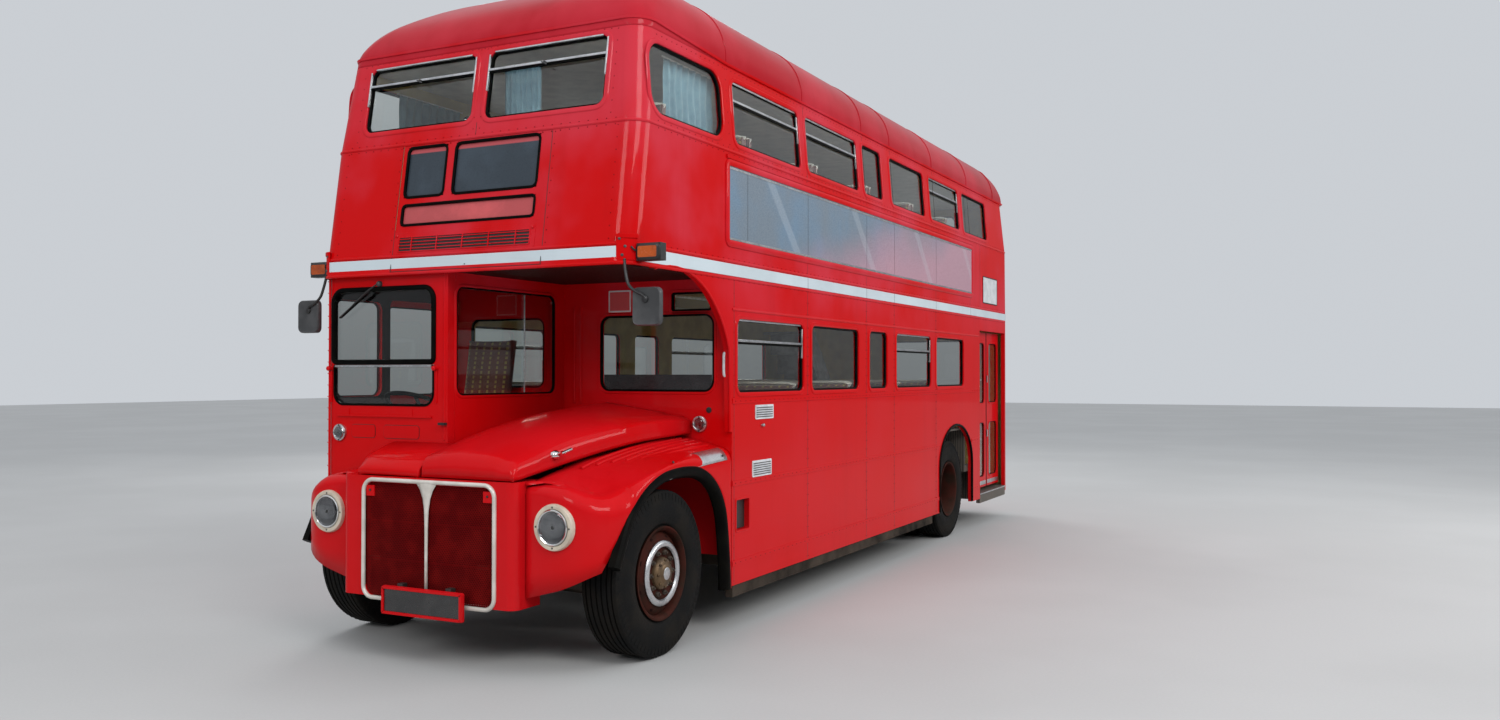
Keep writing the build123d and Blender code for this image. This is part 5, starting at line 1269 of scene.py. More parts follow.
def build_bonnet():
    cover = Shape("coach_red")
    rows = [bonnet_row(row) for row in smooth_rows(BONNET, 4)]
    foot = [(x, y - 0.001, 1.104 + (z - 1.104) * 0.02) for x, y, z in rows[0]]
    cover.sheet([foot] + rows)
    cover.piece("bonnet_skin", "engine_cover", stands_for=("bonnet",), thick=0.01, smooth=50)
    handle = Shape("chrome")
    out = Vector((1, -0.1, 0.28)).normalized()
    base = Vector((0.69, aft(-0.47), 1.232))
    handle.disc(base, out, mm((0, 30), (30, 28), (40, 20), (44, 8)), None, 24)
    handle.tube((base + out * 0.03, base + out * 0.095), 0.011, None, 12)
    grip = base + out * 0.098
    handle.tube([grip + Vector((0, t, 0.2 * t)) for t in (-0.04, -0.025, 0.0, 0.03,
        0.06)], 0.0105, None, 12)
    handle.piece("bonnet_handle", "engine_cover")
    strip = Shape("coach_red")
    rows = []
    for i in range(9):
        d = 0.1 + 0.62 * i / 8
        line = bonnet_row((d, *table_at(BONNET, d)))
        upper, lower = Vector(line[9]), Vector(line[10])
        out = Vector((1, 0, 0.35)).normalized()
        rise = (upper - lower) * (0.35 if i in (0, 8) else 0.75)
        rows.append([lower + rise * k / 4 + out * (0.001 if k in (0, 4) or i in (0, 8) else 0.009)
            for k in range(5)])
    strip.sheet(rows)
    strip.piece("bonnet_side_plate", "engine_cover")


def build_fairing():
    """Fixed cowl in front of the cab beside the bonnet."""
    rows = []
    for d, z, left in mm((-792, 1106, -540), (-788, 1140, -542), (-775, 1164, -548), (-720, 1204, -566),
            (-640, 1234, -600), (-436, 1284, -636)):
        low = min(1.104, z)
        rows.append([(left, aft(d), low), (left + 0.004, aft(d), z - 0.035 if z > 1.15 else z - 0.001),
            (left + 0.02, aft(d), z - 0.01 if z > 1.15 else z), (left + 0.06, aft(d), z), (-0.3, aft(d), z),
            (-0.072, aft(d), z - 0.002), (-0.056, aft(d), z - 0.01), (-0.054, aft(d), low)])
    shape = Shape("coach_red")
    shape.sheet(rows)
    shape.piece("cab_side_fairing", stands_for=("cab_fairing",), thick=0.008, smooth=50)


def build_cowl():
    """Radiator cowl, grille frame with its centre bar, the red mesh and the core behind it."""
    face = Face((0, aft(-0.8), 0.37), ACROSS)
    frame_shape = Shape("cream_metal")
    path = rounded((-0.477, 0.527), (0.363, 1.073), 0.07, 8)
    stations = []
    for x, z, dx, dz in path:
        crown = 0.012 * (1 - ((x - 0.025) / 0.5) ** 2) if z > 0.9 else 0.0
        stations.append((face.at(x, z + crown, 0.0), face.out, (dx, 0, dz)))
    section = [(0.004 + 0.014 * cos(radians(t)), 0.013 * sin(radians(t))) for t in range(0, 360, 30)]
    frame_shape.sweep(stations, section, None, True)
    flare = ((0.0, 0.012), (0.35, 0.012), (0.6, 0.013), (0.76, 0.018), (0.86, 0.03), (0.93, 0.05),
        (0.98, 0.075), (1.0, 0.09))
    rows = []
    for share, half in flare:
        z = 0.37 + (1.078 - 0.37) * share
        rows.append([face.at(0.022 + half * k, z, 0.006 + 0.01 * (1 - k * k))
            for k in (-1, -0.5, 0, 0.5, 1)])
    frame_shape.sheet(rows)
    front = frame_shape.piece("grille_frame", stands_for=("grille",), smooth=60)
    front.modifiers.new("thickness", "SOLIDIFY").thickness = 0.002
    lattice = Shape("grille_red")
    low_x, high_x, low_z, high_z = -0.463, 0.513, 0.377, 1.058
    pitch, half, slope = 0.0125, 0.0019, 1.75
    reach = (high_z - low_z) / slope
    count = int((high_x - low_x + reach) / pitch)
    for lean in (1, -1):
        for k in range(count):
            start = low_x - reach + k * pitch if lean > 0 else low_x + k * pitch
            xa, za, xb, zb = start, low_z, start + lean * reach, high_z
            for limit in (low_x, high_x):
                if (xa - limit) * (xb - limit) < 0:
                    t = (limit - xa) / (xb - xa)
                    z_cut = za + (zb - za) * t
                    if (xa < limit) == (limit == low_x):
                        xa, za = limit, z_cut
                    else:
                        xb, zb = limit, z_cut
            if max(xa, xb) > high_x + 1e-6 or min(xa, xb) < low_x - 1e-6 or zb - za < 0.01:
                continue
            depth = -0.008 + lean * 0.0012
            corners = [face.at(x + dx, z, depth + d) for x, z in ((xa, za), (xb, zb))
                for dx in (-half, half) for d in (-0.0012, 0.0012)]
            lattice.hexahedron(corners)
    for z in (0.377, 0.6, 0.83, 1.055):
        lattice.bar(face, (low_x, high_x), about(z, 0.003), (-0.014, -0.011))
    lattice.piece("grille_mesh")
    core = Shape("radiator_core")
    core.pane_on(face, (low_x, high_x), (low_z, high_z), 0.05, (-0.05, -0.04))
    core.piece("radiator_core")
    rim = Shape("coach_red")
    rim.ring_on(face, (-0.465, 0.515), (0.375, 1.06), 0.06, mm((0, -20), (0, 1), (12, 1), (12, -20)))
    for x in (-0.425, 0.476):
        rim.bar(face, about(x, 0.032), (0.975, 1.04), (-0.006, 0.004))
        rim.disc(face.at(x, 1.012, 0.004), face.out, mm((0, 8), (5, 7), (6, 3)), "coach_black", 8)
    rim.piece("grille_brackets", bevel=0.001)


def build_plates():
    plate = Shape("coach_red")
    face = Face((0, aft(-0.818), 0.37), ACROSS)
    a, z = (-0.275, 0.34), (0.285, 0.455)
    plate.pane_on(face, a, z, 0.012, (0.02, 0.036))
    plate.ring_on(face, a, z, 0.012, mm((-20, 34), (-18, 50), (-4, 50), (0, 34)))
    plate.pane_on(face, inset(a, 0.02), inset(z, 0.02), 0.006, (0.034, 0.041), "plate_black")
    for x in (-0.15, 0.22):
        plate.bar(face, about(x, 0.02), (0.33, 0.47), (-0.02, 0.022), "coach_black")
    plate.bar(REAR, (-0.56, -0.04), (0.56, 0.68), (0.0, 0.008), "coach_black")
    plate.bar(REAR, (-0.55, -0.05), (0.57, 0.67), (0.008, 0.011), "plate_black")
    plate.piece("blank_number_plates", slot="plate_black", stands_for=("number_plates",), bevel=0.001)


def lamp(shape, centre, out, radius, depth, ring):
    """A round lamp: fixing ring with screws, chrome bezel, bowl, bulb shield and domed glass."""
    out = Vector(out)
    r, d = radius, depth
    shape.turned(centre, out, ((-0.01, r), (d * 0.35, r), (d * 0.75, r * 0.965), (d * 0.85, r * 0.9),
        (d * 0.8, r * 0.8), (d * 0.45, r * 0.755), (-0.01, r * 0.75)), ring, 48)
    shape.turned(centre, out, ((0.0, r * 0.765), (d * 0.9, r * 0.77), (d * 1.05, r * 0.735),
        (d * 0.95, r * 0.69), (0.0, r * 0.68)), "chrome", 48)
    # The bowl is dark grey metal: painted shade inside the lamp.
    shape.disc(centre, out, ((d * 0.62, r * 0.69), (d * 0.4, r * 0.55), (d * 0.22, r * 0.35),
        (d * 0.14, r * 0.12)), "lamp_bowl", 40)
    shape.disc(centre, out, ((d * 0.15, r * 0.16), (d * 0.45, r * 0.15),
        (d * 0.62, r * 0.08)), "lamp_bulb", 16)
    shape.turned(centre, out, ((d * 0.5, r * 0.6), (d * 0.6, r * 0.61), (d * 0.6, r * 0.58),
        (d * 0.48, r * 0.57)), "instrument", 40)
    shape.disc(centre, out, ((d * 0.8, r * 0.705), (d * 0.86, r * 0.69), (d * 1.0, r * 0.55),
        (d * 1.12, r * 0.33), (d * 1.16, r * 0.08)), "lamp_glass", 40)
    across = out.orthogonal().normalized()
    up = out.cross(across)
    for k in range(4):
        t = radians(45 + 90 * k)
        spot = centre + (across * cos(t) + up * sin(t)) * r * 0.86 + out * (d * 0.78)
        shape.disc(spot, out, mm((0, 6), (3, 6), (4, 3)), "instrument", 8)


def build_lamps():
    shape = Shape("cream_ring")
    for side in (-1, 1):
        lamp(shape, Vector((side * 0.873, aft(WING_FRONT), 0.848)), (0, -1, 0), 0.134, 0.03, "cream_ring")
    lamp(shape, Vector((-1.065, aft(CAB_FRONT), 1.33)), (0, -1, 0), 0.056, 0.02, "silver")
    lamp(shape, Vector((0.975, aft(BULKHEAD), 1.377)), (0, -1, 0), 0.056, 0.02, "silver")
    for side in (-1, 1):
        for z, glass in ((0.9, "red_lens"), (1.01, "amber"), (1.12, "red_lens")):
            centre = Vector((side * 0.93, aft(BODY_REAR), z))
            shape.turned(centre, (0, 1, 0), mm((-3, 44), (12, 43), (14, 37), (-3, 36)), "chrome", 32)
            shape.disc(centre, (0, 1, 0), mm((0, 37), (10, 37), (17, 28), (19, 6)), glass, 32)
    shape.piece("headlamps_and_lamps", stands_for=("lamps",), smooth=40)


def build_indicators():
    """Amber lamps in black cases that stand out from the upper front corners on painted brackets."""
    shape = Shape("coach_black")
    for side in (-1, 1):
        front = Face((side * 1.3, aft(-0.405), 2.419), (side, 0, 0), flip=side < 0)
        shape.beam(sorted((side * 1.22, side * 1.384)), (-0.396, -0.334), (2.368, 2.47))
        shape.pane_on(front, (-0.066, 0.066), (2.384, 2.454), 0.012, (-0.004, 0.0045), "amber")
        shape.ring_on(front, (-0.066, 0.066), (2.384, 2.454), 0.012, mm((-4, -10), (-4, 4.8), (0, 4.8),
            (15, -4), (16, -10)))
        rear = Face((side * 1.3, aft(-0.334), 2.419), (side, 0, 0), flip=side > 0)
        shape.pane_on(rear, (-0.06, 0.06), (2.388, 2.45), 0.01, (-0.001, 0.003), "amber")
        # The bracket wraps the corner from the front face to the side
        line = []
        for k in range(13):
            turn = radians(14 + 58 * k / 12)
            out_x, out_y = side * sin(turn), -cos(turn)
            line.append(((side * 1.099 + 0.121 * out_x, aft(-0.346) + 0.121 * out_y, 2.44),
                (out_x, out_y, 0), (0, 0, 1)))
        shape.sweep(line, mm((0, -70), (10, -68), (10, 55), (16, 60), (16, 84), (0, 86)), "coach_red")
        for x, z in mm((1150, 2495), (1168, 2400), (1190, 2450)):
            angle = atan2(x - 1.099, 0.12)
            spot = (side * (1.099 + 0.13 * sin(angle)), aft(-0.346 - 0.13 * cos(angle)), z)
            shape.disc(spot, (side * sin(angle), -cos(angle), 0), mm((0, 10), (5, 9),
                (7, 4)), "instrument", 8)
        shape.tube([(side * 1.206, aft(-0.43), 2.45), (side * 1.222, aft(-0.42), 2.43),
            (side * 1.228, aft(-0.4), 2.425)], 0.006)
    shape.piece("corner_indicators", slot="amber_lens", stands_for=("indicators",), bevel=0.002)


def build_mirrors():
    shape = Shape("instrument")
    for side in (-1, 1):
        centre = Face((side * 1.33, aft(-0.45), 2.1), ACROSS)
        rows = []
        for depth, inset in mm((16, 16), (19, 6), (10, 1), (-14, 0), (-18, 4), (-18, 12)):
            line = rounded((-0.094 + inset, 0.094 - inset), (1.99 + inset, 2.21 - inset),
                0.035 - inset * 0.5, 6)
            rows.append([centre.at(x, z, depth) for x, z, _, _ in line])
        shape.loft(rows)
        shape.pane_on(centre, (-0.08, 0.08), (2.004, 2.196), 0.025, (-0.0205, -0.017), "chrome")
        arm = [(side * 1.325, aft(-0.468), 2.14), (side * 1.31, aft(-0.474), 2.165),
            (side * 1.265, aft(-0.472), 2.185), (side * 1.215, aft(-0.468), 2.225),
            (side * 1.192, aft(-0.462), 2.285), (side * 1.18, aft(-0.455), 2.34),
            (side * 1.175, aft(-0.45), 2.378)]
        shape.tube(smooth_rows(arm, 4), 0.009, "coach_black", 10)
        shape.disc((side * 1.325, aft(-0.462), 2.14), (0, -1, 0), mm((0, 22), (12, 20),
            (16, 10)), "coach_black", 16)
    shape.piece("driving_mirrors", slot="silver", stands_for=("mirrors",), smooth=50)


# The cab and the bulkhead


SCREEN_X, SCREEN_Z, SCREEN_SPLIT = (-1.13, -0.26), (1.51, 2.27), 1.79
CAB_WINDOW, CAB_WINDOW_Z = (-0.35, 0.68), (1.58, 2.27)
CAB_FIXED, CAB_FIXED_Z = (-0.35, 0.06), (1.56, 2.22)
# Bulkhead windows: X range, heights, corner radius
BULKHEAD_WINDOWS = (((0.17, 1.08), (1.6, 2.12), 0.07), ((0.755, 1.06), (2.15, 2.27), 0.015),
    ((-1.0, -0.33), (1.62, 2.12), 0.06))
THIN_SEAL = mm((-9, -14), (-9, 3), (1, 5), (6, 3), (6, -2))


def build_windscreen():
    """Thick rubber round the opening upper half, thin rubber round the lower one, and the wiper."""
    rubber = Shape("rubber")
    thick = mm((-20, -12), (-20, 6), (-14, 15), (6, 16), (13, 9), (14, -2))
    rubber.ring_on(CAB_FACE, SCREEN_X, (SCREEN_SPLIT, SCREEN_Z[1]), (0.085, 0.03), thick, None, 8)
    lower = (inset(SCREEN_X, 0.006), (SCREEN_Z[0] + 0.004, SCREEN_SPLIT - 0.022))
    rubber.ring_on(CAB_FACE, *lower, (0.012, 0.08), THIN_SEAL, None, 8)
    pivot, blade_top, blade_end = (CAB_FACE.at(x, z, 0.0) for x, z in mm((-719, 2300),
        (-784, 2258), (-1054, 2085)))
    out = CAB_FACE.out
    middle = blade_top.lerp(blade_end, 0.52)
    rubber.disc(pivot, out, mm((0, 20), (18, 18), (26, 8)), "instrument", 16)
    rubber.tube((pivot + out * 0.022, pivot.lerp(middle, 0.3) + out * 0.04, middle + out * 0.032),
        0.005, "coach_black")
    rubber.tube((blade_top + out * 0.026, middle + out * 0.031, blade_end + out * 0.026),
        0.004, "coach_black")
    across = (blade_end - blade_top).cross(out).normalized()
    rubber.sweep([(p, across, out) for p in (blade_top, blade_end)], mm((-2, 4), (-4, 26), (4, 26), (2, 4)))
    rubber.piece("windscreen_rubber_and_wiper", smooth=50)
    metal = Shape("silver")
    metal.bar(CAB_FACE, inset(SCREEN_X, 0.02), (SCREEN_SPLIT - 0.03, SCREEN_SPLIT - 0.016), (-0.006, 0.01))
    metal.bar(CAB_SIDE, (0.35, 0.355), inset(CAB_WINDOW_Z, 0.01), (-0.016, -0.006))
    metal.piece("cab_glass_edges", bevel=0.001)


def build_cab_front():
    """Ledge, knobs and flush panels on the cab's front, and the edges of its side windows."""
    shape = Shape("coach_red")
    shape.bar(CAB_FACE, (-1.088, -0.277), (1.437, 1.447), (-0.002, 0.012))
    for x in (-0.985, -0.44):
        shape.bar(CAB_FACE, about(x, 0.002), (1.448, 1.492), (-0.002, 0.004))
    for x in (-1.148, -0.24):
        shape.disc(CAB_FACE.at(x, 1.752, 0.0), CAB_FACE.out, mm((0, 14), (18, 12), (24, 16),
            (34, 15), (38, 8)), None, 16)
        shape.tube((CAB_FACE.at(x, 1.735, 0.003), CAB_FACE.at(x, 1.53, 0.003)), 0.006)
    for a in ((-0.96, -0.757), (-0.68, -0.383)):
        shape.pane_on(CAB_FACE, a, (1.302, 1.384), 0.02, (-0.001, 0.0035))
        shape.ring_on(CAB_FACE, a, (1.302, 1.384), 0.02, mm((0, -1), (0, 1.2), (3, 1.2),
            (3, -1)), "coach_black")
    bead = mm((-1, -8), (6, -5), (8, 0), (6, 5), (-1, 8))
    for x, z0, z1 in ((-1.165, 1.01, 2.35), (-0.175, 1.3, 2.35)):
        ends = [(CAB_FACE.at(x, z), CAB_FACE.out, (1, 0, 0)) for z in (z0, z1)]
        shape.sweep(ends, bead)
    for x, low in ((-0.161, 1.32), (-1.181, 1.03)):
        shape.rivets(CAB_FACE.at(x, low), CAB_FACE.at(x, 2.33), CAB_FACE.out, 0.075, 0.0038)
    pan = mm((-1, -10), (-1, 3), (4, 6), (18, 5), (24, -2))
    shape.ring_on(CAB_SIDE, CAB_WINDOW, CAB_WINDOW_Z, 0.06, pan)
    shape.ring_on(OFF, CAB_FIXED, CAB_FIXED_Z, 0.06, pan)
    shape.piece("cab_front_fittings", smooth=50)
    rubber = Shape("rubber")
    rubber.ring_on(CAB_SIDE, CAB_WINDOW, CAB_WINDOW_Z, 0.06, THIN_SEAL)
    rubber.ring_on(OFF, CAB_FIXED, CAB_FIXED_Z, 0.06, THIN_SEAL)
    rubber.bar(CAB_FACE, (-0.205, -0.155), (1.395, 1.41), (0.0, 0.03), "coach_black")
    rubber.piece("cab_window_rubbers")


def build_bulkhead():
    """Window seals, grab rails, the blank plate and the handle on the bulkhead."""
    rubber = Shape("rubber")
    for a, z, radius in BULKHEAD_WINDOWS:
        rubber.ring_on(BULKHEAD_FACE, a, z, radius, THIN_SEAL)
    rubber.pane_on(BULKHEAD_FACE, (0.19, 1.06), (1.604, 1.712), (0.004, 0.055),
        (-0.013, -0.01), "plate_black")
    rubber.disc(BULKHEAD_FACE.at(1.044, 1.473), BULKHEAD_FACE.out, mm((-2, 20), (4, 20),
        (5, 14)), "coach_black", 20)
    rubber.piece("bulkhead_window_rubbers")
    red = Shape("coach_red")
    for a, z, radius in BULKHEAD_WINDOWS:
        red.ring_on(BULKHEAD_FACE, a, z, radius, mm((4, -1), (6, 5), (20, 5), (24, -1)))
    for x in (-0.055, 0.0):
        red.rod(BULKHEAD_FACE, x, mm((1545, -6), (1560, 3), (2150, 3), (2168, -6)), 0.009)
    red.pane_on(BULKHEAD_FACE, (0.236, 0.421), (2.15, 2.303), 0.006, (0.0, 0.003), "plate_white")
    red.pane_on(BULKHEAD_FACE, (0.247, 0.41), (2.161, 2.292), 0.004, (0.003, 0.0045), "red_sign")
    red.piece("bulkhead_rails_and_plate", smooth=50)
    handle = Shape("vent_white")
    handle.rod(BULKHEAD_FACE, 1.178, mm((1700, 0), (1704, 30), (1730, 40), (1830, 40),
        (1856, 30), (1860, 0)), 0.0095)
    for z in (1.7, 1.86):
        handle.disc(BULKHEAD_FACE.at(1.178, z, 0.0), BULKHEAD_FACE.out,
            ((0.0, 0.02), (0.006, 0.018)), None, 16)
    handle.piece("boarding_handle", smooth=60)


def build_cab_door():
    """The sliding door on the offside: a thin panel with its window, handle and rollers."""
    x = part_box("cab_door")[1].x
    face = Face((x, AXLE_Y, 0), ALONG, flip=True)
    a, z, pane, pane_z = mm((100, 740), (1072, 2280), (165, 675), (1560, 2200))
    red = Shape("coach_red")
    red.framed(face, (a, z, 0.03), (pane, pane_z, 0.06), (0.0, 0.026))
    red.ring_on(face, pane, pane_z, 0.06, mm((-1, 18), (0, 30), (14, 30), (18, 25)))
    red.ring_on(face, (0.15, 0.69), (1.13, 1.49), 0.03, mm((-2, 25), (0, 29), (10, 29), (12, 25)))
    for d in (0.114, 0.726):
        red.rivets(face.at(d, 1.1, 0.026), face.at(d, 2.25, 0.026), face.out, 0.075)
    for height in (1.09, 2.262):
        for d in (0.16, 0.68):
            red.disc(face.at(d, height, -0.01), face.out, ((0.0, 0.016), (0.012, 0.016)), "instrument", 16)
    red.rod(face, 0.14, mm((1385, 24), (1388, 40), (1410, 44), (1450, 44), (1472, 40),
        (1475, 24)), 0.006, "silver")
    red.piece("cab_door_panel", "sliding_cab_door", stands_for=("cab_door",), smooth=50)
    seal = Shape("rubber")
    seal.ring_on(face, pane, pane_z, 0.06, mm((-10, 6), (-10, 20), (0, 22), (0, 6)))
    seal.piece("cab_door_seal", "sliding_cab_door")
    glass = Shape("glass")
    glass.pane_on(face, pane, pane_z, 0.06, (0.01, 0.015))
    glass.piece("cab_door_glass", "sliding_cab_door")


# The sides and the entrance


# Entrance leaves: name, body, front and rear edges, side of the handle
LEAVES = (("front", "front_folding_leaf", (6.873, 7.42), 7.345), ("rear", "rear_folding_leaf",
    (7.43, 7.97), 7.505))


def build_leaf(row):
    """One leaf of the folding door: a framed panel, two panes, rubber edges and a handle."""
    name, body, (start, end), handle_at = row
    face = Face((1.112, AXLE_Y, 0), ALONG)
    panes = ((0.52, 1.15), (1.38, 2.08))
    edge_a = inset((start, end), 0.012)
    red, rubber, glass = Shape("coach_red"), Shape("rubber"), Shape("glass")
    a = inset((start, end), 0.09)
    for span_z, pane in zip(((0.4, 1.265), (1.265, 2.205)), panes):
        red.framed(face, (edge_a, span_z, 0.002), (a, pane, 0.06), (0.0, 0.028))
        red.ring_on(face, a, pane, 0.06, mm((0, 20), (2, 33), (18, 33), (22, 27)))
        rubber.ring_on(face, a, pane, 0.06, mm((-10, 8), (-10, 20), (0, 24), (0, 8)))
        glass.pane_on(face, a, pane, 0.06, (0.012, 0.017))
    for a0, a1 in ((start, start + 0.012), (end - 0.012, end)):
        rubber.bar(face, (a0, a1), (0.405, 2.2), (0.002, 0.028))
    rubber.bar(face, edge_a, (0.392, 0.4), (0.004, 0.024))
    red.bar(face, inset((start, end), 0.03), (0.425, 0.47), (0.027, 0.03), "silver")
    red.rod(face, handle_at, mm((950, 2), (955, -30), (1000, -40), (1600, -40), (1645, -30), (1650, 2)),
        0.011, "cream_metal")
    heights, radius = ((0.66, 2.02), 0.009) if name == "front" else ((1.02, 1.66), 0.0065)
    for z in heights:
        red.tube([(1.15, aft(start + 0.005), z + rise) for rise in (-0.04, 0.04)], radius, "silver", 12)
    red.piece(name + "_leaf_panel", body, stands_for=(name + "_door_leaf",), smooth=50)
    rubber.piece(name + "_leaf_rubbers", body)
    glass.piece(name + "_leaf_glass", body)


def build_side_fittings():
    """Louvre vents, a latch, the step hole and the bead round the canopy's bracket on the nearside."""
    vents = Shape("vent_white")
    for a, z, slots in (((1.141, 1.43), (1.401, 1.501), 5), ((1.094, 1.397), (1.002, 1.115), 6)):
        vents.pane_on(NEAR, a, z, 0.01, (-0.001, 0.005))
        for k in range(slots):
            low = z[0] + 0.012 + (z[1] - z[0] - 0.02) * k / slots
            # A black strip under each slat: painted shade in the slot.
            vents.bar(NEAR, inset(a, 0.014), (low, low + 0.006), (0.004, 0.0055), "coach_black")
            vents.hexahedron([NEAR.at(i, low + rise, depth) for i in inset(a, 0.014)
                for rise, depth in mm((6, 5), (6, 6), (11, 10), (13, 5))])
    vents.piece("side_louvre_vents")
    bits = Shape("coach_black")
    # The step hole's back is a black sheet: painted shade inside the hole.
    bits.pane_on(NEAR, (0.862, 1.044), (0.666, 0.864), 0.012, (-0.038, -0.034))
    bits.bar(NEAR, (1.23, 1.272), (1.352, 1.364), (0.0, 0.01), "silver")
    bits.disc(NEAR.at(1.251, 1.358, 0.008), (1, 0, 0), mm((0, 12), (10, 11), (14, 6)), "silver", 16)
    bits.piece("step_hole_and_latch", bevel=0.001)
    bead = Shape("coach_red")
    middle, radius, turn = bracket_arc()
    turns = [turn[0] + (turn[1] - turn[0]) * k / 14 for k in range(15)]
    line = [(middle[0] + radius * cos(t), middle[1] + radius * sin(t)) for t in turns]
    line += [(0.77, 1.6), (0.775, 1.33)]
    bead.tube([(SIDE - 0.004, aft(d), z) for d, z in line], 0.009, None, 10)
    bead.ring_on(NEAR, (0.855, 1.049), (0.659, 0.869), 0.014, mm((-4, -4), (-2, 4), (10, 4), (12, -1)))
    bead.piece("bracket_bead_and_step_rim", smooth=50)


def bracket_arc():
    """Middle, radius and turn of the circle through the canopy bracket's three points."""
    (ax, ay), (bx, by), (cx, cy) = mm((-180, 2345), (480, 2235), (762, 1880))
    d = 2 * (ax * (by - cy) + bx * (cy - ay) + cx * (ay - by))
    a2, b2, c2 = ax * ax + ay * ay, bx * bx + by * by, cx * cx + cy * cy
    x = (a2 * (by - cy) + b2 * (cy - ay) + c2 * (ay - by)) / d
    y = (a2 * (cx - bx) + b2 * (ax - cx) + c2 * (bx - ax)) / d
    return (x, y), hypot(ax - x, ay - y), (atan2(ay - y, ax - x), atan2(cy - y, cx - x))


def build_rear_fittings():
    """The entrance platform's edge and pole, and round bosses on the rear panel."""
    shape = Shape("silver")
    shape.bar(NEAR, (JAMB + 0.045, REAR_POST - 0.005), (0.345, 0.358), (-0.002, 0.004))
    for sign in (1, -1):
        for z in (1.22, 1.34):
            shape.disc(REAR.at(sign * 0.93, z), REAR.out, mm((0, 20), (8, 18), (12, 10)), "instrument", 16)
    shape.piece("platform_edge", bevel=0.001)
    pole = Shape("cream_metal")
    pole.tube(((0.2, aft(PLATFORM_POLE), LOWER_PLATFORM_Z), (0.2, aft(PLATFORM_POLE),
        2.34)), 0.017, None, 16)
    for z in (LOWER_PLATFORM_Z, 2.33):
        pole.disc((0.2, aft(PLATFORM_POLE), z), (0, 0, 1), mm((0, 45), (8, 40), (10, 20)), None, 20)
    pole.piece("platform_pole", smooth=60)


# The saloons


LOWER_PLATFORM_Z = 0.36
PLATFORM_POLE = 6.83
# Pairs of seats that face each other: the places of their backs behind the axle
LOWER_PAIRS = mm((905, 1940), (2030, 3065), (3155, 4190), (4280, 5230))
UPPER_PAIRS = tuple((0.06 + 1.18 * n, 1.15 + 1.18 * n) for n in range(5))
SALOONS = (("lower", LOWER_PAIRS, LOWER_FLOOR_Z, 1.16), ("upper", UPPER_PAIRS, UPPER_FLOOR_Z, 1.13))
SEAT_INNER = 0.3
BENCH_START, BENCH_LENGTH = 5.41, 0.445
PAD_GRID = 0.028
PAD_LIMIT = 0.016
CHANNEL_WIDTH = 0.03


def pad_mesh(name, size, held):
    """A closed box of even squares, blown up by the cloth solver while its held side stays flat."""
    counts = [max(2, round(s / PAD_GRID)) for s in size]
    index, points, faces = {}, [], []

    def corner(i, j, k):
        if (i, j, k) not in index:
            index[(i, j, k)] = len(points)
            points.append([size[n] * ((i, j, k)[n] / counts[n] - 0.5) for n in range(3)])
        return index[(i, j, k)]

    for axis in range(3):
        u, v = (axis + 1) % 3, (axis + 2) % 3
        for end in (0, counts[axis]):
            for a in range(counts[u]):
                for b in range(counts[v]):
                    square = []
                    for da, db in ((0, 0), (1, 0), (1, 1), (0, 1)):
                        place_of = [0, 0, 0]
                        place_of[axis], place_of[u], place_of[v] = end, a + da, b + db
                        square.append(corner(*place_of))
                    faces.append(square if end else square[::-1])
    mesh = bpy.data.meshes.new(name)
    mesh.from_pydata(points, [], faces)
    start = [Vector(p) for p in points]
    goal = [blown(p, size, held) for p in start]
    goal = simulated(mesh, size, held, goal)
    return [tuple(p) for p in goal], faces


def blown(point, size, held):
    """Where a point goes on a pad drawn by formula: crowned faces, and sides drawn in between corners."""
    axis, sign = held
    shares = [2 * point[n] / size[n] for n in range(3)]
    others = [n for n in range(3) if n != axis]
    crown = (1 - shares[others[0]] ** 2) * (1 - shares[others[1]] ** 2)
    moved = Vector(point)
    if shares[axis] * sign < 0.99:
        moved[axis] -= sign * PAD_LIMIT * crown * (0.5 - 0.5 * shares[axis] * sign)
    for n, other in (others, others[::-1]):
        if abs(shares[n]) > 0.99:
            moved[n] -= (1 if shares[n] > 0 else -1) * PAD_LIMIT * 0.4 * (1 - shares[other] ** 2)
    return moved


def simulated(mesh, size, held, fallback):
    """The same cushion by cloth simulation under pressure, with each point's way limited."""
    axis, sign = held
    body = bpy.data.objects.new(mesh.name, mesh)
    bpy.context.scene.collection.objects.link(body)
    pins = body.vertex_groups.new(name="held")
    flat = [i for i, v in enumerate(mesh.vertices) if sign * v.co[axis] > size[axis] / 2 - 0.001]
    pins.add(flat, 1.0, "REPLACE")
    cloth = body.modifiers.new("cloth", "CLOTH")
    cloth.settings.use_pressure, cloth.settings.uniform_pressure_force = True, 4.0
    cloth.settings.vertex_group_mass = "held"
    cloth.settings.effector_weights.gravity = 0.0
    cloth.settings.tension_stiffness = cloth.settings.compression_stiffness = 40.0
    for frame_number in range(1, 21):
        bpy.context.scene.frame_set(frame_number)
    result = body.evaluated_get(bpy.context.evaluated_depsgraph_get()).data
    found = []
    for before, after, goal in zip(mesh.vertices, result.vertices, fallback):
        way = after.co - before.co
        if way.length > PAD_LIMIT:
            way *= PAD_LIMIT / way.length
        found.append(before.co + way * 0.5 + (goal - before.co) * 0.5)
    bpy.context.scene.frame_set(1)
    bpy.data.objects.remove(body)
    return found


def sewn(mesh, depth, axis):
    """The pad with a sewn channel: points near its middle are drawn in from its outer face."""
    points = []
    for p in mesh[0]:
        q = list(p)
        if p[axis] > 0:
            q[axis] -= depth * 2.718 ** (-(p[0] / CHANNEL_WIDTH) ** 2)
        points.append(tuple(q))
    return points, mesh[1]


def add_pad(shape, mesh, centre, flip_y=1, flip_x=1):
    points, faces = mesh
    moved = [(centre[0] + flip_x * x, centre[1] + flip_y * y, centre[2] + z) for x, y, z in points]
    shape.add(moved, faces)


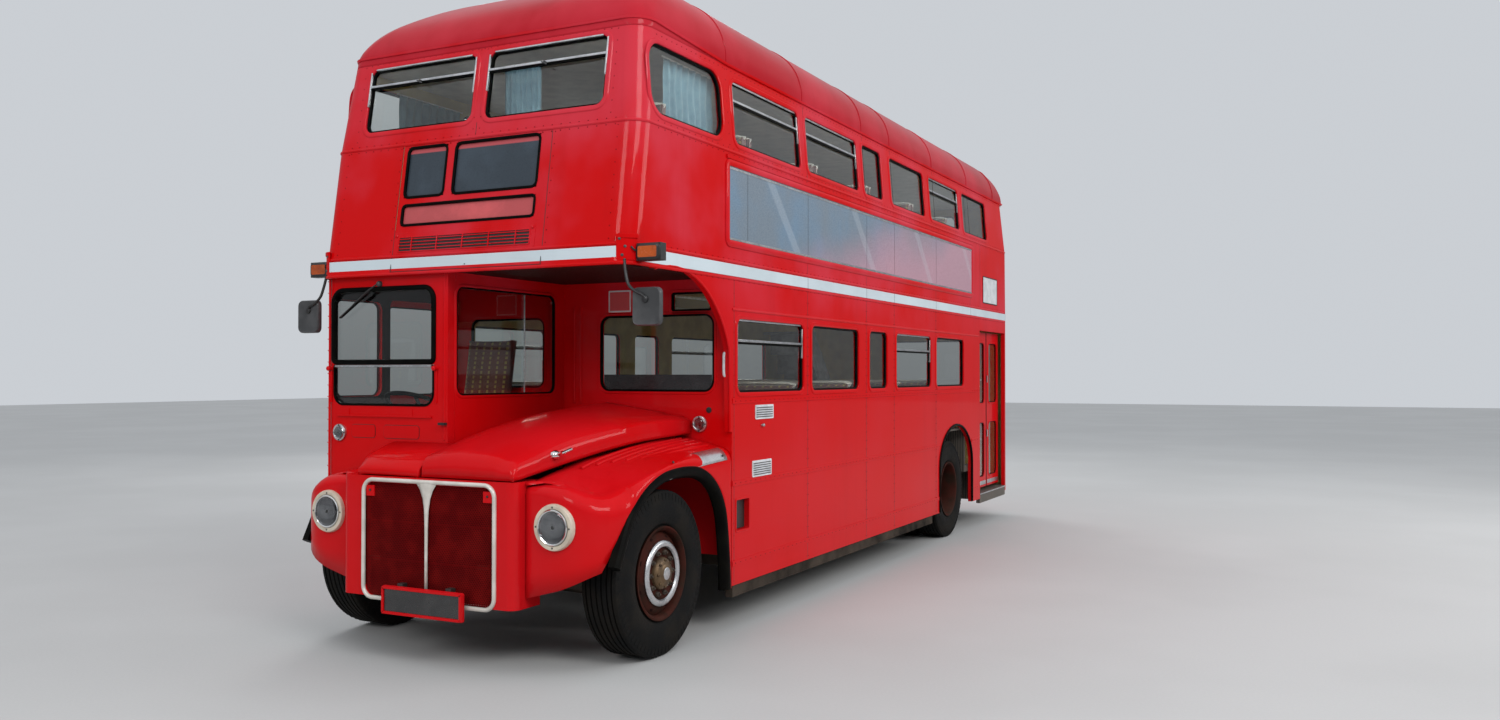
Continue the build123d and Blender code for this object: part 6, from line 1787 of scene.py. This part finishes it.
def build_seats():
    """Cushions and backs, sewn in two halves, on tube frames with a grab handle at the gangway."""
    cushion = sewn(pad_mesh("cushion", (0.83, 0.35, 0.078), (2, -1)), 0.014, 2)
    back = sewn(pad_mesh("back", (0.83, 0.052, 0.52), (1, -1)), 0.01, 1)
    for name, pairs, floor, wall in SALOONS:
        pads, frames = Shape("seat_cloth"), Shape("cream_metal")
        middle = (SEAT_INNER + wall) / 2
        for side in (1, -1):
            for seat_place, facing in [(a, 1) for a, _ in pairs] + [(b, -1) for _, b in pairs]:
                add_pad(pads, cushion, (side * middle, aft(seat_place + facing * 0.228),
                    floor + 0.386), facing, side)
                add_pad(pads, back, (side * middle, aft(seat_place + facing * 0.004),
                    floor + 0.675), facing, side)
                seat_frame(frames, side, seat_place, facing, floor, wall)
        if name == "lower":
            for side in (1, -1):
                bench_pads(pads, side)
        pads_made = pads.piece(name + "_seat_cushions", stands_for=(name + "_seats",), smooth=60)
        frames.piece(name + "_seat_frames", smooth=60)


def seat_frame(shape, side, seat_place, facing, floor, wall):
    """Base plate, back sheet, legs and the grab handle of one double seat."""
    y = aft(seat_place)
    front = y + facing * 0.405
    back = y + facing * 0.05
    x0, x1 = side * (SEAT_INNER + 0.012), side * (wall - 0.01)
    xs = sorted((x0, x1))
    shape.box(xs, sorted((back, front)), (floor + 0.332, floor + 0.345), "dark_trim")
    shape.box(xs, sorted((y - facing * 0.036, y - facing * 0.028)), (floor + 0.4,
        floor + 0.93), "dark_trim")
    for x in (side * (SEAT_INNER + 0.14), side * (wall - 0.08)):
        for leg_y in (y + facing * 0.08, y + facing * 0.34):
            shape.tube(((x, leg_y, floor + 0.334), (x, leg_y, floor + 0.004)), 0.014, "instrument", 8)
    edge = side * (SEAT_INNER + 0.01)
    inner = side * (SEAT_INNER + 0.115)
    line = [(edge, y, floor + 0.36), (edge, y, floor + 0.6), (edge, y, floor + 0.86),
        (edge + side * 0.012, y, floor + 0.925), (edge + side * 0.055, y, floor + 0.945),
        (inner, y, floor + 0.945), (side * (wall - 0.06), y, floor + 0.945),
        (side * (wall - 0.02), y, floor + 0.915)]
    shape.tube(smooth_rows(line, 2), 0.0125)


def bench_pads(shape, side):
    """Benches over the rear wheels, facing across the bus."""
    for k in range(2):
        start = BENCH_START + 0.46 * k
        for x, z in (((0.645, 1.08), (1.134, 1.206)), ((1.094, 1.156), (1.214, 1.552))):
            rings = []
            for depth, inset in ((0.0, 0.01), (0.15, 0.0), (0.7, 0.002), (0.93, 0.02), (1.0, 0.06)):
                along = (start + inset, start + BENCH_LENGTH - inset)
                if z[1] - z[0] < 0.1:
                    line = rounded((x[0] + inset, x[1] - inset), along, 0.04, 4)
                    rings.append([(side * p, aft(q), z[0] + (z[1] - z[0]) * depth) for p, q, _, _ in line])
                else:
                    line = rounded(along, (z[0] + inset, z[1] - inset), 0.04, 4)
                    rings.append([(side * (x[1] - (x[1] - x[0]) * depth), aft(p), q)
                        for p, q, _, _ in line])
            shape.loft(rings)


def build_driver_seat():
    pads, frame_shape = Shape("seat_cloth"), Shape("instrument")
    cushion = pad_mesh("driver_cushion", (0.41, 0.4, 0.08), (2, -1))
    back = pad_mesh("driver_back", (0.4, 0.06, 0.5), (1, -1))
    add_pad(pads, cushion, (-0.74, aft(0.405), 1.388), 1)
    lean = radians(-9)
    points = [(x, y * cos(lean) - z * sin(lean), y * sin(lean) + z * cos(lean))
        for x, y, z in [(p[0], -p[1], p[2]) for p in back[0]]]
    add_pad(pads, (points, back[1]), (-0.74, aft(0.68), 1.715))
    pads.piece("driver_seat_cushions", stands_for=("driver_seat",), smooth=60)
    frame_shape.beam((-0.93, -0.55), (0.215, 0.62), (1.332, 1.345))
    frame_shape.turned((-0.74, aft(0.445), 1.082), (0, 0, 1), mm((0, 105), (12, 100), (20, 50), (250, 45),
        (250, 0), (0, 0)), None, 24)
    for x in (-0.9, -0.58):
        frame_shape.tube(((x, aft(0.6), 1.345), (x, aft(0.64), 1.42), (x, aft(0.735), 1.93)), 0.01)
    frame_shape.piece("driver_seat_frame", smooth=60)


def build_tables():
    """Wooden tops with a metal edge, each on one leg."""
    shape = Shape("table_wood")
    for _, pairs, floor, _ in SALOONS:
        rim = 1.172 if floor < 1.0 else 1.158
        for front, rear in pairs:
            middle = (front + rear) / 2
            for side in (1, -1):
                across = sorted((side * 0.334, side * rim))
                for z, grow, finish in (((0.684, 0.701), 0.0, "table_wood"),
                        ((0.6835, 0.6995), 0.003, "cream_metal")):
                    line = rounded((across[0] - grow, across[1] + grow), (middle - 0.236 - grow,
                        middle + 0.236 + grow), 0.035, 5)
                    if side > 0:
                        line = [(min(x, rim), y, u, v) for x, y, u, v in line]
                    else:
                        line = [(max(x, -rim), y, u, v) for x, y, u, v in line]
                    shape.loft([[(x, aft(y), floor + h) for x, y, _, _ in line] for h in z], finish)
                leg = (side * 0.495, aft(middle))
                shape.tube(((*leg, floor + 0.004), (*leg, floor + 0.684)), 0.021, "cream_metal", 12)
                shape.disc((*leg, floor + 0.001), (0, 0, 1), mm((0, 70), (6, 66),
                    (12, 26)), "cream_metal", 20)
    shape.piece("table_tops_and_legs", stands_for=("tables",), smooth=50)


def curtain(name, start, end, z, folds):
    """A gathered curtain between two plan points, hanging from its rail in soft folds."""
    start, end = Vector((*start, 0)), Vector((*end, 0))
    run = end - start
    side = Vector((-run.y, run.x, 0)).normalized()
    steps = folds * 8
    rows, length = [], 0.0
    for i in range(15):
        down = i / 14
        height = z[1] - (z[1] - z[0]) * down
        row = []
        for k in range(steps + 1):
            t = k / steps
            sway = 0.015 * sin(2 * pi * folds * t + 0.7 * sin(3.1 * down)) * (0.65 + 0.35 * down)
            drift = 0.003 * sin(2 * pi * (t * 3 + down * 1.3))
            pinch = 1.0 - 0.1 * sin(pi * min(down / 0.7, 1.0)) * (1 - t)
            p = start + run * t * pinch + side * (sway + drift)
            row.append((p.x, p.y, height + 0.004 * sin(2 * pi * folds * t + 1.0) * down))
        rows.append(row)
    for p, q in zip(rows[7], rows[7][1:]):
        length += (Vector(q) - Vector(p)).length
    shape = Shape("curtain_cloth")
    shape.sheet(rows)
    made = shape.piece(name, stands_for=("curtains",), smooth=80, thick=0.0015)


def build_curtains():
    """Pale curtains at the upper deck's front corners and beside its middle post, on thin rails."""
    rails = Shape("cream_metal")
    for side in (1, -1):
        rails.tube(((side * 1.085, aft(0.1), 3.694), (side * 1.085, aft(0.78), 3.694)), 0.005)
    rails.tube(((0.02, aft(-0.11), 3.704), (0.34, aft(-0.11), 3.704)), 0.005)
    rails.piece("curtain_rails")
    for side, label in ((1, "nearside"), (-1, "offside")):
        curtain(label + "_corner_curtain", (side * 1.085, aft(0.125)), (side * 1.085,
            aft(0.755)), (3.284, 3.689), 8)
    curtain("middle_curtain", (0.035, aft(-0.11)), (0.325, aft(-0.11)), (3.334, 3.699), 7)


def build_saloon_rails():
    """Ceiling rails and round lamps of both saloons."""
    rails, lamps = Shape("cream_metal"), Shape("lamp_bulb")
    for z, x, start, end in ((2.3, 0.42, 0.95, 6.6), (3.9, 0.42, 0.3, 7.4)):
        for side in (1, -1):
            rails.tube([(side * x, aft(d), z) for d in (start, (start + end) / 2, end)], 0.011)
            for k in range(7):
                d = start + (end - start) * k / 6
                rails.tube(((side * x, aft(d), z), (side * x, aft(d), z + 0.055)), 0.007, None, 6)
                lamps.disc((side * 0.64, aft(d), z + 0.052), (0, 0, -1), mm((0, 62), (14, 60),
                    (30, 44), (36, 15)), None, 20)
    rails.piece("ceiling_rails", smooth=60)
    lamps.piece("ceiling_lamps", smooth=60)


# Wheels


TYRE_WIDTH = 0.27


def tyre_profile(half, rim):
    """Half of the section from the tread's middle round to the bead, as (across, radius)."""
    radius = TYRE_RADIUS
    tread = []
    for g in (0.018, 0.055, 0.088):
        tread += [(g - 0.006, radius), (g - 0.004, radius - 0.012), (g + 0.004,
            radius - 0.012), (g + 0.006, radius)]
    wall = [(half * 0.86, radius - 0.004), (half * 0.9, radius - 0.012), (half * 0.93, radius - 0.035),
        (half * 0.935, radius - 0.042), (half * 0.965, radius - 0.07), (half * 0.975, radius - 0.074),
        (half * 0.995, radius - 0.105), (half, radius - 0.13), (half * 0.985, radius - 0.165),
        (half * 0.975, radius - 0.169), (half * 0.96, radius - 0.185), (half * 0.93, rim + 0.03),
        (half * 0.86, rim + 0.016), (half * 0.78, rim + 0.01), (half * 0.76, rim - 0.01)]
    return tread + wall


def tyre(shape, centre):
    half = TYRE_WIDTH / 2
    line = tyre_profile(half, 0.28)
    profile = [(-a, r) for a, r in reversed(line)] + line
    shape.turned(centre, (1, 0, 0), profile, "tyre", 96)
    for k in range(72):
        t = 2 * pi * k / 72
        for sign in (-1, 1):
            out = Vector((0, cos(t), sin(t)))
            round_ = Vector((0, -sin(t), cos(t)))
            section = ((half * 0.8, -0.004), (half * 0.8, 0.0), (half * 0.935, -0.022),
                (half * 0.965, -0.062))
            shape.loft([[Vector(centre) + out * (TYRE_RADIUS + dr) + round_ * dt + Vector((sign * x, 0, 0))
                for x, dr in section] for dt in (-0.007, 0.007)], "tyre")


def nut(shape, centre, axis, radius, height, finish):
    shape.disc(centre, axis, ((0.0, radius), (height * 0.8, radius), (height, radius * 0.75)), finish, 6)
    shape.disc(Vector(centre) + Vector(axis) * height, axis, ((0.0, radius * 0.45),
        (height * 0.5, radius * 0.4)), finish, 8)


def nut_ring(shape, centre, side, count, depth, circle, radius, height, finish):
    """Nuts in a circle on a wheel's outer side."""
    for k in range(count):
        t = 2 * pi * k / count
        spot = centre + Vector((side * depth, circle * cos(t), circle * sin(t)))
        nut(shape, spot, (side, 0, 0), radius, height, finish)


def front_wheel(side):
    name = "nearside" if side > 0 else "offside"
    centre = Vector((side * FRONT_WHEEL_X, AXLE_Y, TYRE_RADIUS))
    body = name + "_front_wheel"
    rubber = Shape("tyre")
    tyre(rubber, centre)
    rubber.piece(name + "_front_tyre_tread", body, stands_for=(name + "_front_tyre",), smooth=30)
    rim = Shape("wheel_red")
    out = (side, 0, 0)
    rim.turned(centre, out, mm((-110, 272), (104, 272), (116, 284), (126, 286), (128, 276), (118, 262),
        (106, 256), (-106, 256), (-120, 262), (-126, 280), (-118, 286)), None, 64)
    rim.turned(centre, out, mm((78, 258), (92, 240), (112, 205), (116, 170), (108, 120), (104, 47),
        (92, 47), (96, 120), (100, 168), (98, 195), (80, 228), (60, 258)), None, 64)
    rim.turned(centre, out, mm((112, 196), (124, 199), (134, 192), (138, 178), (134, 164), (124, 158),
        (112, 162)), "silver", 64)
    nut_ring(rim, centre, side, 10, 0.104, 0.128, 0.017, 0.022, "iron")
    # Eight near-black discs stand for the wheel's holes: painted shade where the holes would show dark.
    for k in range(8):
        t = 2 * pi * (k + 0.5) / 8
        spot = centre + Vector((side * 0.0995, 0.222 * cos(t), 0.222 * sin(t)))
        rim.disc(spot, (side, 0.4 * cos(t), 0.4 * sin(t)), ((0.0, 0.014),
            (0.0025, 0.014)), "radiator_core", 16)
    rim.turned(centre, out, mm((90, 100), (120, 98), (138, 90), (148, 72), (150, 50),
        (90, 50)), "bronze", 48)
    rim.disc(centre, out, mm((100, 60), (149, 60), (156, 50), (158, 20)), "bronze", 40)
    rim.disc(centre, out, mm((150, 38), (157.5, 38), (160, 32)), "silver", 32)
    nut_ring(rim, centre, side, 8, 0.14, 0.08, 0.009, 0.01, "bronze")
    rim.turned(centre, out, mm((-95, 180), (-95, 215), (60, 215), (60, 160), (40, 160),
        (40, 180)), "iron", 48)
    rim.turned(centre, out, mm((-20, 46), (-20, 150), (90, 150), (90, 46)), "iron", 32)
    rim.piece(name + "_front_rim_and_hub", body, stands_for=(name + "_front_rim",), smooth=40)


def rear_wheel(side):
    name = "nearside" if side > 0 else "offside"
    body = name + "_rear_wheel"
    y = aft(WHEELBASE)
    rubber = Shape("tyre")
    rim = Shape("wheel_red")
    out = (side, 0, 0)
    for x in REAR_WHEELS_X:
        centre = Vector((side * x, y, TYRE_RADIUS))
        tyre(rubber, centre)
        rim.turned(centre, out, mm((-110, 272), (110, 272), (118, 286), (126, 286), (126, 268), (110, 256),
            (-110, 256), (-126, 268), (-126, 286), (-118, 286)), None, 64)
    rubber.piece(name + "_rear_tyre_treads", body, stands_for=(name + "_rear_tyres",), smooth=30)
    centre = Vector((side * sum(REAR_WHEELS_X) / 2, y, TYRE_RADIUS))
    rim.turned(centre, out, mm((-8, 47), (-8, 215), (45, 257), (62, 257), (18, 205), (14, 47)), None, 64)
    rim.turned(centre, out, mm((0, 47), (-12, 215), (-60, 257), (-45, 257), (-16, 205),
        (-16, 47)), None, 64)
    nut_ring(rim, centre, side, 10, 0.016, 0.16, 0.018, 0.024, "iron")
    rim.turned(centre, out, mm((-50, 47), (-50, 125), (60, 125), (130, 105), (155, 95), (160, 60),
        (150, 47)), "bronze", 48)
    rim.disc(centre, out, mm((130, 62), (158, 60), (164, 30)), "bronze", 32)
    nut_ring(rim, centre, side, 8, 0.152, 0.082, 0.009, 0.01, "iron")
    rim.turned(centre, out, mm((-170, 150), (-170, 225), (-30, 225), (-30, 150)), "iron", 48)
    rim.piece(name + "_rear_rims_and_hub", body, stands_for=(name + "_rear_rims",), smooth=40)


# Stage


CAMERA_PLACE = (4.8015, -9.7175, 1.7139)
CAMERA_YAW, CAMERA_PITCH, CAMERA_ROLL = 26.7722, 0.7116, 0.0229
CAMERA_LENS = 27.7
SKY_COLOUR = (0.9, 0.94, 1.0, 1.0)
BACKDROP_COLOUR = (0.66, 0.69, 0.73, 1.0)
# Light from the horizon as a share of the light from overhead
HORIZON_SHARE = 0.22


def build_stage():
    settings = bus()
    floor = bpy.data.meshes.new("studio_floor")
    reach = 60.0
    floor.from_pydata([(-reach, -reach, 0), (reach, -reach, 0), (reach, reach, 0),
        (-reach, reach, 0)], [], [(0, 1, 2, 3)])
    floor.materials.append(finish_named("pale_floor"))
    ground = bpy.data.objects.new("studio_floor", floor)
    bpy.context.scene.collection.objects.link(ground)
    world = bpy.data.worlds.new("studio")
    bpy.context.scene.world = world
    world.use_nodes = True
    tree = world.node_tree
    sky = tree.nodes["Background"]
    height = parts_of(tree, add(tree, "TexCoord").outputs["Generated"])["Z"]
    lit = span(tree, height, -0.1, 0.75, HORIZON_SHARE, 1.0)
    seen = add(tree, "LightPath").outputs["Is Camera Ray"]
    feed(tree, sky.inputs["Color"], blend(tree, seen, blend(tree, lit, (0.0, 0.0, 0.0, 1.0),
        SKY_COLOUR), BACKDROP_COLOUR))
    feed(tree, sky.inputs["Strength"], settings.sky_strength)
    # Lamps: name, place, what it points at, width, height, power
    for name, spot, goal, width, height, power in (
            ("key", (11.0, -9.0, 9.5), (0.5, -1.5, 1.8), 6.0, 4.0, settings.key_power),
            ("side", (13.0, 4.0, 7.0), (0.0, 0.5, 2.2), 8.0, 4.0, settings.key_power * 0.9),
            ("front", (-0.5, -16.0, 8.0), (0.0, -4.0, 2.0), 5.0, 4.0, settings.key_power * 0.65),
            ("back", (-9.0, 11.0, 8.0), (0.0, 2.0, 2.0), 6.0, 4.0, settings.key_power * 0.8)):
        data = bpy.data.lights.new(name, "AREA")
        data.shape, data.size, data.size_y, data.energy = "RECTANGLE", width, height, power
        light = bpy.data.objects.new(name, data)
        light.location = spot
        light.rotation_mode = "QUATERNION"
        light.rotation_quaternion = (Vector(goal) - Vector(spot)).to_track_quat("-Z", "Y")
        bpy.context.scene.collection.objects.link(light)
    data = bpy.data.cameras.new("photo_view")
    data.lens, data.sensor_width, data.clip_end = CAMERA_LENS, 36.0, 300.0
    camera = bpy.data.objects.new("photo_view", data)
    yaw, pitch, roll = (radians(a) for a in (CAMERA_YAW, CAMERA_PITCH, CAMERA_ROLL))
    ahead = Vector((-sin(yaw) * cos(pitch), cos(yaw) * cos(pitch), sin(pitch)))
    right = Vector((cos(yaw), sin(yaw), 0.0))
    up = right.cross(ahead)
    tilted = right * cos(roll) + up * sin(roll)
    upright = up * cos(roll) - right * sin(roll)
    camera.matrix_world = Matrix((tilted, upright, -ahead)).transposed().to_4x4()
    camera.location = CAMERA_PLACE
    bpy.context.scene.collection.objects.link(camera)
    bpy.context.scene.camera = camera
    bpy.context.scene.view_settings.view_transform = "Standard"


# Finishes of the frame's own nodes
NODE_FINISH = {
    "wall_red": ("nearside_lower_wall", "offside_lower_wall", "upper_side_walls", "upper_front_wall",
        "upper_rear_wall", "lower_rear_wall", "bulkhead"),
    "cab_red": ("cab_shell",),
    "coach_red": ("radiator_cowl", "destination_box"),
    "floor_cover": ("lower_floor", "cab_floor"),
    "deck": ("upper_floor",),
    "stair_metal": ("staircase",),
    "glass": ("window_glass",),
    "chassis_black": ("underframe", "cross_members", "towing_eyes", "leaf_springs", "fuel_tank",
        "battery_box", "sill_rails", "track_rod", "steering_column"),
    "iron": ("front_axle", "rear_axle", "engine", "gearbox_and_shaft", "exhaust", "nearside_knuckle",
        "offside_knuckle"),
    "rubber": ("steering_wheel",),
}


def dress_frame():
    for finish, nodes in NODE_FINISH.items():
        for node in nodes:
            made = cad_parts[node]
            made.data.materials.clear()
            made.data.materials.append(finish_named(finish))


class BusSettings(bpy.types.PropertyGroup):
    """Colours and light of the bus"""

    red: FloatVectorProperty(name="Red", description="Coach paint", default=RED, size=3, min=0,
        max=1, subtype="COLOR")
    faded_red: FloatVectorProperty(name="Faded red",
        description="Coach paint where the sun has bleached it", default=RED_FADED, size=3, min=0,
        max=1, subtype="COLOR")
    band: FloatVectorProperty(name="Band", description="Pale band below the upper deck", default=BAND_BLUE,
        size=3, min=0, max=1, subtype="COLOR")
    key_power: FloatProperty(name="Key lamp", description="Power of the largest lamp", default=680.0,
        min=0.0, unit="POWER")
    sky_strength: FloatProperty(name="Sky", description="Strength of the studio's even light",
        default=0.9, min=0.0)


def step(idname, label, doc, *builders):
    """An operator class that runs builder functions in order."""

    def execute(self, context):
        for build in builders:
            build()
        return {"FINISHED"}

    return type("BUS_OT_" + idname, (bpy.types.Operator,), {"bl_idname": "bus." + idname, "bl_label": label,
        "__doc__": doc, "execute": execute})


STEPS = (
    step("frame", "Frame finishes", "Give every frame node its finish", make_groups, dress_frame),
    step("roof", "Roof", "Build the domed roof, its lining and gutters", build_roof, build_gutters),
    step("body", "Body trim", "Build mouldings, rivets, joints and the band", build_mouldings, build_rivets,
        build_joint_lines, build_band),
    step("windows", "Windows", "Build seals, pans and vents", build_windows),
    step("displays", "Displays", "Build the displays and side panels", build_destination, build_adverts),
    step("front", "Front end", "Build wings, bonnet, cowl and grille", build_wings, build_bonnet,
        build_fairing, build_cowl, build_plates),
    step("cab", "Cab", "Build the windscreen, the cab's fittings and its sliding door", build_windscreen,
        build_cab_front, build_bulkhead, build_cab_door),
    step("sides", "Sides", "Build vents, the step hole and the entrance doors", build_side_fittings,
        lambda: [build_leaf(row) for row in LEAVES], build_rear_fittings),
    step("saloons", "Saloons", "Build seats, tables, curtains and rails", build_seats, build_driver_seat,
        build_tables, build_curtains, build_saloon_rails),
    step("lamps", "Lamps", "Build lamps, indicators and mirrors", build_lamps,
        build_indicators, build_mirrors),
    step("wheels", "Wheels", "Build the wheels",
        lambda: [front_wheel(s) or rear_wheel(s) for s in (1, -1)]),
    step("stage", "Stage", "Build the floor, lamps and camera", build_stage),
)


class BUS_PT_sidebar(bpy.types.Panel):
    """Lists the settings and the steps"""

    bl_idname = "BUS_PT_sidebar"
    bl_label = "Double-deck bus"
    bl_space_type = "VIEW_3D"
    bl_region_type = "UI"
    bl_category = "Bus"

    def draw(self, context):
        for name in BusSettings.__annotations__:
            self.layout.prop(context.scene.bus_settings, name)
        for made in STEPS:
            self.layout.operator(made.bl_idname)


CLASSES = (BusSettings, *STEPS, BUS_PT_sidebar)


def register():
    for made in CLASSES:
        bpy.utils.register_class(made)
    bpy.types.Scene.bus_settings = PointerProperty(type=BusSettings)


def unregister():
    del bpy.types.Scene.bus_settings
    for made in reversed(CLASSES):
        bpy.utils.unregister_class(made)


def main():
    random.seed(4)
    register()
    for made in STEPS:
        getattr(bpy.ops.bus, made.bl_idname.split(".")[1])()


if __name__ == "__main__":
    main()
